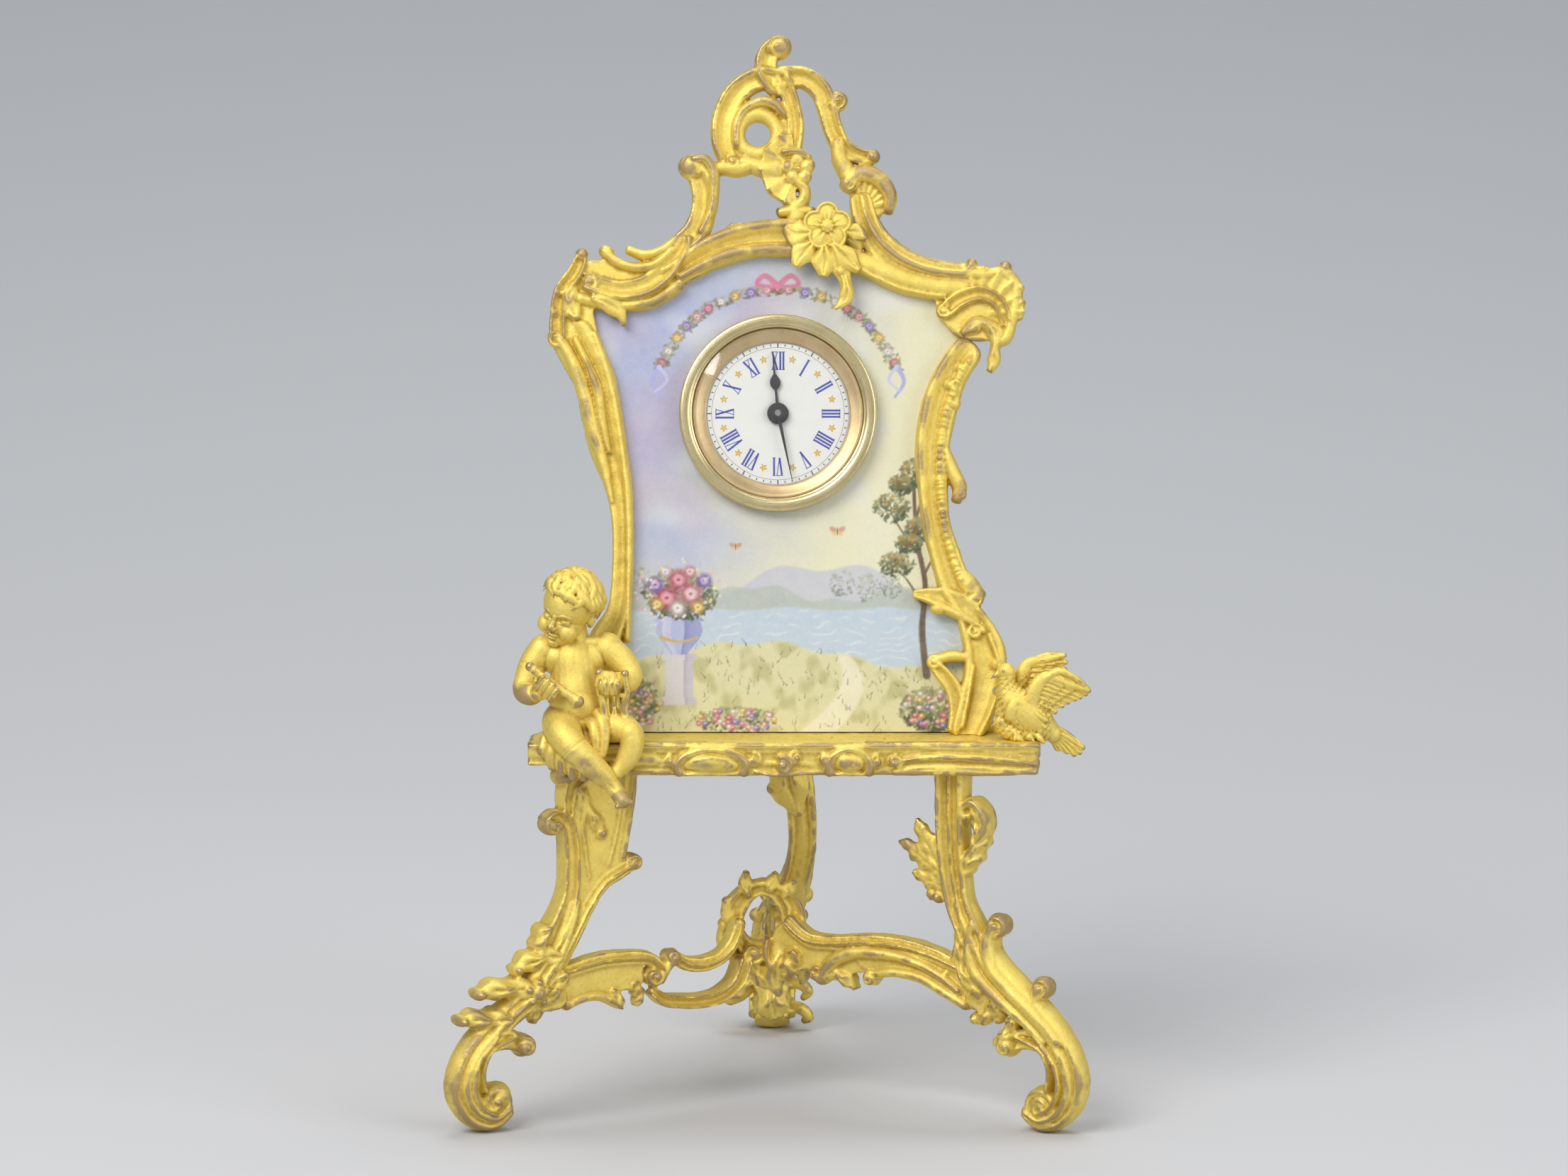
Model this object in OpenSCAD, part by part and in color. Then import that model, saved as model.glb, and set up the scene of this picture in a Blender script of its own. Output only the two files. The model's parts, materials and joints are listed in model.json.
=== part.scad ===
// Boudoir clock: a leaning enamel panel in a gilt rocaille surround, with a round
// spring-driven movement, on a shelf carried by three scroll legs and a stretcher.
// Millimetres. X runs to the viewer's right, Y to the rear and Z up.

/* [Stand] */
// Height of the shelf's upper face above the floor
shelf_top = 75.8; // [72:0.1:80]
// Thickness of the shelf's plate
shelf_thick = 2.2; // [1.8:0.1:3]
// Depth of the moulded apron along the shelf's front edge
apron_h = 6.6; // [5:0.1:8]
// Thickness of the lug on each leg
lug_thick = 2.6; // [2:0.1:3.4]

/* [Panel] */
// Backward lean of the panel from upright, in degrees
panel_lean = 12; // [8:0.5:15]
// Thickness of the enamelled plate
panel_thick = 1.4; // [1:0.1:2]
// Thickness of the plate behind the enamel
back_thick = 0.7; // [0.5:0.1:1]
// Clearance between the enamelled plate and the surround
panel_gap = 0.1; // [0.05:0.01:0.2]

/* [Dial] */
// Outer radius of the bezel
bezel_r = 19.4; // [18.6:0.1:19.8]
// Width of the bezel's polished rim
bezel_w = 2.2; // [1.8:0.1:2.6]
// How far the bezel stands in front of the panel
bezel_h = 3.4; // [3:0.1:4.2]
// Width of the sloping ring between the bezel and the dial
sight_w = 2.75; // [2.5:0.05:3]
// Thickness of the dial
dial_thick = 0.8; // [0.6:0.1:1]
// How far the bezel reaches past the drum behind it
bezel_lap = 2.4; // [2.2:0.1:2.6]

/* [Movement] */
// Wall of the drum
drum_wall = 0.7; // [0.5:0.1:0.9]
// Thickness of each movement plate
plate_thick = 1.2; // [1:0.1:1.3]
// Clear height between the movement's plates
train_h = 9; // [9:0.1:9.6]
// Clear height behind the plates for the balance
balance_h = 5.2; // [5:0.1:6]
// Radial running clearance of every pivot and arbor
run_gap = 0.04; // [0.02:0.01:0.08]
// Turns of the mainspring shown inside the barrel
spring_turns = 7; // [4:1:9]

/* [Hidden] */

gold = "goldenrod";
gold_pale = "khaki";
brass = "darkkhaki";
steel = "slategray";

// The tripod's axis stands at [0, 0]; the part's origin is under the middle of its bounding box
axis_shift = [0, -16.5, 0];

// Castings were drawn for a shelf whose plate has its underside at this height
drawn_under = 73.6;
shelf_under = shelf_top - shelf_thick;
stand_stretch = shelf_under / drawn_under;
seat_gap = 0.05;

// The panel's front face passes through this line inside the shelf
panel_y = -15;
panel_z = 74;
panel_foot = (shelf_top + seat_gap - panel_z + panel_thick * sin(panel_lean)) / cos(panel_lean);
dial_at = [2.3, 64.7];
frame_front = 3.4;
frame_back = -panel_thick - seat_gap;
back_front = frame_back - seat_gap;
back_rear = back_front - back_thick;

// Points along the outer edge of the enamelled plate, on the panel's own plane
panel_edge = [
    [-29.5, 0], [-27.9, 10], [-27.8, 26], [-27.6, 40], [-28.2, 52], [-30.2, 62], [-32.6, 71], [-35, 79],
    [-35.6, 85], [-31.5, 88.2], [-24, 87.6], [-18.5, 90], [-13, 94], [-6, 96.6], [2, 97.6], [10, 97],
    [16.5, 94], [22, 92.6], [28, 89.6], [35, 88.4], [40.5, 86.6], [40.5, 81.5], [36.5, 76.5], [33.6, 70],
    [32, 63], [31.2, 54], [31.6, 46], [33.6, 39], [36, 33], [39, 28], [39.6, 22], [41, 16], [39, 6], [38, 0]
];

// Movement levels along the dial's axis, with 0 at the panel's front face and the rear negative
dial_front = 0.2;
dial_rear = dial_front - dial_thick;
motion_h = 2.7;
plate_front = dial_rear - motion_h;
train_front = plate_front - plate_thick;
train_rear = train_front - train_h;
plate_rear = train_rear - plate_thick;
balance_rear = plate_rear - balance_h;
cover_thick = 0.8;
case_rear = balance_rear - 0.5;
drum_r = bezel_r - bezel_lap;
drum_in = drum_r - drum_wall;
plate_r = drum_in - 0.7;
hole_r = drum_r + 0.25;
sight_out = bezel_r - bezel_w - 0.35;
dial_r = sight_out - sight_w;
minute_len = dial_r - 0.7;
hour_len = dial_r - 1.9;
spigot_in = drum_in - 0.55;

// Wheels are drawn for a drum of 17 and sized to the drum
work = drum_r / 17;
tooth_m = 0.18 * work;

// Teeth of the going train and of the motion work
barrel_teeth = 72;
centre_pinion = 12;
centre_teeth = 64;
third_pinion = 8;
third_teeth = 60;
fourth_pinion = 8;
fourth_teeth = 60;
escape_pinion = 6;
escape_teeth = 15;
cannon_teeth = 12;
minute_teeth = 36;
minute_pinion = 10;
hour_teeth = 40;
fourth_m = tooth_m * 0.94;
escape_m = tooth_m * 0.88;
motion_m = 0.2 * work;
minute_m = motion_m * (cannon_teeth + minute_teeth) / (minute_pinion + hour_teeth);

// Places of the arbors on the plates, seen from the dial
function polar(r, a) = [r * cos(a), r * sin(a)];
barrel_dir = 200;
third_dir = 60;
fourth_dir = -30;
escape_dir = 265;
fork_dir = 235;
minute_dir = 135;
barrel_at = polar((barrel_teeth + centre_pinion) * tooth_m / 2, barrel_dir);
third_at = polar((centre_teeth + third_pinion) * tooth_m / 2, third_dir);
fourth_at = third_at + polar((third_teeth + fourth_pinion) * fourth_m / 2, fourth_dir);
escape_at = fourth_at + polar((fourth_teeth + escape_pinion) * escape_m / 2, escape_dir);
escape_r = 3 * work;
fork_at = escape_at + polar(escape_r / cos(30), fork_dir);
balance_at = fork_at + polar(3.9 * work, fork_dir);
minute_at = polar((cannon_teeth + minute_teeth) * motion_m / 2, minute_dir);
balance_r = 4.4 * work;
pillar_dirs = [95, 150, 248, 330];
pillar_at = plate_r - 1.8;
foot_dirs = [30, 195, 290];
foot_at = plate_r - 3.2;
foot_r = 0.55;
pivot_r = 0.35;
barrel_front = train_front - 0.5;
barrel_h = 3.6;
barrel_rear = barrel_front - barrel_h;
barrel_r = barrel_teeth * tooth_m / 2;
centre_level = train_rear + 2.2;
third_level = train_front - 1.4;
fourth_level = train_front - 4.4;
escape_level = train_rear + 1;
wheel_thick = 0.5;
arbor_r = 0.45;
set_r = 0.6;
pipe_r = 0.95;
square_r = 1.1;
ratchet_teeth = 24;
ratchet_r = 3;
knob_r = 3.2;

// Screw sizes: shank and head radii
small_shank = 0.6;
small_head = 1.15;
large_shank = 1;
tiny_shank = 0.4;
large_head = 1.8;
screw_gap = 0.12;

// Directions of the legs about the tripod's axis, and the radius of each leg's screw
left_dir = 210;
right_dir = 330;
rear_dir = 90;
left_lug = 25.4;
right_lug = 34.6;
rear_lug = 34.6;

// Where the stretcher's arms meet the legs, and the pins that join them
arm_end = 46;
pin_r = 0.8;
pin_long = 8;
pin_level = 27.2;
rear_shift = 2.6;

// Curves

function blend(a, b, c, d, t) =
    ((3 * b - a - 3 * c + d) * t * t * t + (2 * a - 5 * b + 4 * c - d) * t * t + (c - a) * t + 2 * b) / 2;

function smooth(p, n) = [
    for (i = [0 : len(p) - 2], k = [0 : n - 1])
        blend(p[max(i - 1, 0)], p[i], p[i + 1], p[min(i + 2, len(p) - 1)], k / n),
    p[len(p) - 1]
];

// Cross-sections of the cast bars, as shares of the half width and the half depth
bar_profile = [[0, 1], [-1, 0.5], [-1, -0.5], [0, -1], [1, -0.5], [1, 0.5]];
relief_profile = [[0, 1], [-0.8, 0.45], [-1, -1], [1, -1], [0.8, 0.45]];

// A moulded bar along a smooth curve; each point is [x, y, half width, half depth, height]
module scroll(points, n = 1, profile = bar_profile) {
    p = smooth(points, n);
    last = len(p) - 1;
    sides = len(profile);
    rings = [
        for (i = [0 : last])
            let (
                a = p[max(i - 1, 0)],
                b = p[min(i + 1, last)],
                d = [b[0] - a[0], b[1] - a[1]] / norm([b[0] - a[0], b[1] - a[1]])
            )
            for (k = [0 : sides - 1])
                let (w = p[i][2] * profile[k][0])
                [p[i][0] - d[1] * w, p[i][1] + d[0] * w, p[i][4] + p[i][3] * profile[k][1]]
    ];
    skin = [
        for (i = [0 : last - 1], k = [0 : sides - 1])
            let (a = i * sides + k, b = i * sides + (k + 1) % sides)
            for (f = [[a, a + sides, b + sides], [a, b + sides, b]]) f
    ];
    first_cap = [[for (k = [0 : sides - 1]) k]];
    last_cap = [[for (k = [sides - 1 : -1 : 0]) last * sides + k]];
    polyhedron(rings, concat(first_cap, skin, last_cap));
}

// A bar with a ridged front and a flat back
module relief(points, n = 1) {
    scroll(points, n, relief_profile);
}

// A round boss with a raised middle, standing depth either side of its height
module boss(x, y, r, height, depth) {
    translate([x, y, height - depth])
        hull() {
            cylinder(r = r, h = depth * 1.4, $fn = r > 2.2 ? 8 : 6);
            cylinder(r = r * 0.5, h = depth * 2, $fn = r > 2.2 ? 8 : 6);
        }
}

// A limb between two round ends; each end is [x, y, z, radius]
module limb(a, b) {
    hull() {
        translate([a[0], a[1], a[2]]) sphere(r = a[3], $fn = a[3] > 2.6 ? 8 : 6);
        translate([b[0], b[1], b[2]]) sphere(r = b[3], $fn = b[3] > 2.6 ? 8 : 6);
    }
}

// Frames of reference

// Draws on the panel's plane: x to the right, y up the lean, z towards the viewer
module on_panel() {
    translate([0, panel_y, panel_z]) rotate([90 - panel_lean, 0, 0]) children();
}

// Draws on the dial's axis, seen from the front
module on_dial() {
    on_panel() translate([dial_at[0], dial_at[1], 0]) children();
}

// Draws in a leg's upright plane: x outwards, y up
module on_leg(dir) {
    rotate([90, 0, dir]) children();
}

// Draws on an upright plane facing the viewer: x to the right, y up, z forwards
module on_front(y) {
    translate([0, y, 0]) rotate([90, 0, 0]) children();
}

module placed() {
    translate(axis_shift) children();
}

module gilt() {
    color(gold) placed() children();
}

module turned(tint) {
    color(tint) placed() on_dial() children();
}

// Keeps what stands above the floor
module above_floor() {
    intersection() {
        children();
        translate([-150, -150, 0]) cube([300, 300, 300]);
    }
}

// Legs

// The lower run of every leg, from the waist to the scroll of the foot
foot_run = [
    [44.2, 43, 2.7, 3.6, 0], [47.4, 37, 3.2, 4.4, 0], [51.6, 31, 3.7, 5, 0], [57.6, 25.6, 3.8, 5.2, 0],
    [63.6, 20.6, 3.5, 5.2, 0], [68, 14.5, 3.2, 5.2, 0], [69, 8.8, 3, 5.2, 0], [66.8, 4.4, 2.8, 5.2, 0],
    [63, 2.5, 2.6, 5.2, 0], [59.6, 4, 2.2, 5.2, 0], [59.7, 7, 1.7, 5, 0], [61.6, 8.6, 1, 4.6, 0]
];
inner_leaf = [[66, 15.2, 1.2, 3, 0], [62, 16.9, 1.9, 3.6, 0], [57.4, 17, 1.7, 3.6, 0], [54, 15.6, 1.5, 3, 0],
    [52.8, 14, 0.6, 2, 0]];

module foot() {
    scroll(foot_run, 2);
    boss(63.3, 5.2, 2.3, 0, 5.6);
    boss(60.6, 7.4, 1.3, 0, 5.6);
    scroll(inner_leaf);
}

module lug(r, reach, width) {
    translate([r, drawn_under - lug_thick / 2, 0]) cube([reach, lug_thick, width], center = true);
}

module lug_hole(r) {
    translate([r, drawn_under - lug_thick - 1, 0])
        rotate([-90, 0, 0]) cylinder(r = large_shank + screw_gap, h = lug_thick + 2, $fn = 16);
}

// A block under the knee whose flat inner face meets an arm of the stretcher
pad_edge = [[arm_end, 31.6], [arm_end, 22.8], [50, 21.6], [56, 22.4], [54, 27], [50, 31.6]];

module arm_pad(shift) {
    translate([0, 0, shift - 2.6]) linear_extrude(5.2) polygon(pad_edge);
}

// Room for the pin that joins a leg to its arm
module pin_hole(shift) {
    translate([arm_end - pin_long / 2 - 0.3, pin_level, shift])
        rotate([0, 90, 0]) cylinder(r = pin_r + screw_gap, h = pin_long + 0.6, $fn = 12);
}

module leg(dir, lug_at, shift) {
    above_floor() difference() {
        on_leg(dir) scale([1, stand_stretch, 1])
            difference() {
                union() {
                    lug(lug_at + 2, 9, 7);
                    arm_pad(shift);
                    children();
                }
                translate([0, drawn_under - seat_gap, -20]) cube([80, 20, 40]);
                lug_hole(lug_at);
                pin_hole(shift);
            }
        translate([-80, shelf_front - 20, shelf_top - apron_h - seat_gap]) cube([160, 21.2 + seat_gap, 20]);
    }
}

// The left leg broadens upwards into a web between two scrolled ribs
module left_leg() {
    gilt() leg(left_dir, left_lug, 0) {
        foot();
        linear_extrude(4.4, center = true)
            polygon([[30, drawn_under], [30.4, 66], [31.6, 58], [33.4, 50], [38, 46.4], [42, 41.6], [46.5, 40],
                [46.4, 46], [45.4, 54], [45.6, 62], [45.4, 68], [43, drawn_under]]);
        scroll([[50.1, 57.8, 0.9, 3, 0], [49.6, 60, 1.3, 3.4, 0], [47.4, 61, 1.5, 3.6, 0],
            [45.2, 58.4, 1.5, 3.6, 0], [44.6, 52.6, 1.6, 3.6, 0], [44.8, 46.6, 1.7, 3.6, 0],
            [46.4, 41.6, 2, 3.8, 0], [49.6, 36.6, 2.2, 4.6, 0]]);
        scroll([[30.8, 50.4, 1.6, 3, 0], [34, 48.7, 1.6, 3.4, 0], [37.6, 46.7, 1.5, 3.6, 0],
            [40.8, 42.8, 1.6, 3.8, 0], [44.2, 37.6, 1.9, 4.2, 0], [48.2, 31.4, 2.2, 4.6, 0]]);
        scroll([[30.4, drawn_under - 0.2, 1.2, 3.2, 0], [30.9, 65, 1.1, 3, 0], [32.2, 57, 1.1, 3, 0], [33.4, 51, 0.8, 2.6, 0]]);
        scroll([[45.4, 62, 1.2, 3.2, 0], [44.8, 66.6, 1.5, 3.6, 0], [41.4, 70, 2.2, 4, 0],
            [38, drawn_under - 0.2, 2.6, 4, 0]]);
        boss(30.6, 50.3, 2.1, 0, 3.6);
        boss(45.6, 68.8, 2.1, 0, 4);
        boss(49.3, 58.5, 1.3, 0, 3.6);
        scroll([[50, 31, 1.6, 4.4, 0], [53.6, 33.4, 1.7, 4.4, 0], [56.4, 33.2, 1, 3.6, 0]]);
        scroll([[56, 25, 1.6, 4.4, 0], [60.6, 27.6, 1.7, 4.4, 0], [64.2, 28, 1, 3.6, 0]]);
        scroll([[61.6, 21, 1.6, 4.2, 0], [65.4, 23.4, 1.7, 4, 0], [68.2, 23.6, 1, 3.4, 0]]);
        boss(56.2, 32.6, 1.2, 0, 4);
        boss(63.8, 27.6, 1.4, 0, 4);
        boss(67.9, 23.3, 1.4, 0, 3.8);
        boss(60.4, 17.2, 1.5, 0, 4.4);
        boss(52.2, 28.2, 2, 0, 5.6);
    }
}

// The right leg stays a slim bar with a curled leaf outside and a lobed leaf inside
module right_leg() {
    gilt() leg(right_dir, right_lug, 0) {
        foot();
        scroll([[42.2, drawn_under, 3.3, 4.2, 0], [42.2, 66, 3.3, 4, 0], [42.3, 57, 3.2, 3.8, 0], [43, 49, 2.9, 3.6, 0],
            [44.2, 43, 2.7, 3.6, 0]]);
        curled_leaf();
        lobed_leaf();
        scroll([[49.4, 32.4, 1.4, 3.4, 0], [50.8, 36.4, 1.9, 3.2, 0], [52.4, 40, 2.2, 3, 0]]);
        boss(51, 40.4, 2, 0, 3.2);
        boss(53.4, 39.8, 2.3, 0, 3.6);
        scroll([[60.6, 22.4, 1.5, 3.4, 0], [61.6, 25.6, 1.8, 3.2, 0], [62.2, 28.4, 2, 3, 0]]);
        boss(61.2, 28.8, 1.8, 0, 3.2);
        boss(63.2, 28.4, 1.9, 0, 3.6);
        boss(58.2, 26.2, 1.3, 0, 5.6);
    }
}

module curled_leaf() {
    scroll([[44.6, 50, 1, 3, 0], [47, 53.4, 1.8, 3.6, 0], [48.6, 57.6, 2.2, 3.8, 0], [48.6, 61.4, 1.9, 3.8, 0],
        [46.6, 63.8, 1.5, 3.6, 0], [44.6, 65, 1, 3, 0]]);
    boss(46.6, 60.4, 1.4, 0, 3.4);
}

module lobed_leaf() {
    scroll([[41, 47.4, 1.6, 2, 0], [38.4, 52.4, 2.8, 1.6, 0], [35.4, 56.6, 1.8, 1.4, 0], [34.4, 59.2, 0.4, 1, 0]]);
    scroll([[40, 49, 1.6, 1.8, 0], [36, 51.6, 2.6, 1.5, 0], [32.4, 53.6, 1.4, 1.3, 0], [30.4, 54.2, 0.4, 1, 0]]);
    scroll([[41, 46, 1.4, 2, 0], [38.6, 45.4, 2, 1.8, 0], [36.6, 45.2, 1.5, 1.4, 0]]);
    boss(39.2, 44.6, 1.4, 0, 2.4);
    boss(37.4, 45.4, 1.2, 0, 2);
}

// The rear leg sways sideways and carries its leaf towards the viewer
rear_run = [
    [42.2, drawn_under, 3.2, 5.6, 3], [42, 66, 3.2, 5.4, 3.4], [42.2, 58, 3.1, 4.2, 5.6], [43.2, 50, 2.9, 3.4, 7.2],
    [44.6, 43, 2.8, 3.3, 7.3], [47.6, 37, 3.2, 3.6, 6.4], [51.6, 31, 3.6, 4.6, 4.4], [57.6, 25.6, 3.7, 5.2, 2.6],
    [63.6, 20.6, 3.5, 5.2, 1.6], [68, 14.5, 3.2, 5.2, 1], [69, 8.8, 3, 5.2, 1], [66.8, 4.4, 2.8, 5.2, 1],
    [63, 2.5, 2.6, 5.2, 1], [59.6, 4, 2.2, 5.2, 1], [59.7, 7, 1.7, 5, 1], [61.6, 8.6, 1, 4.6, 1]
];

module rear_leg() {
    gilt() leg(rear_dir, rear_lug, rear_shift) rear_forms();
}

module rear_forms() {
    scroll(rear_run);
    boss(63.3, 5.2, 2.3, 1, 5.6);
    boss(60.6, 7.4, 1.3, 1, 5.6);
    scroll([[66, 15.2, 1.2, 3, 1], [62, 16.9, 1.9, 4.6, 1], [58, 16.2, 1.7, 5.6, 1], [55.8, 13.4, 0.9, 5, 1]]);
    scroll([[44, 71, 1.8, 6, 3], [40.4, 66, 2.2, 6, 3], [38, 59.6, 1.9, 5.2, 3.2], [38.6, 54.8, 1, 3.6, 3.8]]);
    for (side = [-1, 1]) {
        boss(60, 7.4, 1.5, 1 + side * 6.4, 2.2);
        boss(62.6, 3, 1.6, 1 + side * 6.8, 2.2);
        boss(52.6, 30.6, 1.9, 4 + side * 3.6, 2);
        boss(58.6, 25, 1.7, 2.4 + side * 4.2, 2);
    }
}

// Stretcher

module arm_web(points, thick) {
    linear_extrude(thick, center = true) polygon(points);
}

module left_arm() {
    scroll([[47, 29.9, 1.2, 2.8, 0], [39, 31.4, 1.4, 2.8, 0], [33, 31.5, 1.4, 2.8, 0], [27.4, 30.8, 1.4, 2.8, 0],
        [24.4, 28.4, 1.3, 2.8, 0], [24.8, 25.8, 1.1, 2.8, 0], [27, 25.4, 0.9, 2.6, 0]]);
    boss(26.6, 27.6, 1.9, 0, 3.2);
    scroll([[47, 23.2, 1.2, 2.6, 0], [42, 24.6, 1.2, 2.6, 0], [38, 24.4, 1.2, 2.6, 0], [34.4, 22.2, 0.9, 2.4, 0]]);
    arm_web([[48, 24], [48, 30.4], [38, 31.6], [30, 31], [28.6, 26.6], [31, 25], [36, 25.2], [40, 25]], 3);
    scroll([[30.6, 26.4, 1.4, 2.4, 0], [29.6, 23.6, 1.3, 2.2, 0], [30.2, 21.8, 0.6, 1.8, 0]]);
    scroll([[22, 30.6, 1.4, 2.4, 0], [18.4, 28.8, 1.5, 2.6, 0], [14.6, 28.4, 1.6, 2.6, 0], [11, 29.4, 1.5, 2.6, 0],
        [8.2, 32, 1.4, 2.6, 0], [6.6, 36, 1.3, 2.6, 0]]);
    boss(21.8, 30.8, 1.5, 0, 2.8);
    scroll([[25.6, 23.6, 1.2, 2.6, 0], [21, 21.6, 1.3, 2.6, 0], [15.6, 21, 1.3, 2.6, 0], [11, 21.6, 1.4, 2.6, 0],
        [7.4, 24, 1.5, 2.6, 0], [5.6, 28, 1.6, 2.6, 0]]);
    scroll([[24.8, 26.4, 1.1, 2.2, 0], [23.4, 28.6, 1.2, 2.2, 0], [21.6, 30, 1.2, 2.2, 0]]);
}

module plain_arm() {
    scroll([[47, 29.9, 1.2, 2.8, 0], [39, 32.6, 1.4, 2.8, 0], [32, 33.8, 1.5, 2.8, 0], [24, 33.8, 1.5, 2.8, 0],
        [16, 32.8, 1.5, 2.8, 0], [10, 33, 1.6, 2.8, 0], [5.6, 36, 1.6, 2.8, 0]]);
    scroll([[47, 23.2, 1.2, 2.6, 0], [41.6, 25.4, 1.2, 2.6, 0], [36, 27.8, 1.2, 2.6, 0], [30, 28.4, 1.2, 2.6, 0],
        [25.6, 27.4, 1.1, 2.4, 0], [23.8, 25.8, 0.9, 2.2, 0]]);
    arm_web([[48, 24], [48, 30.6], [38, 33], [30, 34], [22, 34], [22, 29], [28, 28], [36, 27.6], [41, 26]], 3);
    boss(24.2, 26.2, 1.5, 0, 2.8);
    scroll([[22.8, 32.6, 1.5, 2.6, 0], [19.4, 29.8, 1.8, 2.6, 0], [15.6, 27.4, 1.6, 2.6, 0], [12, 25.6, 1.5, 2.6, 0],
        [7, 26, 2.2, 2.6, 0], [2, 27, 2.6, 2.6, 0]]);
    boss(12.4, 24.9, 1.6, 0, 2.8);
}

// The pierced oval ring in the middle, with its spiked crown and hanging shell
module centre_cartouche() {
    scroll([for (a = [0 : 24 : 360]) [-0.8 + 5.5 * cos(a), 35.8 + 6.3 * sin(a), 1.25, 2.4, 0]]);
    scroll([[-5, 39, 1.2, 2, 0], [-4.6, 42.4, 1.3, 1.8, 0], [-4.5, 45.6, 0.3, 1, 0]]);
    scroll([[-2, 41, 1.3, 2, 0], [-1.6, 43, 1.2, 1.8, 0], [-1.4, 44.6, 0.5, 1, 0]]);
    scroll([[1.4, 41, 1.4, 2, 0], [1.9, 43.4, 1.3, 1.8, 0], [2, 45.4, 0.3, 1, 0]]);
    scroll([[3.4, 40, 1.3, 2, 0], [4.4, 41.8, 1.2, 1.8, 0], [5.2, 43, 0.5, 1, 0]]);
    scroll([[-6.2, 33, 1.2, 2, 0], [-7.4, 36.4, 1.2, 2, 0], [-7, 40.6, 0.9, 1.6, 0]]);
    scroll([[-5, 27.6, 1.3, 2, 0], [-8, 29.4, 1.2, 2, 0], [-8.9, 32, 1.2, 2, 0], [-8.8, 35, 0.8, 1.6, 0]]);
    boss(-2.6, 27.6, 2.2, 0.6, 2.8);
    boss(2.2, 27.2, 3, 0.4, 2.8);
    boss(1.4, 23, 2, 0, 2.4);
    scroll([[1.8, 27, 3.2, 2.2, 0], [1.6, 22.6, 2.2, 2, 0], [1.4, 19.6, 0.6, 1.4, 0]]);
}

module stretcher_arm(dir, shift) {
    on_leg(dir) translate([0, 0, shift])
        difference() {
            children();
            translate([arm_end - seat_gap, 0, -20]) cube([30, 60, 40]);
            pin_hole(0);
        }
}

module stretcher() {
    gilt() scale([1, 1, stand_stretch]) {
        stretcher_arm(left_dir, 0) left_arm();
        stretcher_arm(right_dir, 0) plain_arm();
        stretcher_arm(rear_dir, rear_shift) plain_arm();
        on_front(0) centre_cartouche();
    }
}

module stretcher_pins() {
    color(steel) placed()
        for (p = [[left_dir, 0], [right_dir, 0], [rear_dir, rear_shift]])
            on_leg(p[0]) translate([arm_end - pin_long / 2, pin_level * stand_stretch, p[1]])
                rotate([0, 90, 0]) cylinder(r = pin_r, h = pin_long, $fn = 32);
}

// Shelf

shelf_front = -24.2;
shelf_left = -46;
shelf_right = 53;

module shelf_plan() {
    polygon(concat(
        [[shelf_left, shelf_front], [shelf_right, shelf_front], [shelf_right, shelf_front + 8]],
        smooth([[50.6, -12], [38, -4], [25, 8], [15, 24], [11, 38], [6, 46], [0, 48.4], [-6, 46], [-11, 38],
            [-15, 24], [-23, 9], [-34, -3], [-43.8, -11]], 3),
        [[shelf_left, shelf_front + 8]]
    ));
}

module shelf() {
    gilt()
        difference() {
            union() {
                translate([0, 0, shelf_under]) linear_extrude(shelf_thick) shelf_plan();
                translate([shelf_left, shelf_front - 0.8, shelf_top - apron_h])
                    cube([shelf_right - shelf_left, 2, apron_h]);
                on_front(shelf_front - 0.8) translate([0, shelf_top, 0]) apron();
            }
            lug_socket(left_dir, left_lug);
            lug_socket(right_dir, right_lug);
            lug_socket(rear_dir, rear_lug);
            for (at = foot_tabs)
                translate([at[0], at[1], shelf_under - 1]) cylinder(r = small_shank + screw_gap, h = 5, $fn = 16);
        }
}

module lug_socket(dir, r) {
    rotate(dir) translate([r, 0, shelf_under - 1]) cylinder(r = large_shank + screw_gap, h = 2.4, $fn = 16);
}

// Scrolled cartouches along the apron; heights count down from the shelf's upper face
module apron() {
    relief([[shelf_left, -0.6, 0.6, 1.3, 0], [3, -0.6, 0.6, 1.3, 0], [shelf_right, -0.6, 0.6, 1.3, 0]]);
    relief([[shelf_left, -3, 1.4, 1.2, 0], [-36, -3, 1.4, 1.2, 0], [-26, -4, 1.2, 1.2, 0]]);
    cartouche(-10.6, 6.4);
    cartouche(16.2, 3.6);
    relief([[26, -5, 1.3, 1.3, 0], [31, -4.4, 1.9, 1.8, 0], [39, -4.4, 2.2, 2, 0], [47, -4.9, 1.9, 1.8, 0],
        [52.6, -5.1, 1.4, 1.2, 0]]);
    relief([[24.6, -4.6, 0.8, 1.4, 0], [28, -2.6, 0.8, 1.5, 0], [38, -1.6, 0.7, 1.5, 0], [48, -2.6, 0.7, 1.4, 0],
        [52.6, -3.4, 0.6, 1.2, 0]]);
    for (x = [-18.6, -2.8, 2, 6.4, 11.4, 20.8, 25.2]) boss(x, -3.6, 1.7, 0, 1.9);
    relief([[-26, -4.4, 1.2, 1.2, 0], [-22.6, -3, 1.4, 1.6, 0], [-19, -3.6, 1.2, 1.4, 0]]);
}

module cartouche(x, half) {
    relief([for (a = [0 : 45 : 180]) [x + half * cos(a), -5.4 + 4.2 * sin(a), 0.75, 1.9, 0]]);
    relief([[x - half + 1, -4.9, 1.4, 1.4, 0], [x, -4.4, 2, 1.8, 0], [x + half - 1, -4.9, 1.4, 1.4, 0]]);
}

// Panel surround

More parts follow.
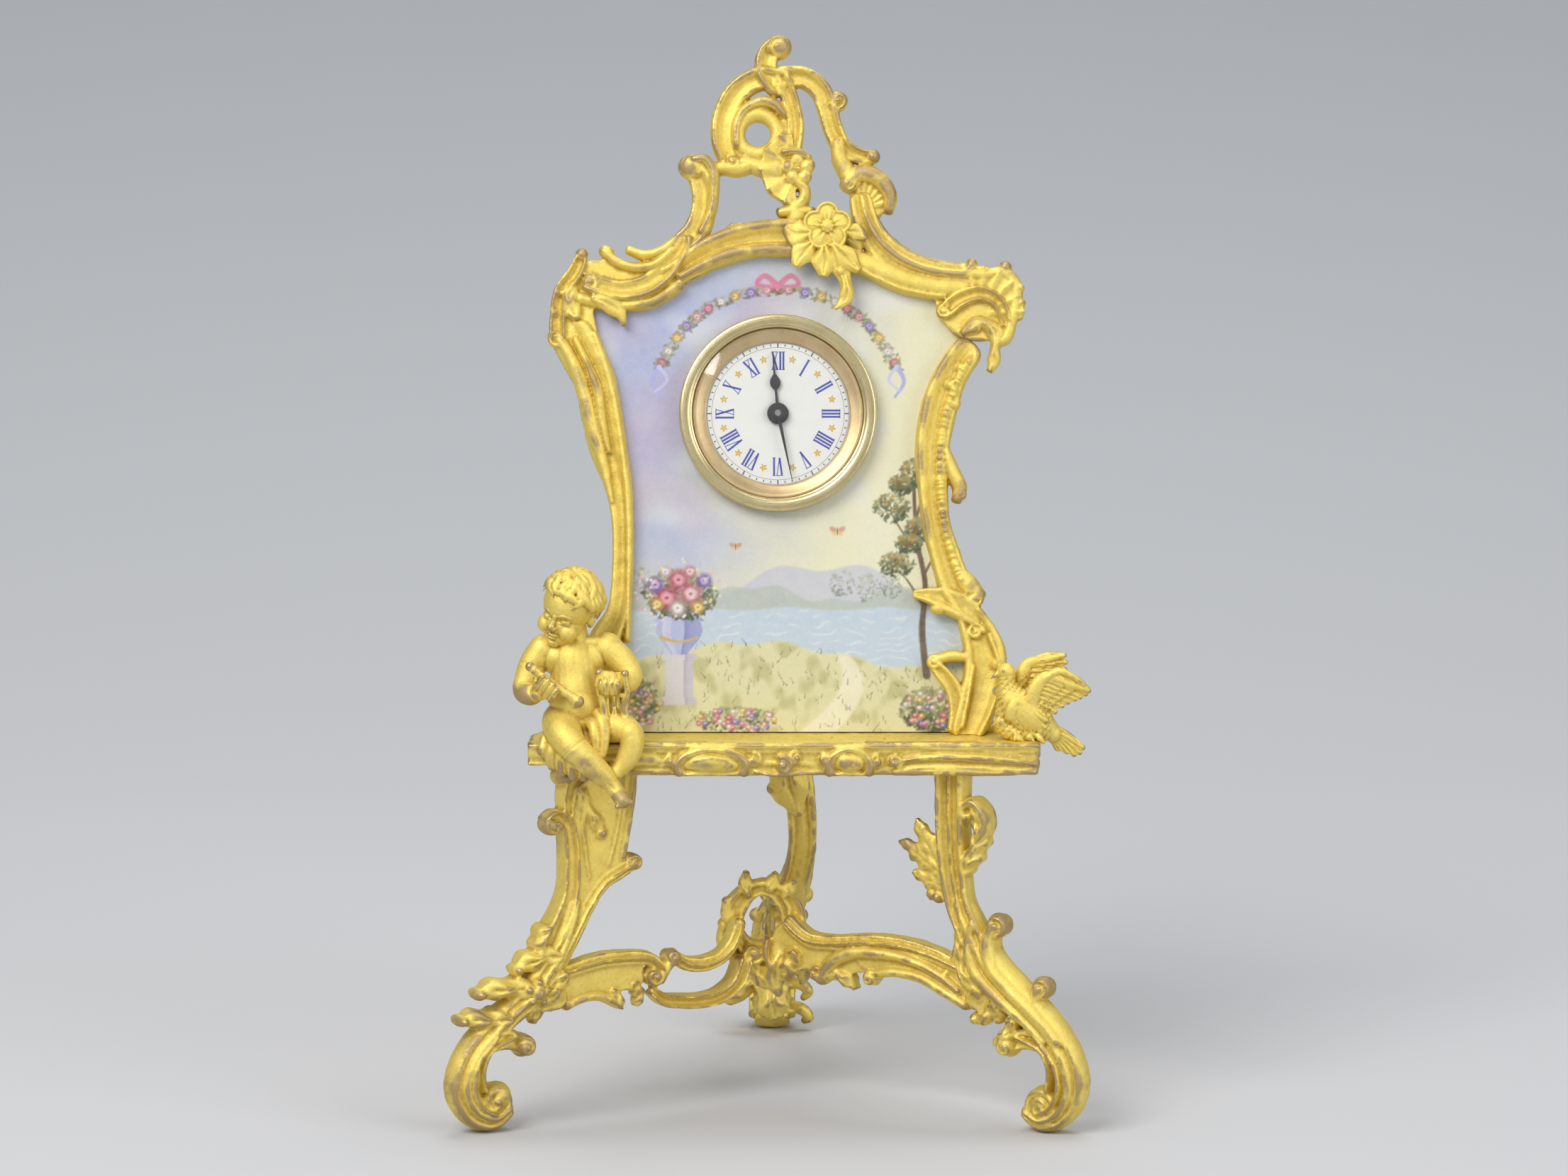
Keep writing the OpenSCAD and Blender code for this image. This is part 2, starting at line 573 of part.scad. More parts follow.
// Middle line of each stile
left_stile = [
    [-30, 1.6, 3, 2.6, 0.9], [-32, 7, 3.6, 2.6, 0.9], [-33, 13, 3.9, 2.6, 0.9], [-31.6, 20, 3.2, 2.6, 0.9],
    [-28.9, 26, 2.2, 2.4, 0.9], [-28.1, 35, 2, 2.4, 0.9], [-28.2, 44, 2.1, 2.4, 0.9], [-29.1, 51, 2.7, 2.5, 0.9],
    [-30.9, 57.5, 3.7, 2.5, 0.9], [-32.2, 64, 4, 2.5, 0.9], [-33.6, 71, 4.1, 2.5, 0.9], [-36, 76, 4.3, 2.5, 0.9],
    [-38, 80, 4.6, 2.5, 0.9], [-38.4, 85, 3.8, 2.5, 0.9], [-38.6, 90, 2.9, 2.5, 0.9]
];
right_stile = [
    [39.4, 1.6, 3.4, 2.6, 0.9], [41.2, 7, 4, 2.6, 0.9], [42.8, 13, 4.3, 2.6, 0.9], [42.6, 18.5, 4.1, 2.6, 0.9],
    [40, 24.5, 2.9, 2.6, 0.9], [37.6, 30, 3.4, 2.5, 0.9], [35.5, 36, 3.1, 2.5, 0.9], [33.4, 43, 2.8, 2.5, 0.9],
    [32.7, 50, 3, 2.5, 0.9], [32.6, 58, 3.4, 2.5, 0.9], [34, 66, 3.8, 2.5, 0.9], [36.2, 72, 3.3, 2.5, 0.9],
    [39.6, 77, 3.2, 2.5, 0.9], [42.6, 81, 3.6, 2.5, 0.9], [44, 86.5, 3.6, 2.5, 0.9], [44.6, 92, 2.8, 2.4, 0.9]
];
arch_run = [
    [-18, 93.4, 2.6, 2.4, 0.9], [-13, 96.2, 3, 2.4, 0.9], [-8, 98, 3.2, 2.4, 0.9], [-2, 99.4, 3.4, 2.4, 0.9],
    [5, 99.4, 3.6, 2.4, 0.9], [12, 98.4, 3.8, 2.4, 0.9], [17, 96.6, 4, 2.4, 0.9], [22, 96.2, 4, 2.4, 0.9],
    [27, 92.6, 3.6, 2.4, 0.9], [33, 91, 3.6, 2.4, 0.9], [38.6, 90.6, 3.2, 2.4, 0.9]
];
frame_screw_at = [[-36, 69], [38, 72.4]];
figure_screw_at = [[-35.4, 12], [44.8, 10]];
figure_screw_end = 6.6;

// The line along which the crest is parted from the surround
seam = [[-40, 99.6], [-16, 99.6], [-12, 98.6], [-6, 101.8], [2, 103.2], [12, 104], [17, 103.2], [22, 104.6],
    [26, 100], [60, 100]];

module above_seam(gap) {
    translate([0, gap, frame_back - 10]) linear_extrude(30) polygon(concat(seam, [[60, 160], [-40, 160]]));
}

module panel_pocket() {
    translate([0, 0, -20]) linear_extrude(20 + seat_gap) offset_panel(panel_gap);
}

module offset_panel(by) {
    offset(delta = by) polygon(panel_edge);
}

module panel_frame() {
    gilt()
        difference() {
            on_panel() difference() {
                union() {
                    relief(left_stile);
                    relief(right_stile);
                    relief(arch_run);
                    stile_trim();
                    left_corner();
                    right_corner();
                }
                panel_pocket();
                above_seam(0);
                translate([-100, -10, frame_back - 20]) cube([200, 160, 20]);
                for (at = frame_screw_at)
                    translate([at[0], at[1], frame_back - 1])
                        cylinder(r = small_shank + screw_gap, h = 3.6, $fn = 16);
                for (at = figure_screw_at)
                    translate([at[0], at[1], frame_back - 1])
                        cylinder(r = small_shank + screw_gap, h = 12, $fn = 16);
                crest_holes();
                translate([spray_peg[0], spray_peg[1], 1]) cylinder(r = 0.8 + screw_gap, h = 8, $fn = 12);
            }
            translate([-100, -60, 0]) cube([200, 100, shelf_top + seat_gap]);
        }
    gilt() foot_tab_solids();
}

// Tabs behind the stiles, screwed down to the shelf
tab_thick = 1.8;
foot_tabs = [[-32.4, -10], [42, -10]];

module foot_tab_solids() {
    for (at = foot_tabs)
        translate([0, 0, shelf_top + seat_gap])
            difference() {
                translate([at[0] - 2.6, panel_y + 1.6, 0]) cube([5.2, at[1] + 2.6 - panel_y - 1.6, tab_thick]);
                translate([at[0], at[1], -1]) cylinder(r = small_shank + screw_gap, h = 6, $fn = 16);
            }
}

// Leaves, knobs and side curls standing off the stiles
module stile_trim() {
    relief([[36, 55, 1, 1.6, 0.6], [37.6, 51.6, 1.2, 1.7, 0.6], [37.6, 48.6, 1.4, 1.8, 0.6], [36, 46.8, 0.8, 1.4, 0.6]]);
    relief([[38.4, 32, 1.6, 1.9, 0.7], [40.4, 30, 1.9, 2, 0.7], [42, 28.6, 1.1, 1.6, 0.7]]);
    relief([[38.4, 26.6, 1.8, 1.5, 1.6], [34.6, 28.4, 2, 1.5, 1.7], [31.6, 28.8, 1.4, 1.4, 1.7], [29.3, 28.8, 0.6, 1.2, 1.7]]);
    relief([[40, 12, 1.2, 1.4, 1.7], [38.4, 14.8, 1.6, 1.4, 1.7], [35.4, 15, 1.4, 1.4, 1.7], [32.8, 14.9, 1, 1.2, 1.7]]);
    boss(32.9, 15.1, 1.1, 1.4, 1.5);
    boss(40.6, 22.2, 2, 1.4, 2);
    boss(45, 15.6, 1.6, 1.2, 2);
    relief([[-31.4, 57, 1, 1.5, 1.6], [-34.4, 59.6, 1.2, 1.6, 1.2], [-35.4, 61.6, 0.7, 1.2, 1]]);
    boss(37, 66.4, 1.5, 1, 2);
    boss(36.2, 70.2, 1.5, 1, 2);
    boss(38.2, 73.6, 1.3, 1, 2);
}

module left_corner() {
    relief([[-41, 79.6, 1.7, 2.2, 1], [-41, 84, 1.6, 2.2, 1], [-40.2, 88.6, 1.6, 2.2, 1], [-37.6, 92.4, 1.6, 2.2, 1],
        [-36.4, 95.4, 1.3, 2, 1]]);
    relief([[-36, 90.4, 1.2, 2, 1.4], [-34.6, 92.6, 1.3, 2, 1.4], [-31.4, 90.9, 1.6, 2, 1.4], [-26.6, 90.2, 1.8, 2, 1.4],
        [-21.6, 91.4, 1.8, 2, 1.4], [-17.6, 94.8, 1.6, 2, 1.4], [-15.6, 98.4, 1.1, 1.9, 1.4]]);
    relief([[-31.4, 96, 1.1, 2, 1], [-28.4, 94.2, 1.3, 2, 1], [-24, 94.2, 1.3, 2, 1], [-20, 96, 1.3, 2, 1],
        [-17.2, 98.8, 1, 1.9, 1]]);
    relief([[-36.6, 88, 1.8, 2, 1], [-31.8, 87.2, 1.4, 1.9, 1], [-27, 86.8, 1.4, 1.9, 1], [-22, 87.8, 1.4, 1.9, 1],
        [-17, 91, 1.4, 1.9, 1]]);
    relief([[-34.6, 87.6, 1.2, 1.6, 1.7], [-31, 86.4, 1.2, 1.6, 1.7], [-28.4, 84.4, 0.9, 1.4, 1.7],
        [-28, 82.2, 0.4, 1, 1.7]]);
    boss(-34.6, 90.5, 1.9, 1.6, 1.8);
    boss(-36.3, 96, 1.25, 1, 2);
    boss(-31.6, 96.7, 1.25, 1, 2);
    boss(-41.4, 79.6, 1.8, 1, 2);
    boss(-15.2, 99, 0.95, 1.4, 1.8);
}

module right_corner() {
    relief([[39, 92.6, 1.7, 2, 1], [42.6, 92, 1.6, 2, 1], [46.6, 92.4, 1.7, 2, 1], [49, 90, 1.6, 2, 1],
        [49, 86.6, 1.4, 2, 1], [48.2, 83, 1.3, 2, 1], [47.2, 79.4, 1.3, 1.9, 1], [44.6, 78.4, 0.9, 1.6, 1]]);
    relief([[35, 84.6, 1.8, 1.8, 1.4], [38, 87, 1.8, 1.9, 1.4], [42, 88.2, 1.6, 1.9, 1.4], [45.6, 86.4, 1.4, 1.9, 1.4],
        [47, 82.6, 1.2, 1.8, 1.4]]);
    relief([[38.6, 80.4, 1.2, 1.9, 1.4], [42, 82.4, 1.4, 1.9, 1.4], [45, 80.6, 1.4, 1.9, 1.4],
        [44.6, 77, 1, 1.7, 1.2], [44.4, 72.6, 0.4, 1, 1]]);
    relief([[18.4, 102.6, 1.4, 2, 1.2], [19, 99.6, 1.5, 2, 1.2], [22, 96, 1.6, 2, 1.4], [27, 92.8, 1.6, 2, 1.4],
        [33, 91.4, 1.5, 2, 1.4], [38.6, 93.4, 1.3, 1.9, 1.2]]);
    boss(40.2, 94.2, 1.4, 1, 2);
    boss(46.8, 93.6, 1.4, 1, 2);
    boss(34.8, 84.4, 1.6, 1.4, 1.6);
    boss(45.2, 90.6, 2, 1.2, 2);
}

// Crest

crest_tab = [[-4, 100], [8, 100]];

module crest_holes() {
    for (at = crest_tab)
        translate([at[0], at[1], frame_back - 6]) cylinder(r = small_shank + screw_gap, h = 8.4, $fn = 16);
}

module crest() {
    gilt() on_panel()
        difference() {
            union() {
                intersection() {
                    crest_forms();
                    above_seam(seat_gap);
                }
                translate([crest_tab[0][0] - 3, crest_tab[0][1] - 1.7, frame_back - seat_gap - 1])
                    cube([crest_tab[1][0] - crest_tab[0][0] + 6, 9, 1]);
                translate([crest_tab[0][0] - 3, 105, frame_back - seat_gap - 1])
                    cube([crest_tab[1][0] - crest_tab[0][0] + 6, 2.3, 2.4]);
            }
            crest_holes();
        }
}

module crest_forms() {
    z = 0.6;
    d = 2.1;
    relief([[3, 131.4, 2.4, d, z], [-2.4, 130.4, 2, d, z], [-6.6, 127.4, 1.8, d, z], [-9, 122.6, 1.7, d, z],
        [-9.4, 117.6, 1.7, d, z], [-7.8, 113.6, 1.6, d, z]]);
    relief([[-7.2, 112.2, 1.3, d, z], [-5.4, 115, 1, d, z], [-6, 119, 0.9, d, z], [-5.2, 123.4, 0.9, d, z],
        [-2, 126.4, 1, d, z], [1.6, 126, 1.1, d, z], [3.6, 123.6, 0.9, d, z]]);
    relief([[2.6, 130.6, 1.7, d, z], [4.6, 126, 1.4, d, z], [5.8, 120.6, 1.4, d, z], [5.2, 115.6, 1.8, d, z]]);
    relief([[0, 131, 2, d, z], [5, 131.8, 1.9, d, z], [9.4, 130, 1.9, d, z], [11, 126.4, 1.6, d, z],
        [11.6, 121.4, 1.6, d, z], [13.4, 117, 1.5, d, z], [17, 115.2, 1.2, d, z], [21.2, 115.6, 1.1, 1.8, z]]);
    relief([[12.6, 124.6, 0.9, d, z], [13, 121, 0.9, d, z], [14.6, 117.6, 0.9, d, z], [18, 116.8, 0.8, 1.8, z],
        [21.4, 116.6, 0.8, 1.6, z]]);
    relief([[12, 117, 1.4, d, z], [13.4, 113.4, 1.3, d, z], [13.2, 108.6, 1.5, d, z], [12, 103.4, 1.8, d, z]]);
    relief([[-14, 114.4, 2.1, d, z], [-12.6, 110, 2.3, d, z], [-12.8, 105, 2.4, d, z], [-14.6, 100.6, 2.4, d, z],
        [-17, 98, 2.4, d, z]]);
    relief([[-12, 113.6, 1.6, d, z], [-8.6, 112.6, 1.6, d, z], [-4, 112, 1.8, d, z]]);
    relief([[1.8, 117.6, 2.4, d, z], [1.6, 112.4, 4.2, d, 0.9], [1.6, 106.6, 3.2, d, z], [2, 102, 3.4, d, z]]);
    relief([[6, 113, 2.2, d, z], [7.4, 110, 1.6, d, z], [6.8, 107.4, 1.7, d, z], [8, 103.4, 2.2, d, z]]);
    relief([[-6, 112, 1.8, d, z], [-5.4, 108, 1.5, d, z], [-5.6, 104, 1.6, d, z], [-6, 100, 2.4, d, z]]);
    relief([[16, 109.6, 0.9, d, z], [18.6, 111, 1.1, d, z], [22.4, 110.8, 1.4, d, z], [24.2, 107.8, 1.4, d, z],
        [23, 104, 1.3, d, z], [21, 100, 2, d, z]]);
    relief([[21.4, 107.2, 1.6, d, z], [19, 105, 1.3, d, z], [17.6, 101.6, 1.6, d, z]]);
    relief([[14, 111.4, 1.2, d, z], [16.4, 107.4, 1.2, d, z], [16.8, 103, 1.8, d, z]]);
    relief([[0.4, 131, 2.8, d, z], [0.8, 134.6, 2, d, z], [2, 137.4, 1.6, 1.8, z]]);
    boss(2.3, 137.6, 2.6, z, 2.6);
    boss(14.2, 126.4, 2, z, 2.2);
    boss(-15, 113.6, 2.6, z, 2.3);
    boss(6, 113, 2.8, z, 2.4);
    boss(21.4, 107.4, 2, z, 2.4);
    boss(-7.6, 113, 1.7, z, 2.2);
    boss(3.4, 123.4, 1.5, z, 2.1);
    boss(21, 115.9, 1.5, z, 2);
}

// Rose with its leaves, laid on the front of the arch
spray_back = frame_front + 0.12;
spray_peg = [12, 99.2];

module flower_spray() {
    gilt() on_panel()
        difference() {
            union() {
                for (a = [90 : 72 : 378])
                    translate([12 + 2.5 * cos(a), 101.3 + 2.5 * sin(a), spray_back - 0.6])
                        hull() {
                            cylinder(r = 2.4, h = 1.8, $fn = 10);
                            translate([-0.7 * cos(a), -0.7 * sin(a), 0]) cylinder(r = 1.2, h = 3, $fn = 8);
                        }
                boss(12, 101.3, 2, spray_back + 0.8, 2);
                boss(14.6, 92.4, 1.5, spray_back, 1.4);
                for (l = spray_leaves) relief(l);
            }
            translate([-50, 50, spray_back - 20]) cube([100, 100, 20]);
        }
    gilt() on_panel()
        translate([spray_peg[0], spray_peg[1], 1.4]) cylinder(r = 0.8, h = spray_back, $fn = 12);
}

spray_leaves = [
    [[9, 100, 1.2, 1.4, 3.6], [6, 100, 2.4, 1.4, 3.6], [3, 101.4, 0.4, 1, 3.6]],
    [[9.4, 98.4, 1.2, 1.4, 3.6], [7, 95.8, 1.9, 1.4, 3.6], [5.4, 92.8, 0.4, 1, 3.6]],
    [[11.4, 97.6, 1.4, 1.4, 3.6], [11.4, 93.8, 2, 1.4, 3.6], [11.2, 90.8, 0.4, 1, 3.6]],
    [[13, 98, 1.4, 1.4, 3.6], [15.8, 94.8, 1.8, 1.4, 3.6], [18.8, 92, 0.4, 1, 3.6]],
    [[13, 96, 1.2, 1.3, 3.6], [15.4, 91, 1.4, 1.3, 3.6], [15.6, 87.2, 1.2, 1.2, 3.6], [13.4, 85, 0.5, 1, 3.6]]
];

// Figures

// What a figure leaves free for the surround behind it, and for the screw that holds it
module behind_frame(i) {
    on_panel() {
        translate([-100, -10, -20]) cube([200, 100, 20 + frame_front + 0.2]);
        translate([figure_screw_at[i][0], figure_screw_at[i][1], 0])
            cylinder(r = small_shank + screw_gap, h = figure_screw_end + 0.3, $fn = 16);
    }
}

// A seated child with crossed shins, holding a small pipe and a lyre
module cherub() {
    gilt() translate([0, 0, shelf_top - 75.8])
        difference() {
            union() {
                limb([-38, -21.4, 104.2, 6.1], [-39.4, -23.4, 101.6, 5.2]);
                limb([-39.6, -24.4, 100.4, 4], [-40, -25.4, 97.8, 2.9]);
                limb([-37.4, -21.2, 99, 2.8], [-37, -21, 95, 3.2]);
                limb([-42, -20.8, 94, 3.4], [-32.6, -20.8, 94.4, 3.6]);
                limb([-38.6, -21.4, 91.4, 5.2], [-35.4, -21.4, 91.4, 5.2]);
                limb([-36.9, -21.8, 85, 6], [-36.4, -21.6, 81.6, 5.8]);
                limb([-44.4, -21.6, 93.6, 2.9], [-46.8, -24.4, 87.2, 2.6]);
                limb([-46.6, -24.6, 87, 2.5], [-38.6, -28, 88, 1.8]);
                limb([-38.6, -28, 88, 1.8], [-36.2, -28.4, 87.2, 1.7]);
                limb([-30.6, -21, 94.4, 3], [-27.4, -22.8, 90.2, 2.6]);
                limb([-27.4, -23, 90, 2.4], [-27.6, -26.6, 83.4, 1.7]);
                limb([-27.6, -26.6, 83.4, 1.7], [-26.8, -27.2, 80.8, 1.8]);
                limb([-39.6, -22, 80, 3.9], [-38.8, -29.6, 78, 3.4]);
                limb([-38.4, -30, 77.6, 3.3], [-29.8, -29.8, 68.2, 1.8]);
                limb([-29.8, -29.8, 68.2, 1.8], [-27.8, -31.4, 65.6, 1.4]);
                limb([-32.6, -22, 79.6, 3.9], [-27.8, -27.4, 78, 3]);
                limb([-27.6, -27.6, 77.6, 2.7], [-25.2, -28.6, 73.6, 2.1]);
                limb([-44.2, -26.8, 85.6, 1], [-33.4, -29.2, 86.8, 0.8]);
                on_front(-26.4) scroll([[-31.2, 91.2, 0.8, 0.9, 0], [-31.9, 87.6, 0.9, 0.9, 0],
                    [-31, 83.4, 0.9, 0.9, 0], [-29.4, 79.8, 1, 1, 0]]);
                on_front(-26.4) scroll([[-28.4, 91, 0.7, 0.9, 0], [-29.2, 87, 0.8, 0.9, 0],
                    [-29.6, 83, 0.8, 0.9, 0], [-29.2, 79.8, 0.9, 1, 0]]);
                limb([-34, -24, 80, 2.4], [-30, -26, 79.4, 2]);
            }
            translate([-60, shelf_front - 2.8 - seat_gap, 60]) cube([50, 40, 15.8 + seat_gap]);
            behind_frame(0);
        }
}

// Two doves in one casting, the outer one with a raised wing
module dove() {
    gilt() translate([0, 0, shelf_top - 75.8])
        difference() {
            union() {
                limb([47.6, -21, 83, 4.2], [52.6, -20.6, 80.6, 4.2]);
                limb([46.6, -21.4, 85.6, 2.9], [47.4, -21.4, 88, 2.5]);
                limb([47, -21.6, 89, 2], [45, -22.2, 88.6, 0.8]);
                limb([50.6, -20.8, 86, 3.2], [53.4, -20.8, 87, 2.4]);
                limb([46.6, -20.8, 77.8, 2], [53, -20.8, 77.2, 2]);
                wing_feather(50.6, 87.4, 57.6, 90.6, 1.6);
                wing_feather(51, 86.6, 60, 88.4, 1.4);
                wing_feather(51.4, 85.4, 62.6, 85.8, 1.3);
                wing_feather(52, 84, 59.6, 83.6, 1.3);
                wing_feather(53.6, 81, 58.6, 76.6, 1.8);
                wing_feather(53.6, 79.6, 60, 74.4, 1.6);
            }
            translate([30, shelf_front - 10, 60]) cube([shelf_right - 30, 30, 15.8 + seat_gap]);
            behind_frame(1);
        }
}

module wing_feather(x0, z0, x1, z1, r) {
    hull() {
        translate([x0, -20.6, z0]) rotate([90, 0, 0]) cylinder(r = r * 1.3, h = 3, center = true, $fn = 8);
        translate([x1, -20.6, z1]) rotate([90, 0, 0]) cylinder(r = r * 0.6, h = 1.6, center = true, $fn = 8);
    }
}

// Enamelled panel and its back

module enamel_panel() {
    color("lavender") placed() on_panel()
        difference() {
            translate([0, 0, -panel_thick]) linear_extrude(panel_thick) intersection() {
                polygon(panel_edge);
                translate([-60, panel_foot]) square([120, 120]);
            }
            translate([dial_at[0], dial_at[1], -5]) cylinder(r = hole_r, h = 10, $fn = 96);
        }
}

module back_plate() {
    color(brass) placed() on_panel()
        difference() {
            translate([0, 0, back_rear]) linear_extrude(back_thick) difference() {
                polygon([[-35, 5], [-36.6, 9], [-37.2, 13], [-35, 18], [-29.6, 27], [-29, 40], [-30, 52],
                    [-33.4, 60], [-36.4, 66], [-38, 71.6], [-36, 74.4], [-36, 84], [-30, 88], [-22, 88.4], [-14, 94],
                    [-5, 96.6], [3, 97.2], [12, 96.6], [20, 93], [30, 89], [40, 87], [40.4, 80], [40.4, 74],
                    [38.6, 70.4], [35.6, 66], [33, 56], [33.4, 44], [37, 34], [40, 26], [44, 19], [46.4, 12.6],
                    [46.4, 8], [43, 5]]);
                for (at = concat(frame_screw_at, figure_screw_at))
                    translate(at) circle(r = small_shank + screw_gap, $fn = 24);
                for (a = drum_screw_dirs)
                    translate(dial_at + polar(drum_r + 1.25, a)) circle(r = tiny_shank + 0.06, $fn = 24);
                translate(dial_at) circle(r = hole_r, $fn = 96);
            }
        }
}

// Bezel, glass and dial

module bezel() {
    turned(gold_pale)
        rotate_extrude($fn = 96)
            polygon(concat(
                [[spigot_in, -0.9], [drum_in - 0.05, -0.9], [drum_in - 0.05, 0.1], [bezel_r - 0.5, 0.1]],
                [for (a = [0 : 22.5 : 90]) [bezel_r - 0.9 + 0.9 * cos(a), bezel_h - 1.5 + 0.9 * sin(a)]],
                [[bezel_r - bezel_w + 0.6, bezel_h], [bezel_r - bezel_w, bezel_h - 0.5],
                    [sight_out, bezel_h - 0.7], [sight_out, 0.2], [spigot_in, 0.2]]
            ));
}

module glass() {
    inner = sight_out - 0.15;
    rise = 1.2;
    dome = (inner * inner + rise * rise) / (2 * rise);
    sweep = asin(inner / dome);
    color("azure", 0.3) placed() on_dial() translate([0, 0, bezel_h - 1.05 + rise - dome])
        rotate_extrude($fn = 96)
            polygon(concat(
                [for (i = [0 : 8]) (dome - 0.7) * [sin(sweep * i / 8), cos(sweep * i / 8)]],
                [for (i = [8 : -1 : 0]) dome * [sin(sweep * i / 8), cos(sweep * i / 8)]]
            ));
}

module sight_ring() {
    turned(gold)
        rotate_extrude($fn = 96)
            polygon([[dial_r, dial_front + 0.05], [dial_r + 1, dial_front + 0.05], [sight_out - 0.1, dial_front + 0.05],
                [sight_out - 0.1, bezel_h - 1.9], [sight_out - 0.7, bezel_h - 1.9], [dial_r, dial_front + 0.5]]);
}

module dial() {
    color("white") placed() on_dial() translate([0, 0, dial_rear])
        difference() {
            cylinder(r = spigot_in - 0.1, h = dial_thick, $fn = 96);
            translate([0, 0, -1]) cylinder(r = 1.9, h = 4, $fn = 48);
        }
    color("white") placed() on_dial()
        for (a = foot_dirs)
            rotate(a) translate([foot_at, 0, plate_front - 0.9])
                cylinder(r = foot_r, h = dial_rear + 0.2 - plate_front + 0.9, $fn = 24);
}

// Hands

hour_level = dial_front + 0.55;
minute_level = hour_level + 0.6;
hand_thick = 0.25;
hour_angle = 95;
minute_angle = -78;

module hour_hand() {
    turned(steel) translate([0, 0, hour_level]) rotate(hour_angle)
        difference() {
            union() {
                cylinder(r = 2.1, h = hand_thick, $fn = 48);
                linear_extrude(hand_thick) polygon(concat(
                    [[1.5, -0.28], [4.6, -0.24]],
                    [for (a = [-150 : 30 : -30]) [6.1 + 1.2 * sin(a + 90), -0.3 - 0.75 * cos(a + 90)]],
                    [[7.8, -0.22], [hour_len, -0.06], [hour_len, 0.06], [7.8, 0.22]],
                    [for (a = [-30 : -30 : -150]) [6.1 + 1.2 * sin(a + 90), 0.3 + 0.75 * cos(a + 90)]],
                    [[4.6, 0.24], [1.5, 0.28]]
                ));
            }
            translate([0, 0, -1]) cylinder(r = 1.3, h = 4, $fn = 48);
        }
}

module minute_hand() {
    turned(steel) translate([0, 0, minute_level]) rotate(minute_angle)
        difference() {
            union() {
                cylinder(r = 1.9, h = hand_thick, $fn = 48);
                linear_extrude(hand_thick) polygon([[1, -0.36], [minute_len, -0.07], [minute_len, 0.07], [1, 0.36]]);
            }
            translate([0, 0, -1]) cylinder(r = set_r + 0.02, h = 4, $fn = 48);
        }
}

module hand_collet() {
    turned(steel) translate([0, 0, minute_level + hand_thick + 0.02])
        difference() {
            union() {
                cylinder(r = 1.5, h = 0.25, $fn = 48);
                cylinder(r = 1.1, h = 0.45, $fn = 48);
            }
            translate([0, 0, -1]) cylinder(r = set_r + 0.02, h = 4, $fn = 48);
        }
}

// Case of the movement

module drum() {
    turned(brass) difference() {
        rotate_extrude($fn = 96)
            polygon([[drum_in, case_rear], [drum_r, case_rear], [drum_r, back_rear - 0.85], [drum_r + 2.2, back_rear - 0.85],
                [drum_r + 2.2, back_rear - 0.05], [drum_r, back_rear - 0.05], [drum_r, dial_front - 0.25],
                [drum_in, dial_front - 0.25], [drum_in, train_front - 0.05], [plate_r + 0.15, train_front - 0.05],
                [plate_r + 0.15, train_front - 0.85], [drum_in, train_front - 0.85]]);
        for (a = drum_screw_dirs)
            rotate(a) translate([drum_r + 1.25, 0, back_rear - 3]) cylinder(r = tiny_shank + 0.06, h = 4, $fn = 24);
    }
}

drum_screw_dirs = [45, 135, 225, 315];

module drum_back() {
    turned(brass) translate([0, 0, case_rear - 0.05 - cover_thick])
        difference() {
            union() {
                cylinder(r = drum_r + 0.4, h = cover_thick, $fn = 96);
                translate([0, 0, cover_thick]) difference() {
                    cylinder(r = drum_in - 0.08, h = 1.4, $fn = 96);
                    translate([0, 0, -0.5]) cylinder(r = drum_in - 0.7, h = 3, $fn = 96);
                }
            }
            translate([0, 0, -1]) cylinder(r = 1.9, h = 4, $fn = 48);
            translate([barrel_at[0], barrel_at[1], -1]) cylinder(r = square_r + 0.5, h = 4, $fn = 48);
        }
}

// Plates and pillars

module pivot_holes(list) {
    for (at = list) translate([at[0], at[1], -10]) cylinder(r = pivot_r + run_gap, h = 20, $fn = 24);
}

module front_plate() {
    turned(brass) translate([0, 0, train_front])
        difference() {
            cylinder(r = drum_in - 0.05, h = plate_thick, $fn = 96);
            translate([0, 0, -5]) cylinder(r = pipe_r + run_gap, h = 20, $fn = 48);
            translate([barrel_at[0], barrel_at[1], -5]) cylinder(r = square_r + run_gap, h = 20, $fn = 32);
            pivot_holes([third_at, fourth_at, escape_at, fork_at]);
            translate([balance_at[0], balance_at[1], -5]) cylinder(r = 0.2 + run_gap, h = 20, $fn = 24);
            for (a = foot_dirs)
                rotate(a) translate([foot_at, 0, -5]) cylinder(r = foot_r + 0.05, h = 20, $fn = 24);
            for (a = pillar_dirs)
                rotate(a) translate([pillar_at, 0, -5]) cylinder(r = small_shank + screw_gap, h = 20, $fn = 24);
        }
    turned(steel) translate([minute_at[0], minute_at[1], plate_front - 0.3])
        cylinder(r = pivot_r, h = motion_h - 0.1, $fn = 24);
}

module rear_plate() {
    turned(brass) translate([0, 0, plate_rear])
        difference() {
            cylinder(r = plate_r, h = plate_thick, $fn = 96);
            translate([0, 0, -5]) cylinder(r = pipe_r + run_gap, h = 20, $fn = 48);
            translate([barrel_at[0], barrel_at[1], -5]) cylinder(r = square_r + run_gap, h = 20, $fn = 32);
            translate([balance_at[0], balance_at[1], -5]) cylinder(r = 1, h = 20, $fn = 32);
            pivot_holes([third_at, fourth_at, escape_at, fork_at]);
            for (a = pillar_dirs)
                rotate(a) translate([pillar_at, 0, -5]) cylinder(r = small_shank + screw_gap, h = 20, $fn = 24);
            cock_seat() cylinder(r = small_shank + screw_gap, h = 20, center = true, $fn = 24);
            click_seat() cylinder(r = small_shank + screw_gap, h = 20, center = true, $fn = 24);
        }
}

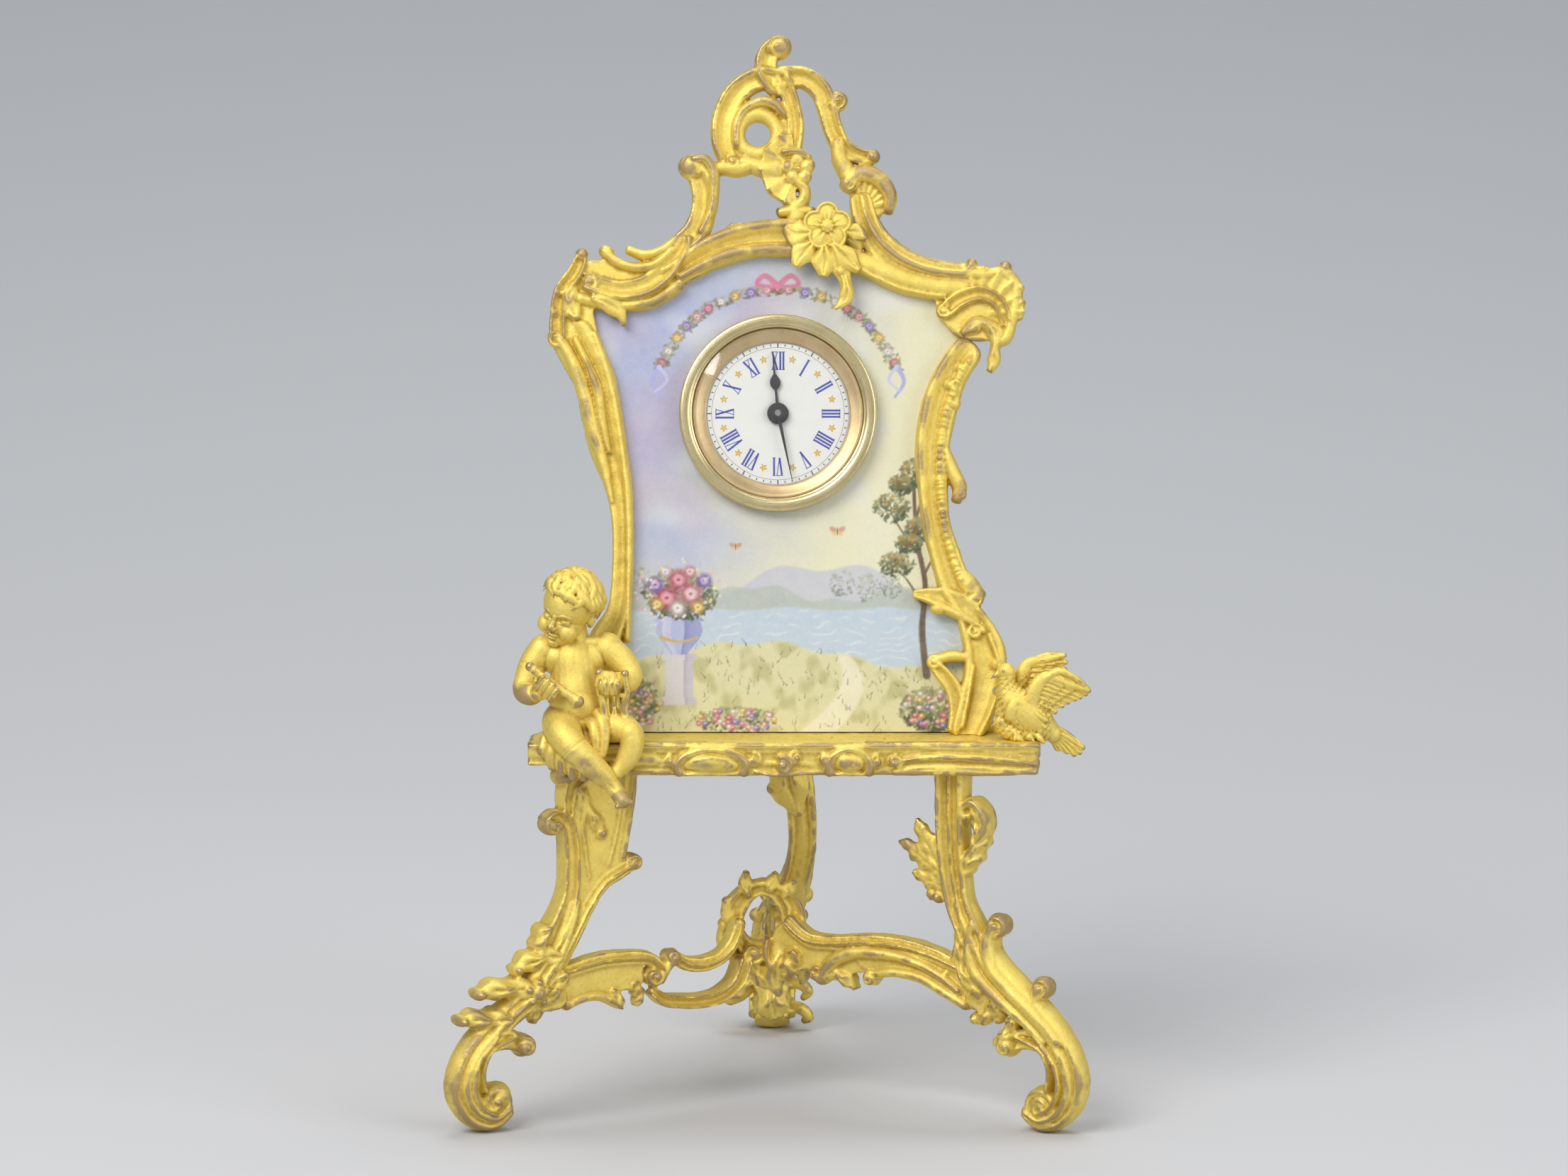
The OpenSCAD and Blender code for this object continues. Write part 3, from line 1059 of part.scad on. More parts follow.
module pillars() {
    turned(brass) translate([0, 0, train_rear + 0.01])
        for (a = pillar_dirs)
            rotate(a) translate([pillar_at, 0, 0])
                difference() {
                    rotate_extrude($fn = 32)
                        polygon([[0, 0], [1.2, 0], [1.2, 1.2], [0.95, 1.6], [0.95, train_h - 1.6], [1.2, train_h - 1.2],
                            [1.2, train_h - 0.02], [0, train_h - 0.02]]);
                    for (z = [-0.1, train_h - 2.5])
                        translate([0, 0, z]) cylinder(r = small_shank + screw_gap, h = 2.6, $fn = 24);
                }
}

// Gears

function mesh_phase(dir, phase, teeth, other) = dir + 180 - 360 * (0.5 - (dir - phase) * teeth / 360) / other;

module teeth(count, m, thick, phase) {
    r = count * m / 2;
    step = 360 / count;
    linear_extrude(thick) rotate(phase)
        polygon([
            for (i = [0 : count - 1], c = [[-0.28, r - 1.2 * m], [-0.11, r + 0.85 * m], [0.11, r + 0.85 * m], [0.28, r - 1.2 * m]])
                [c[1] * cos((i + c[0]) * step), c[1] * sin((i + c[0]) * step)]
        ]);
}

// A thin wheel with four crossings
module wheel(count, m, phase, hub) {
    rim = count * m / 2 - 1.2 * m - 0.45;
    difference() {
        teeth(count, m, wheel_thick, phase);
        for (a = [45 : 90 : 315])
            translate([0, 0, -1]) linear_extrude(3) intersection() {
                difference() {
                    circle(r = rim, $fn = 48);
                    circle(r = hub, $fn = 32);
                }
                rotate(a) translate([0.5, 0.5]) square(10);
            }
    }
}

barrel_phase = 0;
centre_pinion_phase = mesh_phase(barrel_dir + 180, barrel_phase, barrel_teeth, centre_pinion);
centre_phase = 0;
third_pinion_phase = mesh_phase(third_dir, centre_phase, centre_teeth, third_pinion);
third_phase = 0;
fourth_pinion_phase = mesh_phase(fourth_dir, third_phase, third_teeth, fourth_pinion);
fourth_phase = 0;
escape_pinion_phase = mesh_phase(escape_dir, fourth_phase, fourth_teeth, escape_pinion);
cannon_phase = 0;
minute_phase = mesh_phase(minute_dir, cannon_phase, cannon_teeth, minute_teeth);
minute_pinion_phase = 0;
hour_phase = mesh_phase(minute_dir + 180, minute_pinion_phase, minute_pinion, hour_teeth);

// An arbor running between the plates, with a thinner pivot at each end
module arbor(r) {
    translate([0, 0, train_rear + 0.1]) cylinder(r = r, h = train_h - 0.2, $fn = 24);
    translate([0, 0, plate_rear + 0.1]) cylinder(r = pivot_r, h = train_h + 2 * plate_thick - 0.2, $fn = 24);
}

module barrel() {
    turned(gold_pale) translate([barrel_at[0], barrel_at[1], barrel_rear])
        difference() {
            union() {
                teeth(barrel_teeth, tooth_m, 0.9, barrel_phase);
                cylinder(r = barrel_r - 0.45, h = barrel_h - 0.6, $fn = 64);
            }
            translate([0, 0, 0.6]) cylinder(r = barrel_r - 0.95, h = barrel_h, $fn = 64);
            translate([0, 0, -1]) cylinder(r = square_r + run_gap, h = 4, $fn = 32);
        }
}

module barrel_cover() {
    turned(gold_pale) translate([barrel_at[0], barrel_at[1], barrel_front - 0.58])
        difference() {
            cylinder(r = barrel_r - 0.45, h = 0.5, $fn = 64);
            translate([0, 0, -1]) cylinder(r = square_r + run_gap, h = 4, $fn = 32);
        }
}

// The spring lies against the barrel's wall in close turns
module mainspring() {
    outer = barrel_r - 1;
    pitch = 0.36;
    strip = 0.16;
    steps = 24 * spring_turns;
    inner = outer - pitch * spring_turns;
    hook = square_r + 0.05 + strip;
    line = concat(
        [for (i = [0 : steps]) outer - pitch * i / 24],
        [for (i = [1 : 24]) inner + (hook - inner) * i / 24]
    );
    turned(steel) translate([barrel_at[0], barrel_at[1], barrel_rear + 0.7])
        linear_extrude(barrel_h - 1.5) polygon(concat(
            [for (i = [0 : len(line) - 1]) polar(line[i], 15 * i)],
            [for (i = [len(line) - 1 : -1 : 0]) polar(line[i] - strip, 15 * i)]
        ));
}

module barrel_arbor() {
    turned(steel) translate([barrel_at[0], barrel_at[1], 0]) {
        translate([0, 0, plate_rear - 1.9]) cylinder(r = square_r, h = train_h + 2 * plate_thick + 1.7, $fn = 32);
        translate([-0.75, -0.75, case_rear - cover_thick - 4.9])
            cube([1.5, 1.5, plate_rear - 1.8 - case_rear + cover_thick + 4.9]);
    }
}

module ratchet_wheel() {
    step = 360 / ratchet_teeth;
    turned(steel) translate([barrel_at[0], barrel_at[1], plate_rear - 0.75])
        difference() {
            linear_extrude(0.6) polygon([for (i = [0 : ratchet_teeth - 1], c = [[0, ratchet_r], [0.12, ratchet_r - 0.5]])
                polar(c[1], (i + c[0]) * step)]);
            translate([0, 0, -1]) cylinder(r = square_r + 0.01, h = 3, $fn = 32);
        }
}

module winding_key() {
    turned(brass) translate([barrel_at[0], barrel_at[1], case_rear - cover_thick - 0.6])
        difference() {
            union() {
                translate([0, 0, -5.4]) cylinder(r = 1.5, h = 5.4, $fn = 32);
                for (s = [-1, 1])
                    translate([s * 3.1, 0, -7.6]) rotate([90, 0, 0]) cylinder(r = 2.7, h = 1, center = true, $fn = 48);
                translate([-2, -0.5, -8]) cube([4, 1, 3.4]);
            }
            translate([-0.76, -0.76, -4.4]) cube([1.52, 1.52, 6]);
            for (s = [-1, 1])
                translate([s * 3.3, 0, -7.6]) rotate([90, 0, 0]) cylinder(r = 1.3, h = 3, center = true, $fn = 32);
        }
}

// The click stands just clear of the ratchet's teeth, lifted as a tooth passes
click_dir = 100;
click_pivot = barrel_at + polar(ratchet_r + 1.8, click_dir);

module click_seat() {
    translate([click_pivot[0], click_pivot[1], 0]) children();
}

module click() {
    turned(steel) click_seat() translate([0, 0, plate_rear - 0.75])
        difference() {
            union() {
                cylinder(r = 1.1, h = 0.6, $fn = 32);
                linear_extrude(0.6) rotate(click_dir) polygon([[0.5, -0.9], [-1.9, -2.3], [-2.44, -1.98], [-1.05, 0.2]]);
            }
            translate([0, 0, -1]) cylinder(r = small_shank + run_gap, h = 3, $fn = 24);
        }
}

module click_spring() {
    turned(steel) click_seat() rotate(click_dir) {
        translate([0, 0, plate_rear - 0.65]) linear_extrude(0.5)
            polygon([[1.9, 1.4], [2.4, 1.4], [2.3, -0.8], [1, -2.4], [-1.7, -3.3], [-1.8, -3], [0.8, -2.1], [1.8, -0.7]]);
        translate([2.15, 1.6, plate_rear - 0.65]) cylinder(r = 0.5, h = 0.64, $fn = 24);
    }
}

module centre_wheel() {
    turned(gold_pale)
        difference() {
            union() {
                translate([0, 0, centre_level]) wheel(centre_teeth, tooth_m, centre_phase, 1.7);
                translate([0, 0, barrel_rear - 0.3]) teeth(centre_pinion, tooth_m, 1.7, centre_pinion_phase);
                translate([0, 0, plate_rear + 0.1]) cylinder(r = pipe_r, h = plate_front - plate_rear - 0.2, $fn = 32);
                translate([0, 0, centre_level - 0.6]) cylinder(r = 1.7, h = 0.7, $fn = 32);
            }
            translate([0, 0, plate_rear - 1]) cylinder(r = set_r + run_gap, h = 30, $fn = 32);
        }
}

module third_wheel() {
    turned(gold_pale) translate([third_at[0], third_at[1], 0]) {
        arbor(arbor_r);
        translate([0, 0, centre_level - 0.5]) teeth(third_pinion, tooth_m, 1.5, third_pinion_phase);
        translate([0, 0, third_level]) wheel(third_teeth, fourth_m, third_phase, 1.2);
    }
}

module fourth_wheel() {
    turned(gold_pale) translate([fourth_at[0], fourth_at[1], 0]) {
        arbor(arbor_r);
        translate([0, 0, third_level - 0.5]) teeth(fourth_pinion, fourth_m, 1.5, fourth_pinion_phase);
        translate([0, 0, fourth_level]) wheel(fourth_teeth, escape_m, fourth_phase, 1.2);
    }
}

module escape_wheel() {
    step = 360 / escape_teeth;
    turned(steel) translate([escape_at[0], escape_at[1], 0]) {
        arbor(0.3);
        translate([0, 0, fourth_level - 0.5]) teeth(escape_pinion, escape_m, 1.5, escape_pinion_phase);
        translate([0, 0, escape_level]) difference() {
            linear_extrude(0.4) polygon([
                for (i = [0 : escape_teeth - 1], c = [[-0.2, escape_r - 0.75], [-0.1, escape_r], [0.06, escape_r], [0.16, escape_r - 0.75]])
                    polar(c[1], (i + c[0]) * step)
            ]);
            for (a = [45 : 90 : 315]) rotate(a) translate([1.35, 0, -1]) cylinder(r = 0.55, h = 3, $fn = 24);
        }
    }
}

module pallet_fork() {
    arm = 3 * tan(30);
    turned(steel) translate([fork_at[0], fork_at[1], 0]) {
        arbor(0.3);
        translate([0, 0, escape_level]) rotate(fork_dir) {
            linear_extrude(0.4) scale(work) polygon([[-0.5, -0.5], [-0.3, -arm - 0.5], [0.5, -arm - 0.5], [0.5, -0.5],
                [2.9, -0.3], [3.2, -0.7], [3.5, -0.7], [3.2, -0.25], [3.2, 0.25], [3.5, 0.7], [3.2, 0.7], [2.9, 0.3],
                [0.5, 0.5], [0.5, arm + 0.5], [-0.3, arm + 0.5], [-0.5, 0.5]]);
        }
        translate([0, 0, escape_level - 0.1]) rotate(fork_dir)
            for (s = [-1, 1]) translate([-0.45, s * (arm * work + 0.15), 0.3]) cube([0.4, 0.5, 0.6], center = true);
    }
}

balance_level = plate_rear - 1.9;

module balance_wheel() {
    turned(gold_pale) translate([balance_at[0], balance_at[1], 0]) {
        translate([0, 0, balance_level]) rotate_extrude($fn = 64)
            polygon([[balance_r - 0.6, 0], [balance_r, 0], [balance_r, 0.7], [balance_r - 0.6, 0.7]]);
        translate([-balance_r + 0.4, -0.4, balance_level + 0.1]) cube([2 * balance_r - 0.8, 0.8, 0.35]);
        translate([0, 0, balance_rear + 1.25]) cylinder(r = 0.45, h = train_front - 0.1 - balance_rear - 1.25, $fn = 24);
        translate([0, 0, balance_rear + 0.35]) cylinder(r = 0.2, h = train_front + 0.7 - balance_rear, $fn = 24);
        translate([0, 0, balance_level - 1.1]) cylinder(r = 0.58, h = 0.5, $fn = 24);
    }
}

// Flat spiral between the balance's staff and its stud
module hairspring() {
    turns = 6;
    pitch = 0.32;
    strip = 0.07;
    turned(steel) translate([balance_at[0], balance_at[1], balance_level - 1])
        linear_extrude(0.3) polygon(concat(
            [for (i = [0 : turns * 24]) polar(0.6 + pitch * i / 24, 15 * i + 180)],
            [for (i = [turns * 24 : -1 : 0]) polar(0.6 + strip + pitch * i / 24, 15 * i + 180)]
        ));
}

cock_dir = 300;
cock_turn = 180;
cock_long = balance_r + 2.1;
cock_foot_at = balance_at + polar(cock_long, cock_turn);

module cock_seat() {
    translate([cock_foot_at[0], cock_foot_at[1], 0]) children();
}

module balance_cock() {
    thick = 0.9;
    turned(brass)
        difference() {
            union() {
                translate([0, 0, balance_rear + 0.2]) linear_extrude(thick) {
                    translate(balance_at) circle(r = 1.5, $fn = 32);
                    translate(cock_foot_at) circle(r = 1.6, $fn = 32);
                    translate(balance_at) rotate(cock_turn) translate([0, -1.3]) square([cock_long, 2.6]);
                }
                cock_seat() translate([0, 0, balance_rear + 0.3]) cylinder(r = 1.4, h = balance_h - 0.32, $fn = 32);
                translate([balance_at[0], balance_at[1], balance_rear - 0.35]) {
                    translate([0, 0, 0.1]) cylinder(r = 0.42, h = 0.5, $fn = 24);
                    cylinder(r = 0.8, h = 0.15, $fn = 24);
                }
                translate([balance_at[0] - 2.95, balance_at[1], balance_rear + 0.4])
                    cylinder(r = 0.25, h = balance_level - balance_rear - 1.2, $fn = 16);
            }
            translate([balance_at[0], balance_at[1], balance_rear + 0.3]) cylinder(r = 0.2 + run_gap, h = 5, $fn = 24);
            cock_seat() translate([0, 0, balance_rear - 1]) cylinder(r = small_shank + screw_gap, h = 10, $fn = 24);
        }
}

module regulator() {
    turned(steel) translate([balance_at[0], balance_at[1], balance_rear - 0.15])
        difference() {
            linear_extrude(0.25) union() {
                circle(r = 1.2, $fn = 32);
                rotate(cock_dir) polygon([[0, -0.35], [4, -0.12], [4.4, 0], [4, 0.12], [0, 0.35]]);
            }
            translate([0, 0, -1]) cylinder(r = 0.42 + run_gap, h = 3, $fn = 24);
        }
    turned(steel) translate([balance_at[0], balance_at[1], balance_rear - 0.15])
        rotate_extrude($fn = 32) polygon([[0.5, 0], [0.8, 0], [0.8, 0.33], [0.5, 0.33]]);
}

// Motion work

module centre_arbor() {
    low = case_rear - cover_thick - 3.3;
    turned(steel) translate([0, 0, low])
        cylinder(r = set_r, h = minute_level + 0.8 - low, $fn = 32);
}

module set_knob() {
    turned(brass) translate([0, 0, case_rear - cover_thick - 4])
        difference() {
            union() {
                cylinder(r = knob_r, h = 1.6, $fn = 48);
                cylinder(r = 1.6, h = 3.4, $fn = 32);
                for (a = [0 : 20 : 340]) rotate(a) translate([knob_r, 0, 0]) cylinder(r = 0.25, h = 1.6, $fn = 16);
            }
            translate([0, 0, 0.6]) cylinder(r = set_r + 0.02, h = 5, $fn = 32);
        }
}

module cannon_pinion() {
    low = plate_front + 0.15;
    turned(steel) translate([0, 0, low])
        difference() {
            union() {
                teeth(cannon_teeth, motion_m, 0.9, cannon_phase);
                cylinder(r = 0.92, h = minute_level - low - 0.02, $fn = 32);
            }
            translate([0, 0, -1]) cylinder(r = set_r + 0.02, h = 10, $fn = 32);
        }
}

module minute_wheel() {
    low = plate_front + 0.35;
    turned(gold_pale) translate([minute_at[0], minute_at[1], low])
        difference() {
            union() {
                teeth(minute_teeth, motion_m, 0.4, minute_phase);
                teeth(minute_pinion, minute_m, 1.6, minute_pinion_phase);
            }
            translate([0, 0, -1]) cylinder(r = pivot_r + run_gap, h = 5, $fn = 24);
        }
}

module hour_wheel() {
    low = plate_front + 1.35;
    turned(gold_pale) translate([0, 0, low])
        difference() {
            union() {
                teeth(hour_teeth, minute_m, 0.4, hour_phase);
                cylinder(r = 1.3 - 0.01, h = hour_level + hand_thick - low, $fn = 32);
            }
            translate([0, 0, -1]) cylinder(r = 0.92 + run_gap, h = 10, $fn = 32);
        }
}

// Fasteners

// A slotted screw with its head's face at the origin and its shank along +Z
module screw(shank, head, head_h, long) {
    difference() {
        union() {
            cylinder(r = head, h = head_h, $fn = 24);
            cylinder(r = shank, h = head_h + long, $fn = 24);
        }
        translate([-head * 2, -0.15, -0.1]) cube([head * 4, 0.3, 0.35]);
    }
}

module leg_screws() {
    color(steel) placed()
        for (s = [[left_dir, left_lug], [right_dir, right_lug], [rear_dir, rear_lug]])
            rotate(s[0]) translate([s[1], 0, shelf_under - lug_thick * stand_stretch - seat_gap - 1])
                screw(large_shank, large_head, 1, lug_thick + 1.2);
}

module frame_screws() {
    color(steel) placed()
        for (at = foot_tabs)
            translate([at[0], at[1], shelf_top + seat_gap + tab_thick + seat_gap + 0.8]) mirror([0, 0, 1])
                screw(small_shank, small_head, 0.8, tab_thick + 1.8);
}

module panel_screws() {
    color(steel) placed() on_panel()
        for (at = frame_screw_at)
            translate([at[0], at[1], back_rear - seat_gap - 0.7])
                screw(small_shank, small_head, 0.7, back_thick + 2.2);
}

// Long screws through the stiles into the figures
module figure_screws() {
    color(steel) placed() on_panel()
        for (at = figure_screw_at)
            translate([at[0], at[1], back_rear - seat_gap - 0.7])
                screw(small_shank, small_head, 0.7, figure_screw_end - back_rear + seat_gap);
}

module crest_screws() {
    color(steel) placed() on_panel()
        for (at = crest_tab)
            translate([at[0], at[1], frame_back - 2 * seat_gap - 1 - 0.7]) screw(small_shank, small_head, 0.7, 3);
}

// Short screws through the drum's flange into the plate behind the panel
module drum_screws() {
    turned(steel)
        for (a = drum_screw_dirs)
            rotate(a) translate([drum_r + 1.25, 0, back_rear - 0.85 - seat_gap - 0.5])
                screw(tiny_shank, 0.85, 0.5, 0.85 + 2 * seat_gap + back_thick);
}

module plate_screws() {
    turned(steel)
        for (a = pillar_dirs)
            rotate(a) translate([pillar_at, 0, 0]) {
                translate([0, 0, plate_rear - 0.75]) screw(small_shank, small_head, 0.7, plate_thick + 2);
                translate([0, 0, plate_front + 0.75]) mirror([0, 0, 1])
                    screw(small_shank, small_head, 0.7, plate_thick + 2);
            }
}

module cock_screw() {
    turned(steel) cock_seat() translate([0, 0, balance_rear - 0.35])
        screw(small_shank, 0.95, 0.5, balance_h + 0.9);
}

module click_screw() {
    turned(steel) click_seat() translate([0, 0, plate_rear - 1.35])
        screw(small_shank, small_head, 0.5, 1.7);
}

left_leg();
right_leg();
rear_leg();
stretcher();
shelf();
panel_frame();
crest();
flower_spray();
cherub();
dove();
enamel_panel();
back_plate();
bezel();
glass();
sight_ring();
dial();
hour_hand();
minute_hand();
hand_collet();
drum();
drum_back();
front_plate();
rear_plate();
pillars();
barrel();
barrel_cover();
mainspring();
barrel_arbor();
ratchet_wheel();
winding_key();
click();
click_spring();
centre_wheel();
third_wheel();
fourth_wheel();
escape_wheel();
pallet_fork();
balance_wheel();
hairspring();
balance_cock();
regulator();
centre_arbor();
cannon_pinion();
minute_wheel();
hour_wheel();
set_knob();
leg_screws();
frame_screws();
panel_screws();
figure_screws();
crest_screws();
drum_screws();
plate_screws();
cock_screw();
click_screw();
stretcher_pins();
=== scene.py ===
"""Looks of the boudoir clock: gilt rocaille castings, a painted enamel panel and a small movement.

Shapes are written in millimetres in the frames of the CAD model and turned into metres when a piece
is made.
"""

import json
import math

import bmesh
import bpy
import numpy as np
from mathutils import Matrix, Vector
from mathutils.geometry import tessellate_polygon


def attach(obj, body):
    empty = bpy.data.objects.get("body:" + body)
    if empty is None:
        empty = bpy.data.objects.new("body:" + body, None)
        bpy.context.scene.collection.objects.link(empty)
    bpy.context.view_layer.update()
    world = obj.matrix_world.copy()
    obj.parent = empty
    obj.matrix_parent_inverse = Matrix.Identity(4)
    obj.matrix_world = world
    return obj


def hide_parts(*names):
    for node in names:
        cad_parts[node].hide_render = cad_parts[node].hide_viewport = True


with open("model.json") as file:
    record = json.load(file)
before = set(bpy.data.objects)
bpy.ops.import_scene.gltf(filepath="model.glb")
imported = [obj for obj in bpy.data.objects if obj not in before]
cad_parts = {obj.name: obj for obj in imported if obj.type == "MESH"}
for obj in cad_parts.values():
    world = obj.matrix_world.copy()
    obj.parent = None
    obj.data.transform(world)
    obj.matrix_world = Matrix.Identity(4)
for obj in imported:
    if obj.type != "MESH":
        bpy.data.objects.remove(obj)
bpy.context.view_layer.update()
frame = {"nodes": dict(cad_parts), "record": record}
scene = bpy.context.scene

# Frames of reference

MM = 0.001
TINY = 1e-9
# Shapes are measured from the centre of the three legs, which lies here in the model's frame
SHIFT = np.array([0.0, -16.5, 0.0])
LEAN = math.radians(12)
PANEL_Y, PANEL_Z = -15.0, 74.0
SHELF_TOP = 75.8
DIAL_AT = (2.3, 64.7)


def basis(origin, x_axis, y_axis):
    """A frame of reference: its origin and its three axes in rows."""
    x, y = np.array(x_axis, float), np.array(y_axis, float)
    return np.array(origin, float) + SHIFT, np.stack([x, y, np.cross(x, y)])


WORLD = basis((0, 0, 0), (1, 0, 0), (0, 1, 0))
PANEL = basis((0, PANEL_Y, PANEL_Z), (1, 0, 0), (0, math.sin(LEAN), math.cos(LEAN)))
DIAL = (PANEL[0] + np.array([DIAL_AT[0], DIAL_AT[1], 0.0]) @ PANEL[1], PANEL[1])


def leg_plane(degrees, aside=0.0, thin=1.0):
    """The upright plane of a leg: out from the centre, up, and across, which can be thinned."""
    a = math.radians(degrees)
    out = (math.cos(a), math.sin(a), 0)
    origin, axes = basis((aside * math.sin(a), -aside * math.cos(a), 0), out, (0, 0, 1))
    return origin, axes * np.array([[1], [1], [thin]])


def front_plane(y):
    """The plane seen from the front, at a depth: right, up, and towards the viewer."""
    return basis((0, y, 0), (1, 0, 0), (0, 0, 1))


# Curves and cross-sections

def smooth(points, step, closed=False, columns=2):
    """A smooth line through the points, every column carried along; the first ones give its length."""
    p = np.array(points, float)
    n = len(p)
    rows = []
    for i in range(n if closed else n - 1):
        if closed:
            a, b, c, d = (p[(i + k) % n] for k in (-1, 0, 1, 2))
        else:
            a, b, c, d = p[max(i - 1, 0)], p[i], p[i + 1], p[min(i + 2, n - 1)]
        count = max(2, int(np.linalg.norm((c - b)[:columns]) / step))
        t = (np.arange(count) / count)[:, None]
        cubic, square = 3 * b - a - 3 * c + d, 2 * a - 5 * b + 4 * c - d
        rows.append((cubic * t**3 + square * t**2 + (c - a) * t + 2 * b) / 2)
    if not closed:
        rows.append(p[-1:])
    return np.concatenate(rows)


def unit(rows):
    return rows / (np.linalg.norm(rows, axis=1)[:, None] + TINY)


def beside(way):
    return np.stack([-way[:, 1], way[:, 0]], 1)


def distance_along(line):
    return np.cumsum(np.r_[0, np.linalg.norm(np.diff(line[:, :2], axis=0), axis=1)])


def levelled(points, level):
    """Points of a bar or a leaf, with the shared height added where they have none of their own."""
    return [[*p, level] if len(p) == 4 else p for p in points]


def section(pairs, count=25):
    """A cross-section from pairs of place across, -1 to 1, and height, 0 to 1."""
    across = np.linspace(-1, 1, count)
    given = np.array(pairs, float)
    return across, np.interp(across, given[:, 0], given[:, 1])


ACROSS = np.linspace(-1, 1, 15)
ROLL = (ACROSS, np.sqrt(np.clip(1 - ACROSS**2, 0, 1)) ** 0.9)
RIDGE = section([(-1, 0), (-0.94, 0.5), (-0.78, 0.66), (-0.6, 0.6), (-0.42, 0.42), (-0.26, 0.7),
                 (-0.12, 0.95), (0, 1), (0.12, 0.95), (0.26, 0.7), (0.42, 0.42), (0.6, 0.6), (0.78, 0.66),
                 (0.94, 0.5), (1, 0)])
CHANNEL = section([(-1, 0), (-0.95, 0.72), (-0.8, 0.97), (-0.64, 0.92), (-0.5, 0.62), (-0.3, 0.46),
                   (0, 0.42), (0.3, 0.46), (0.5, 0.62), (0.64, 0.92), (0.8, 0.97), (0.95, 0.72), (1, 0)])
BROAD = section([(-1, 0), (-0.95, 0.5), (-0.82, 0.76), (-0.66, 0.74), (-0.44, 0.5), (-0.2, 0.56),
                 (0, 0.88), (0.16, 0.97), (0.32, 0.82), (0.52, 0.5), (0.7, 0.52), (0.84, 0.6),
                 (0.95, 0.42), (1, 0)], 33)
SCROLL = section([(-1, 0), (-0.95, 0.55), (-0.82, 0.88), (-0.64, 0.96), (-0.46, 0.8), (-0.22, 0.5),
                  (0.1, 0.4), (0.42, 0.46), (0.68, 0.6), (0.86, 0.6), (0.95, 0.38), (1, 0)], 33)
# The same moulding turned over, with its deep side to the other edge
SCROLL_B = (SCROLL[0], SCROLL[1][::-1])
LIMB = section([(-1, 0), (-0.985, 0.16), (-0.94, 0.34), (-0.85, 0.55), (-0.72, 0.7), (-0.58, 0.76),
                (-0.44, 0.62), (-0.3, 0.66), (-0.14, 0.93), (0, 1), (0.14, 0.93), (0.3, 0.66),
                (0.44, 0.62), (0.58, 0.76), (0.72, 0.7), (0.85, 0.55), (0.94, 0.34), (0.985, 0.16),
                (1, 0)], 41)


# How a bar's end is rounded off, and how deep the flat back of a leaf or a shell lies
BAR_END, BAR_END_REACH = np.radians([75, 50, 25]), 0.7
LIMB_END = np.radians([80, 60, 40, 20])
FLAT_BACK = 0.8


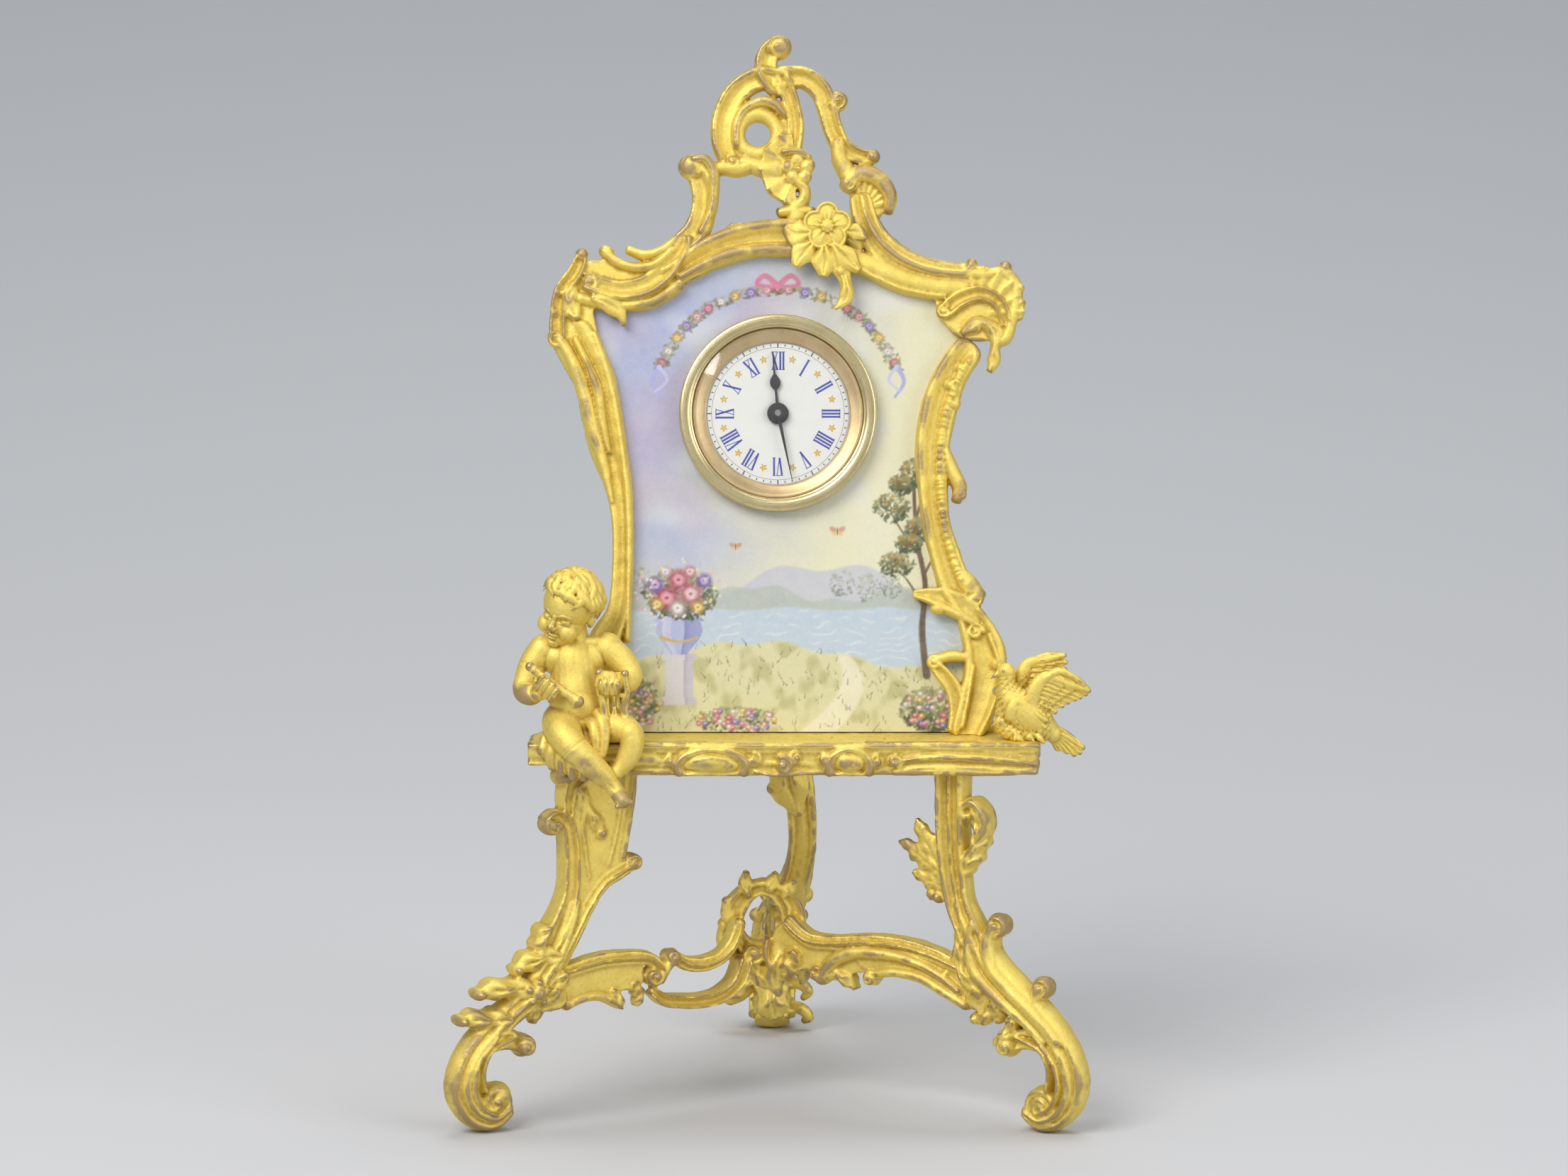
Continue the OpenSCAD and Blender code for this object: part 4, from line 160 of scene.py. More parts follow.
class Form:
    """Closed shapes gathered in the frame of the model, in millimetres."""

    def __init__(self):
        self.points, self.faces, self.count, self.base = [], [], 0, WORLD

    def on(self, base):
        """Draws in another frame from here on."""
        self.base = base
        return self

    def add(self, points, faces):
        """Adds a body whose faces are rows of one array or lists of any length."""
        origin, axes = self.base
        self.points.append(np.asarray(points, float) @ axes + origin)
        rows = faces.tolist() if isinstance(faces, np.ndarray) else faces
        self.faces += [[i + self.count for i in f] for f in rows]
        self.count += len(points)

    def slab(self, top, bottom):
        """A closed body between two grids of points of the same shape."""
        m, n = top.shape[:2]
        i = np.arange(m * n).reshape(m, n)
        upper = np.stack([i[:-1, :-1], i[1:, :-1], i[1:, 1:], i[:-1, 1:]], -1).reshape(-1, 4)
        rim = np.concatenate([i[0, :-1], i[:-1, -1], i[-1, :0:-1], i[:0:-1, 0]])
        after = np.roll(rim, -1)
        wall = np.stack([rim, after, after + m * n, rim + m * n], -1)
        self.add(np.concatenate([top.reshape(-1, 3), bottom.reshape(-1, 3)]),
                 np.concatenate([upper, upper[:, ::-1] + m * n, wall]))

    def sheet(self, ground, high, low):
        """A closed body over a grid of places, from its upper to its lower height."""
        top = np.concatenate([ground, high[..., None]], -1)
        self.slab(top, np.concatenate([ground, low[..., None]], -1))

    def bar(self, points, profile=ROLL, level=0, flat=False, notch=None, step=0.4, closed=False):
        """A moulded bar; each point is x, y, half width, half depth and, where it isn't shared, height."""
        line = smooth(levelled(points, level), step, closed)
        if closed:
            line = np.concatenate([line, line[:1]])
        way = np.gradient(line[:, :2], axis=0)
        if closed:
            way[0] = way[-1] = way[0] + way[-1]
        way = unit(way)
        if not closed:
            ends = []
            for point, out, turns in ((line[0], -way[0], BAR_END), (line[-1], way[-1], BAR_END[::-1])):
                ends.append([np.concatenate([point[:2] + out * point[2] * BAR_END_REACH * math.sin(a),
                                             point[2:4] * math.cos(a), point[4:]]) for a in turns])
            line = np.concatenate([ends[0], line, ends[1]])
            way = np.concatenate([np.repeat(way[:1], 3, 0), way, np.repeat(way[-1:], 3, 0)])
        side = beside(way)
        across, height = profile
        rise = np.repeat(height[None], len(line), 0)
        if notch is not None:
            low, high, pitch, share = notch
            run = distance_along(line)
            run = run + 0.3 * pitch * np.sin(run * 0.9 / pitch) + 0.2 * pitch * np.sin(run * 2.3 / pitch)
            cut = share * (0.5 - 0.5 * np.cos(2 * np.pi * run / pitch))[:, None]
            rise = rise * (1 - cut * ((across > low) & (across < high))[None])
        ground = line[:, None, :2] + side[:, None] * (line[:, 2, None] * across)[..., None]
        depth, middle = line[:, 3, None], line[:, 4, None]
        self.sheet(ground, middle + depth * rise, middle - depth * (np.ones_like(rise) if flat else rise))

    def leaf(self, points, lobes, level=0, flat=False, curl=0.25):
        """A leaf with a grooved midrib, side veins and a lobed edge; its points are those of a bar."""
        line = smooth(levelled(points, level), 0.3)
        run = distance_along(line)
        s = run / run[-1]
        side = beside(unit(np.gradient(line[:, :2], axis=0)))
        across = np.linspace(-1, 1, 21)
        lobe = 1 - 0.3 * np.abs(np.cos(np.pi * lobes * s)) ** 1.5
        vein = np.cos(2 * np.pi * (lobes * s[:, None] - 0.55 * np.abs(across)[None]))
        body = 1 - np.abs(across) ** 2.2
        rise = 0.3 + 0.62 * body[None] + 0.13 * vein * (np.abs(across) > 0.1)
        rise -= 0.26 * np.exp(-((across / 0.13) ** 2))[None]
        rise += curl * (np.abs(across) ** 3)[None] * np.abs(np.cos(np.pi * lobes * s))[:, None] * 0.5
        half = line[:, 2] * lobe
        ground = line[:, None, :2] + side[:, None] * (half[:, None] * across)[..., None]
        depth, middle = line[:, 3, None], line[:, 4, None]
        self.sheet(ground, middle + depth * rise,
                   middle - depth * (np.full_like(rise, FLAT_BACK) if flat else rise))

    def fan(self, x, y, near, far, first, last, ribs, level, depth, flat=False):
        """A fluted shell that opens from a point."""
        angle = np.radians(np.linspace(first, last, ribs * 8 + 1))
        u = np.linspace(0, 1, ribs * 8 + 1)
        r = np.linspace(0, 1, 12)
        rib = np.abs(np.cos(np.pi * ribs * u))
        reach = near + (far - near) * r[:, None] * (0.95 + 0.05 * (1 - rib))[None]
        ground = np.stack([x + reach * np.cos(angle), y + reach * np.sin(angle)], -1)
        rise = depth * (0.35 + 0.65 * r[:, None] ** 0.7) * (1 - 0.3 * rib[None] * r[:, None] ** 0.5)
        self.sheet(ground, level + rise,
                   level - (np.full_like(rise, depth * FLAT_BACK) if flat else rise))

    def egg(self, x, y, z, rx, ry=None, rz=None):
        count = 16
        ry, rz = ry or rx, rz or rx
        a = np.linspace(0, 2 * np.pi, count * 2, endpoint=False)
        b = np.linspace(0, np.pi, count + 1)[1:-1]
        ring = np.stack([np.sin(b)[:, None] * np.cos(a), np.sin(b)[:, None] * np.sin(a),
                         np.cos(b)[:, None] + 0 * a], -1).reshape(-1, 3)
        points = np.concatenate([ring, [[0, 0, 1], [0, 0, -1]]]) * [rx, ry, rz] + [x, y, z]
        m, n = len(b), len(a)
        i = np.arange(m * n).reshape(m, n)
        j = np.roll(i, -1, 1)
        quads = np.stack([i[:-1], i[1:], j[1:], j[:-1]], -1).reshape(-1, 4).tolist()
        caps = [[j[0, k], m * n, i[0, k]] for k in range(n)]
        caps += [[i[-1, k], m * n + 1, j[-1, k]] for k in range(n)]
        self.add(points, quads + [[int(v) for v in c] for c in caps])

    def knob(self, x, y, r, level, depth):
        self.egg(x, y, level, r, r, depth)

    def volute(self, x, y, r, level, depth, start, hand, turns=1.35):
        """A scroll end that winds in to a round eye."""
        count = 14
        s = np.linspace(0, 1, count)
        a = np.radians(start) + hand * 2 * np.pi * turns * s
        reach = r * (0.78 - 0.55 * s)
        self.bar(np.stack([x + reach * np.cos(a), y + reach * np.sin(a), r * (0.25 - 0.1 * s),
                           depth * (0.8 + 0.14 * s), np.full(count, level)], 1), step=0.25)
        self.knob(x, y, r * 0.86, level, depth * 0.62)
        self.knob(x, y, r * 0.3, level, depth * 1.02)

    def plate(self, outline, low, high, step=0.8):
        """A flat plate with a smooth outline."""
        line = smooth(outline, step, closed=True)[:, :2]
        n = len(line)
        tris = tessellate_polygon([[(x, y, 0) for x, y in line]])
        points = np.concatenate([np.c_[line, np.full(n, low)], np.c_[line, np.full(n, high)]])
        faces = [list(t) for t in tris] + [[i + n for i in t] for t in tris]
        faces += [[i, (i + 1) % n, (i + 1) % n + n, i + n] for i in range(n)]
        self.add(points, faces)

    def tube(self, points, sides=14, step=0.5):
        """A round limb; each point is x, y, z, radius."""
        line = with_round_ends(smooth(points, step, columns=3))
        way = unit(np.gradient(line[:, :3], axis=0))
        up = np.array([0.0, 0.0, 1.0]) if abs(way[0, 2]) < 0.9 else np.array([0.0, 1.0, 0.0])
        rings = []
        for p, w in zip(line, way):
            up = up - w * (up @ w)
            up /= np.linalg.norm(up) + TINY
            other = np.cross(w, up)
            a = np.linspace(0, 2 * np.pi, sides, endpoint=False)[:, None]
            rings.append(p[:3] + p[3] * (np.cos(a) * up + np.sin(a) * other))
        m = len(rings)
        i = np.arange(m * sides).reshape(m, sides)
        j = np.roll(i, -1, 1)
        quads = np.stack([i[:-1], j[:-1], j[1:], i[1:]], -1).reshape(-1, 4).tolist()
        self.add(np.concatenate(rings), quads + [i[0, ::-1].tolist(), i[-1].tolist()])

    def lathe(self, outline, segments=192):
        """A turned body about the frame's third axis; the outline is a closed list of radius and height."""
        p = np.array(outline, float)
        a = np.linspace(0, 2 * np.pi, segments, endpoint=False)
        points = np.stack([p[:, None, 0] * np.cos(a), p[:, None, 0] * np.sin(a), p[:, None, 1] + 0 * a],
                          -1)
        i = np.arange(len(p) * segments).reshape(len(p), segments)
        j = np.roll(i, -1, 1)
        self.add(points.reshape(-1, 3),
                 np.stack([i, j, np.roll(j, -1, 0), np.roll(i, -1, 0)], -1).reshape(-1, 4))

    def object(self, name):
        mesh = bpy.data.meshes.new(name)
        mesh.from_pydata(np.concatenate(self.points).tolist(), [], self.faces)
        obj = bpy.data.objects.new(name, mesh)
        scene.collection.objects.link(obj)
        return obj


def with_round_ends(line):
    """A limb's line with a half ball at each end."""
    first, last = line[1] - line[0], line[-1] - line[-2]
    first, last = first[:3] / np.linalg.norm(first[:3]), last[:3] / np.linalg.norm(last[:3])
    head = [np.r_[line[0, :3] - first * line[0, 3] * math.sin(a), line[0, 3] * math.cos(a)]
            for a in LIMB_END]
    tail = [np.r_[line[-1, :3] + last * line[-1, 3] * math.sin(a), line[-1, 3] * math.cos(a)]
            for a in LIMB_END[::-1]]
    return np.concatenate([head, line, tail])


# Meshes in numbers

def coordinates(mesh):
    out = np.empty(len(mesh.vertices) * 3)
    mesh.vertices.foreach_get("co", out)
    return out.reshape(-1, 3)


def edges_of(mesh):
    out = np.empty(len(mesh.edges) * 2, int)
    mesh.edges.foreach_get("vertices", out)
    return out.reshape(-1, 2)


def normals_of(mesh):
    out = np.empty(len(mesh.vertices) * 3)
    mesh.vertex_normals.foreach_get("vector", out)
    return out.reshape(-1, 3)


def around(values, edges, count):
    """Mean of the neighbours' values for each vertex."""
    a, b = edges[:, 0], edges[:, 1]
    n = np.bincount(a, minlength=count) + np.bincount(b, minlength=count)
    if values.ndim == 1:
        values = values[:, None]
    sums = [np.bincount(a, values[b, k], count) + np.bincount(b, values[a, k], count)
            for k in range(values.shape[1])]
    out = np.stack(sums, 1) / np.maximum(n, 1)[:, None]
    return out[:, 0] if out.shape[1] == 1 else out


def scaled(values, low, high):
    """Values that run from 0 at one percentile to 1 at another."""
    a, b = np.percentile(values, [low, high])
    return np.clip((values - a) / (b - a + TINY), 0, 1)


def store(mesh, name, values):
    mesh.attributes.new(name, "FLOAT", "POINT").data.foreach_set("value", values.astype(np.float32))


def ripple(points, wavelength, seed):
    """Smooth unevenness between about -1 and 1."""
    rng = np.random.default_rng(seed)
    total = np.zeros(len(points))
    for _ in range(9):
        way = rng.normal(size=3)
        way *= 2 * np.pi / (wavelength * rng.uniform(0.7, 1.5) * np.linalg.norm(way))
        total += np.sin(points @ way + rng.uniform(0, 6.3))
    return total / 4


# Length of the waves that casting leaves in a surface
CAST_WAVE = 3.2

# Places on the front where handling has rubbed the gilding: across, up and reach
WORN = [(2.9, 211.4, 2.6), (-2, 203.6, 2.4), (3.3, 198, 1.8), (14.3, 200.8, 2.4), (20.7, 189, 1.8),
        (-13.9, 187.1, 3.2), (3.4, 188, 2.2), (19.3, 185.3, 3.2), (24.3, 181, 2.2), (22.3, 173.5, 2.8),
        (25.6, 169, 2.8), (31, 166.3, 2.8), (37.5, 166.2, 2.6), (48, 167.4, 2.2), (45.3, 159.6, 2.8),
        (40.7, 152.7, 2.8), (33.4, 147.2, 2.2), (32.1, 138, 2.2), (32.1, 129, 2.2), (33.4, 117, 2.2),
        (41.4, 102.6, 2.8), (38.4, 122, 1.9), (-23, 161.6, 2.8), (-15.7, 165.4, 2.6), (-8, 169.8, 2.8),
        (-1, 171.6, 2.8), (4, 171.6, 2.4), (-14.8, 172.6, 2.2), (-35.7, 170.2, 1.8), (-33.9, 163.9, 2.4),
        (-40.4, 160.1, 2), (-41.2, 155, 2.2), (-34.8, 144.5, 2.2), (-35.7, 138, 2), (-34.3, 132.6, 1.8),
        (-48, 84.4, 2.8), (-36.2, 70.6, 3.4), (-28, 64.6, 2.6), (-18, 71.5, 1.8), (-4.3, 71, 1.8),
        (3.9, 70.6, 2.2), (11.6, 71, 1.8), (21.7, 71, 1.6), (27, 71, 2), (52.4, 70.4, 2.2),
        (-41.4, 58.6, 2.8), (-26.6, 50.8, 2.6), (-46.2, 24, 3.4), (-58.4, 20, 2.6), (-54.6, 25.4, 2.2),
        (-48.2, 16.2, 2.6), (-60.6, 10, 3), (-57, 2.6, 3.6), (-50.6, 3, 3), (-22.6, 27.6, 2.4),
        (-18, 31, 2), (-2.6, 29.4, 2.6), (6, 36.4, 2.4), (3, 24, 2.6), (11, 26.2, 2.4), (45.4, 40.6, 2.8),
        (54, 28.8, 2.6), (42.6, 26, 2.4), (62.2, 10.6, 2.8), (54.6, 3, 3), (40.6, 36.4, 2),
        (38.4, 58.7, 1.6), (43.4, 60.4, 2.2), (29.4, 53.6, 1.8), (34.4, 44.4, 2)]


def carve_edges(mesh, relax, uneven, seed, sculpt):
    """Softens the mesh, adds a cast surface's unevenness and stores how proud or hollow each place is."""
    edges, count = edges_of(mesh), len(mesh.vertices)
    v = coordinates(mesh)
    for _ in range(relax):
        v = v + 0.55 * (around(v, edges, count) - v)
        v = v - 0.3 * (around(v, edges, count) - v)
    mesh.vertices.foreach_set("co", v.ravel())
    mesh.update()
    n = normals_of(mesh)
    if sculpt:
        v = sculpt(v, n)
    v = v + n * (uneven * ripple(v, CAST_WAVE, seed))[:, None]
    mesh.vertices.foreach_set("co", v.ravel())
    mesh.update()
    n = normals_of(mesh)
    bend = np.einsum("ij,ij->i", v - around(v, edges, count), n)
    for _ in range(3):
        bend = 0.4 * bend + 0.6 * around(bend, edges, count)
    broad = bend.copy()
    for _ in range(14):
        broad = 0.3 * broad + 0.7 * around(broad, edges, count)
    store(mesh, "proud", scaled(bend, 60, 98))
    store(mesh, "hollow", scaled(-bend, 60, 98))
    store(mesh, "broad", scaled(broad, 50, 97))
    near = np.zeros(count)
    for x, z, reach in WORN:
        near = np.maximum(near, np.exp(-(((v[:, 0] - x) ** 2 + (v[:, 2] - z) ** 2) / (1.5 * reach) ** 2)))
    facing = np.clip(0.6 - n[:, 1], 0, 1)
    store(mesh, "worn", near * ((0.04 + 0.96 * scaled(broad, 40, 82)) * facing))


def finish_piece(obj, material, body, nodes, smooth_shade=True):
    """Brings a piece to metres, says what it is dressed in and rides on, and hides the parts of the model
    that it takes the place of.
    """
    mesh = obj.data
    mesh.transform(Matrix.Scale(MM, 4))
    mesh.materials.clear()
    mesh.materials.append(material)
    if smooth_shade:
        mesh.polygons.foreach_set("use_smooth", np.ones(len(mesh.polygons), bool))
    mesh.update()
    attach(obj, body)
    if nodes:
        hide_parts(*nodes)
    return obj


def cast(name, form, nodes, seed, voxel=0.26, relax=2, uneven=0.05, sculpt=None, trim=None):
    """Joins a form's bodies into one gilt casting."""
    raw = form.object(name + "_raw")
    modifier = raw.modifiers.new("join", "REMESH")
    modifier.mode = "VOXEL"
    modifier.voxel_size = voxel
    shape = bpy.data.meshes.new_from_object(raw.evaluated_get(bpy.context.evaluated_depsgraph_get()))
    bpy.data.objects.remove(raw)
    shape.name = name
    if trim:
        shape = cut(shape, trim)
    carve_edges(shape, relax, uneven, seed, sculpt)
    obj = bpy.data.objects.new(name, shape)
    scene.collection.objects.link(obj)
    return finish_piece(obj, GILT, "case", nodes)


def cut(mesh, planes):
    """Cuts a closed mesh by planes, each a point and the direction that is taken away, and closes it."""
    bm = bmesh.new()
    bm.from_mesh(mesh)
    for point, way in planes:
        cutting = bmesh.ops.bisect_plane(bm, geom=bm.verts[:] + bm.edges[:] + bm.faces[:], plane_co=point,
                                         plane_no=way, clear_outer=True, dist=1e-5)
        rim = [e for e in cutting["geom_cut"] if isinstance(e, bmesh.types.BMEdge)]
        bmesh.ops.triangle_fill(bm, use_beauty=False, edges=rim)
    bm.to_mesh(mesh)
    bm.free()
    return mesh


def crisp(name, form, material, nodes=(), smooth_shade=True, edge_angle=35):
    """A piece kept as drawn, with its sharp edges."""
    obj = form.object(name)
    bm = bmesh.new()
    bm.from_mesh(obj.data)
    bmesh.ops.recalc_face_normals(bm, faces=bm.faces)
    bm.to_mesh(obj.data)
    bm.free()
    obj = finish_piece(obj, material, "case", nodes, smooth_shade)
    if smooth_shade:
        obj.data.set_sharp_from_angle(angle=math.radians(edge_angle))
    return obj


# Materials

def node(tree, kind, inputs=(), **settings):
    """A shader node with its inputs set or linked."""
    made = tree.nodes.new(kind)
    for key, value in settings.items():
        setattr(made, key, value)
    for key, value in dict(inputs).items():
        socket = made.inputs[key]
        if isinstance(value, bpy.types.NodeSocket):
            tree.links.new(value, socket)
        else:
            socket.default_value = value
    return made


def blank(name, **even):
    """A material of one principled shader."""
    material = bpy.data.materials.new(name)
    material.use_nodes = True
    shader = material.node_tree.nodes["Principled BSDF"]
    for key, value in even.items():
        shader.inputs[key.replace("_", " ")].default_value = value
    return material, material.node_tree, shader


def place_of(tree, scale=1000.0):
    """Object coordinates in millimetres."""
    texture = node(tree, "ShaderNodeTexCoord")
    return node(tree, "ShaderNodeVectorMath", {0: texture.outputs["Object"], "Scale": scale},
                operation="SCALE").outputs[0]


def noise(tree, where, scale, detail, rough=0.55):
    return node(tree, "ShaderNodeTexNoise",
                {"Vector": where, "Scale": scale, "Detail": detail, "Roughness": rough}).outputs["Fac"]


def spread(tree, value, low, high, out_low=0.0, out_high=1.0):
    """A value stretched from one range to another and held inside it."""
    ranges = {"From Min": low, "From Max": high, "To Min": out_low, "To Max": out_high}
    return node(tree, "ShaderNodeMapRange", {"Value": value, **ranges}).outputs["Result"]


def mixed(tree, share, first, second):
    """A blend of two colours."""
    made = node(tree, "ShaderNodeMix", data_type="RGBA")
    for key, value in ((0, share), (6, first), (7, second)):
        socket = made.inputs[key]
        if isinstance(value, bpy.types.NodeSocket):
            tree.links.new(value, socket)
        else:
            socket.default_value = (*value, 1.0) if isinstance(value,
                                                               tuple) and len(value) == 3 else value
    return made.outputs[2]


def maths(tree, operation, first, second):
    return node(tree, "ShaderNodeMath", {0: first, 1: second}, operation=operation,
                use_clamp=True).outputs[0]


def attribute(tree, name):
    return node(tree, "ShaderNodeAttribute", attribute_name=name).outputs["Fac"]


def bump(tree, shader, height, strength, distance):
    made = node(tree, "ShaderNodeBump", {"Height": height, "Strength": strength, "Distance": distance})
    tree.links.new(made.outputs["Normal"], shader.inputs["Normal"])


# Colours of the gilding: its ground in two tones and a finer mottle, the painted shade in its hollows, and
# what is rubbed
LEMON_GOLD, DEEP_GOLD, OLD_GOLD = (0.86, 0.70, 0.20), (0.80, 0.625, 0.15), (0.68, 0.50, 0.10)
HOLLOW_SHADE_BROWN, RUBBED_BROWN = (0.42, 0.28, 0.045), (0.40, 0.285, 0.15)


def gilt_material(name):
    """Mercury gilding: matted ground, burnished and rubbed high places, painted shade in the hollows."""
    material, tree, shader = blank(name, Metallic=0.82)
    where = place_of(tree)
    cloud = spread(tree, noise(tree, where, 0.16, 4.0), 0.3, 0.7)
    fine = noise(tree, where, 1.4, 3.0)
    grain = noise(tree, where, 4.2, 2.0, 0.6)
    ground = mixed(tree, cloud, LEMON_GOLD, DEEP_GOLD)
    ground = mixed(tree, maths(tree, "MULTIPLY", spread(tree, fine, 0.45, 0.75), 0.5), ground, OLD_GOLD)
    # Painted shade: hollow places are darkened towards brown
    hollow = maths(tree, "MULTIPLY", attribute(tree, "hollow"), spread(tree, fine, 0.2, 0.65, 0.55, 1.0))
    ground = mixed(tree, maths(tree, "MULTIPLY", hollow, 0.75), ground, HOLLOW_SHADE_BROWN)
    proud = attribute(tree, "proud")
    patch = spread(tree, noise(tree, where, 0.34, 3.0), 0.38, 0.56)
    ridge = maths(tree, "MULTIPLY", attribute(tree, "broad"), spread(tree, proud, 0.1, 0.6))
    rubbed = spread(tree, maths(tree, "MULTIPLY", ridge, patch), 0.06, 0.5)
    uneven = spread(tree, noise(tree, where, 0.7, 3.0), 0.3, 0.6, 0.55, 1.0)
    worn = spread(tree, maths(tree, "MULTIPLY", attribute(tree, "worn"), uneven), 0.1, 0.42)
    bare = maths(tree, "MULTIPLY", maths(tree, "MAXIMUM", rubbed, worn), 0.85)
    tree.links.new(mixed(tree, bare, ground, RUBBED_BROWN), shader.inputs["Base Color"])
    smooth_high = spread(tree, proud, 0.2, 1.0, 0.6, 0.4)
    rough = maths(tree, "ADD", smooth_high, spread(tree, grain, 0.3, 0.7, -0.05, 0.07))
    tree.links.new(rough, shader.inputs["Roughness"])
    relief = maths(tree, "ADD", maths(tree, "MULTIPLY", grain, 0.6), maths(tree, "MULTIPLY", fine, 0.4))
    keep = spread(tree, proud, 0.0, 0.7, 1.0, 0.25)
    bump(tree, shader, maths(tree, "MULTIPLY", relief, keep), 0.55, 0.00022)
    return material


def metal_material(name, colour, second, rough):
    """Plain metal, faintly clouded."""
    material, tree, shader = blank(name, Metallic=1.0)
    where = place_of(tree)
    cloud = spread(tree, noise(tree, where, 0.35, 4.0), 0.3, 0.7)
    line = noise(tree, where, 2.0, 3.0)
    tree.links.new(mixed(tree, cloud, colour, second), shader.inputs["Base Color"])
    tree.links.new(maths(tree, "ADD", spread(tree, line, 0.3, 0.7, rough * 0.8, rough * 1.25),
                         spread(tree, cloud, 0, 1, 0, 0.06)), shader.inputs["Roughness"])
    bump(tree, shader, line, 0.35, 0.00004)
    return material


def turned_material(name, colour, second, rough, centre):
    """Brass with the fine rings that turning leaves."""
    material, tree, shader = blank(name, Metallic=1.0)
    where = place_of(tree)
    away = node(tree, "ShaderNodeVectorMath", {0: where, 1: tuple(centre)},
                operation="DISTANCE").outputs["Value"]
    ring = node(tree, "ShaderNodeTexNoise", {"W": away, "Scale": 9.0, "Detail": 3.0},
                noise_dimensions="1D").outputs["Fac"]
    cloud = spread(tree, noise(tree, where, 0.22, 4.0), 0.3, 0.7)
    speck = spread(tree, noise(tree, where, 1.1, 3.0), 0.55, 0.8)
    tint = mixed(tree, cloud, colour, second)
    tint = mixed(tree, maths(tree, "MULTIPLY", speck, 0.45), tint, tuple(c * 0.5 for c in colour))
    tree.links.new(tint, shader.inputs["Base Color"])
    tree.links.new(spread(tree, ring, 0.25, 0.75, rough * 0.7, rough * 1.4), shader.inputs["Roughness"])
    bump(tree, shader, ring, 0.3, 0.00005)
    return material


def enamel_material(name, gloss=0.12, painted=None, tint=(0.93, 0.925, 0.90)):
    """Glossy enamel, plain or with the colours painted on a mesh."""
    material, tree, shader = blank(name, Coat_Weight=0.5, Coat_Roughness=0.04, IOR=1.5)
    where = place_of(tree)
    mottle = spread(tree, noise(tree, where, 0.5, 4.0), 0.25, 0.75)
    if painted:
        base = node(tree, "ShaderNodeVertexColor", layer_name=painted).outputs["Color"]
        colour = mixed(tree, maths(tree, "MULTIPLY", mottle, 0.08), base, (0.9, 0.86, 0.78))
    else:
        colour = mixed(tree, mottle, tint, tuple(c * 0.95 for c in tint))
    tree.links.new(colour, shader.inputs["Base Color"])
    tree.links.new(spread(tree, noise(tree, where, 2.2, 2.0), 0.3, 0.7, gloss, gloss + 0.1),
                   shader.inputs["Roughness"])
    bump(tree, shader, noise(tree, where, 0.6, 3.0), 0.12, 0.0001)
    return material


def glass_material():
    """Clear glass that shines more the more it is seen from the side."""
    material = bpy.data.materials.new("clear_glass")
    material.use_nodes = True
    tree = material.node_tree
    tree.nodes.remove(tree.nodes["Principled BSDF"])
    smear = spread(tree, noise(tree, place_of(tree), 0.25, 3.0), 0.4, 0.7, 0.02, 0.07)
    gloss = node(tree, "ShaderNodeBsdfGlossy", {"Color": (1, 1, 1, 1), "Roughness": smear})
    clear = node(tree, "ShaderNodeBsdfTransparent", {"Color": (0.99, 0.99, 0.985, 1)})
    edge = node(tree, "ShaderNodeLayerWeight", {"Blend": 0.5}).outputs["Facing"]
    shine = spread(tree, maths(tree, "POWER", edge, 4.0), 0, 1, 0.035, 0.55)
    both = node(tree, "ShaderNodeMixShader", {0: shine, 1: clear.outputs[0], 2: gloss.outputs[0]})
    tree.links.new(both.outputs[0], tree.nodes["Material Output"].inputs["Surface"])
    return material


def paint_material(name, colour, second, rough=0.3, metallic=0.0):
    """Paint fired on the dial."""
    material, tree, shader = blank(name, Metallic=metallic)
    where = place_of(tree)
    cloud = spread(tree, noise(tree, where, 2.5, 3.0), 0.3, 0.7)
    tree.links.new(mixed(tree, cloud, colour, second), shader.inputs["Base Color"])
    tree.links.new(spread(tree, noise(tree, where, 5.0, 2.0), 0.3, 0.7, rough, rough + 0.15),
                   shader.inputs["Roughness"])
    bump(tree, shader, noise(tree, where, 6.0, 2.0), 0.2, 0.00002)
    return material


DIAL_CENTRE = DIAL[0]
GILT = gilt_material("gilt")
BRASS = metal_material("plain_brass", (0.70, 0.50, 0.21), (0.58, 0.38, 0.13), 0.3)
STEEL = metal_material("steel", (0.52, 0.53, 0.55), (0.40, 0.40, 0.42), 0.26)
DARK = metal_material("dark_steel", (0.06, 0.062, 0.065), (0.10, 0.095, 0.085), 0.34)
BEZEL = turned_material("bright_gilt", (0.74, 0.63, 0.36), (0.64, 0.53, 0.27), 0.27, DIAL_CENTRE)
SIGHT = turned_material("sight_gilt", (0.70, 0.54, 0.30), (0.60, 0.43, 0.22), 0.4, DIAL_CENTRE)
WHITE = enamel_material("dial_enamel", tint=(0.80, 0.80, 0.775))
GLASS = glass_material()
BLUE = paint_material("numeral_blue", (0.035, 0.055, 0.34), (0.07, 0.09, 0.42))
BLACK = paint_material("minute_black", (0.05, 0.05, 0.07), (0.10, 0.10, 0.13))
GOLD_PAINT = paint_material("mark_gold", (0.75, 0.50, 0.10), (0.62, 0.38, 0.07), 0.35, 0.4)

# Legs and stretcher

# Planes that castings are cut by: the floor and the underside of the shelf
FLOOR = ((0, 0, 0), (0, 0, -1))
SHELF_SEAT = ((0, 0, 73.55), (0, 0, 1))
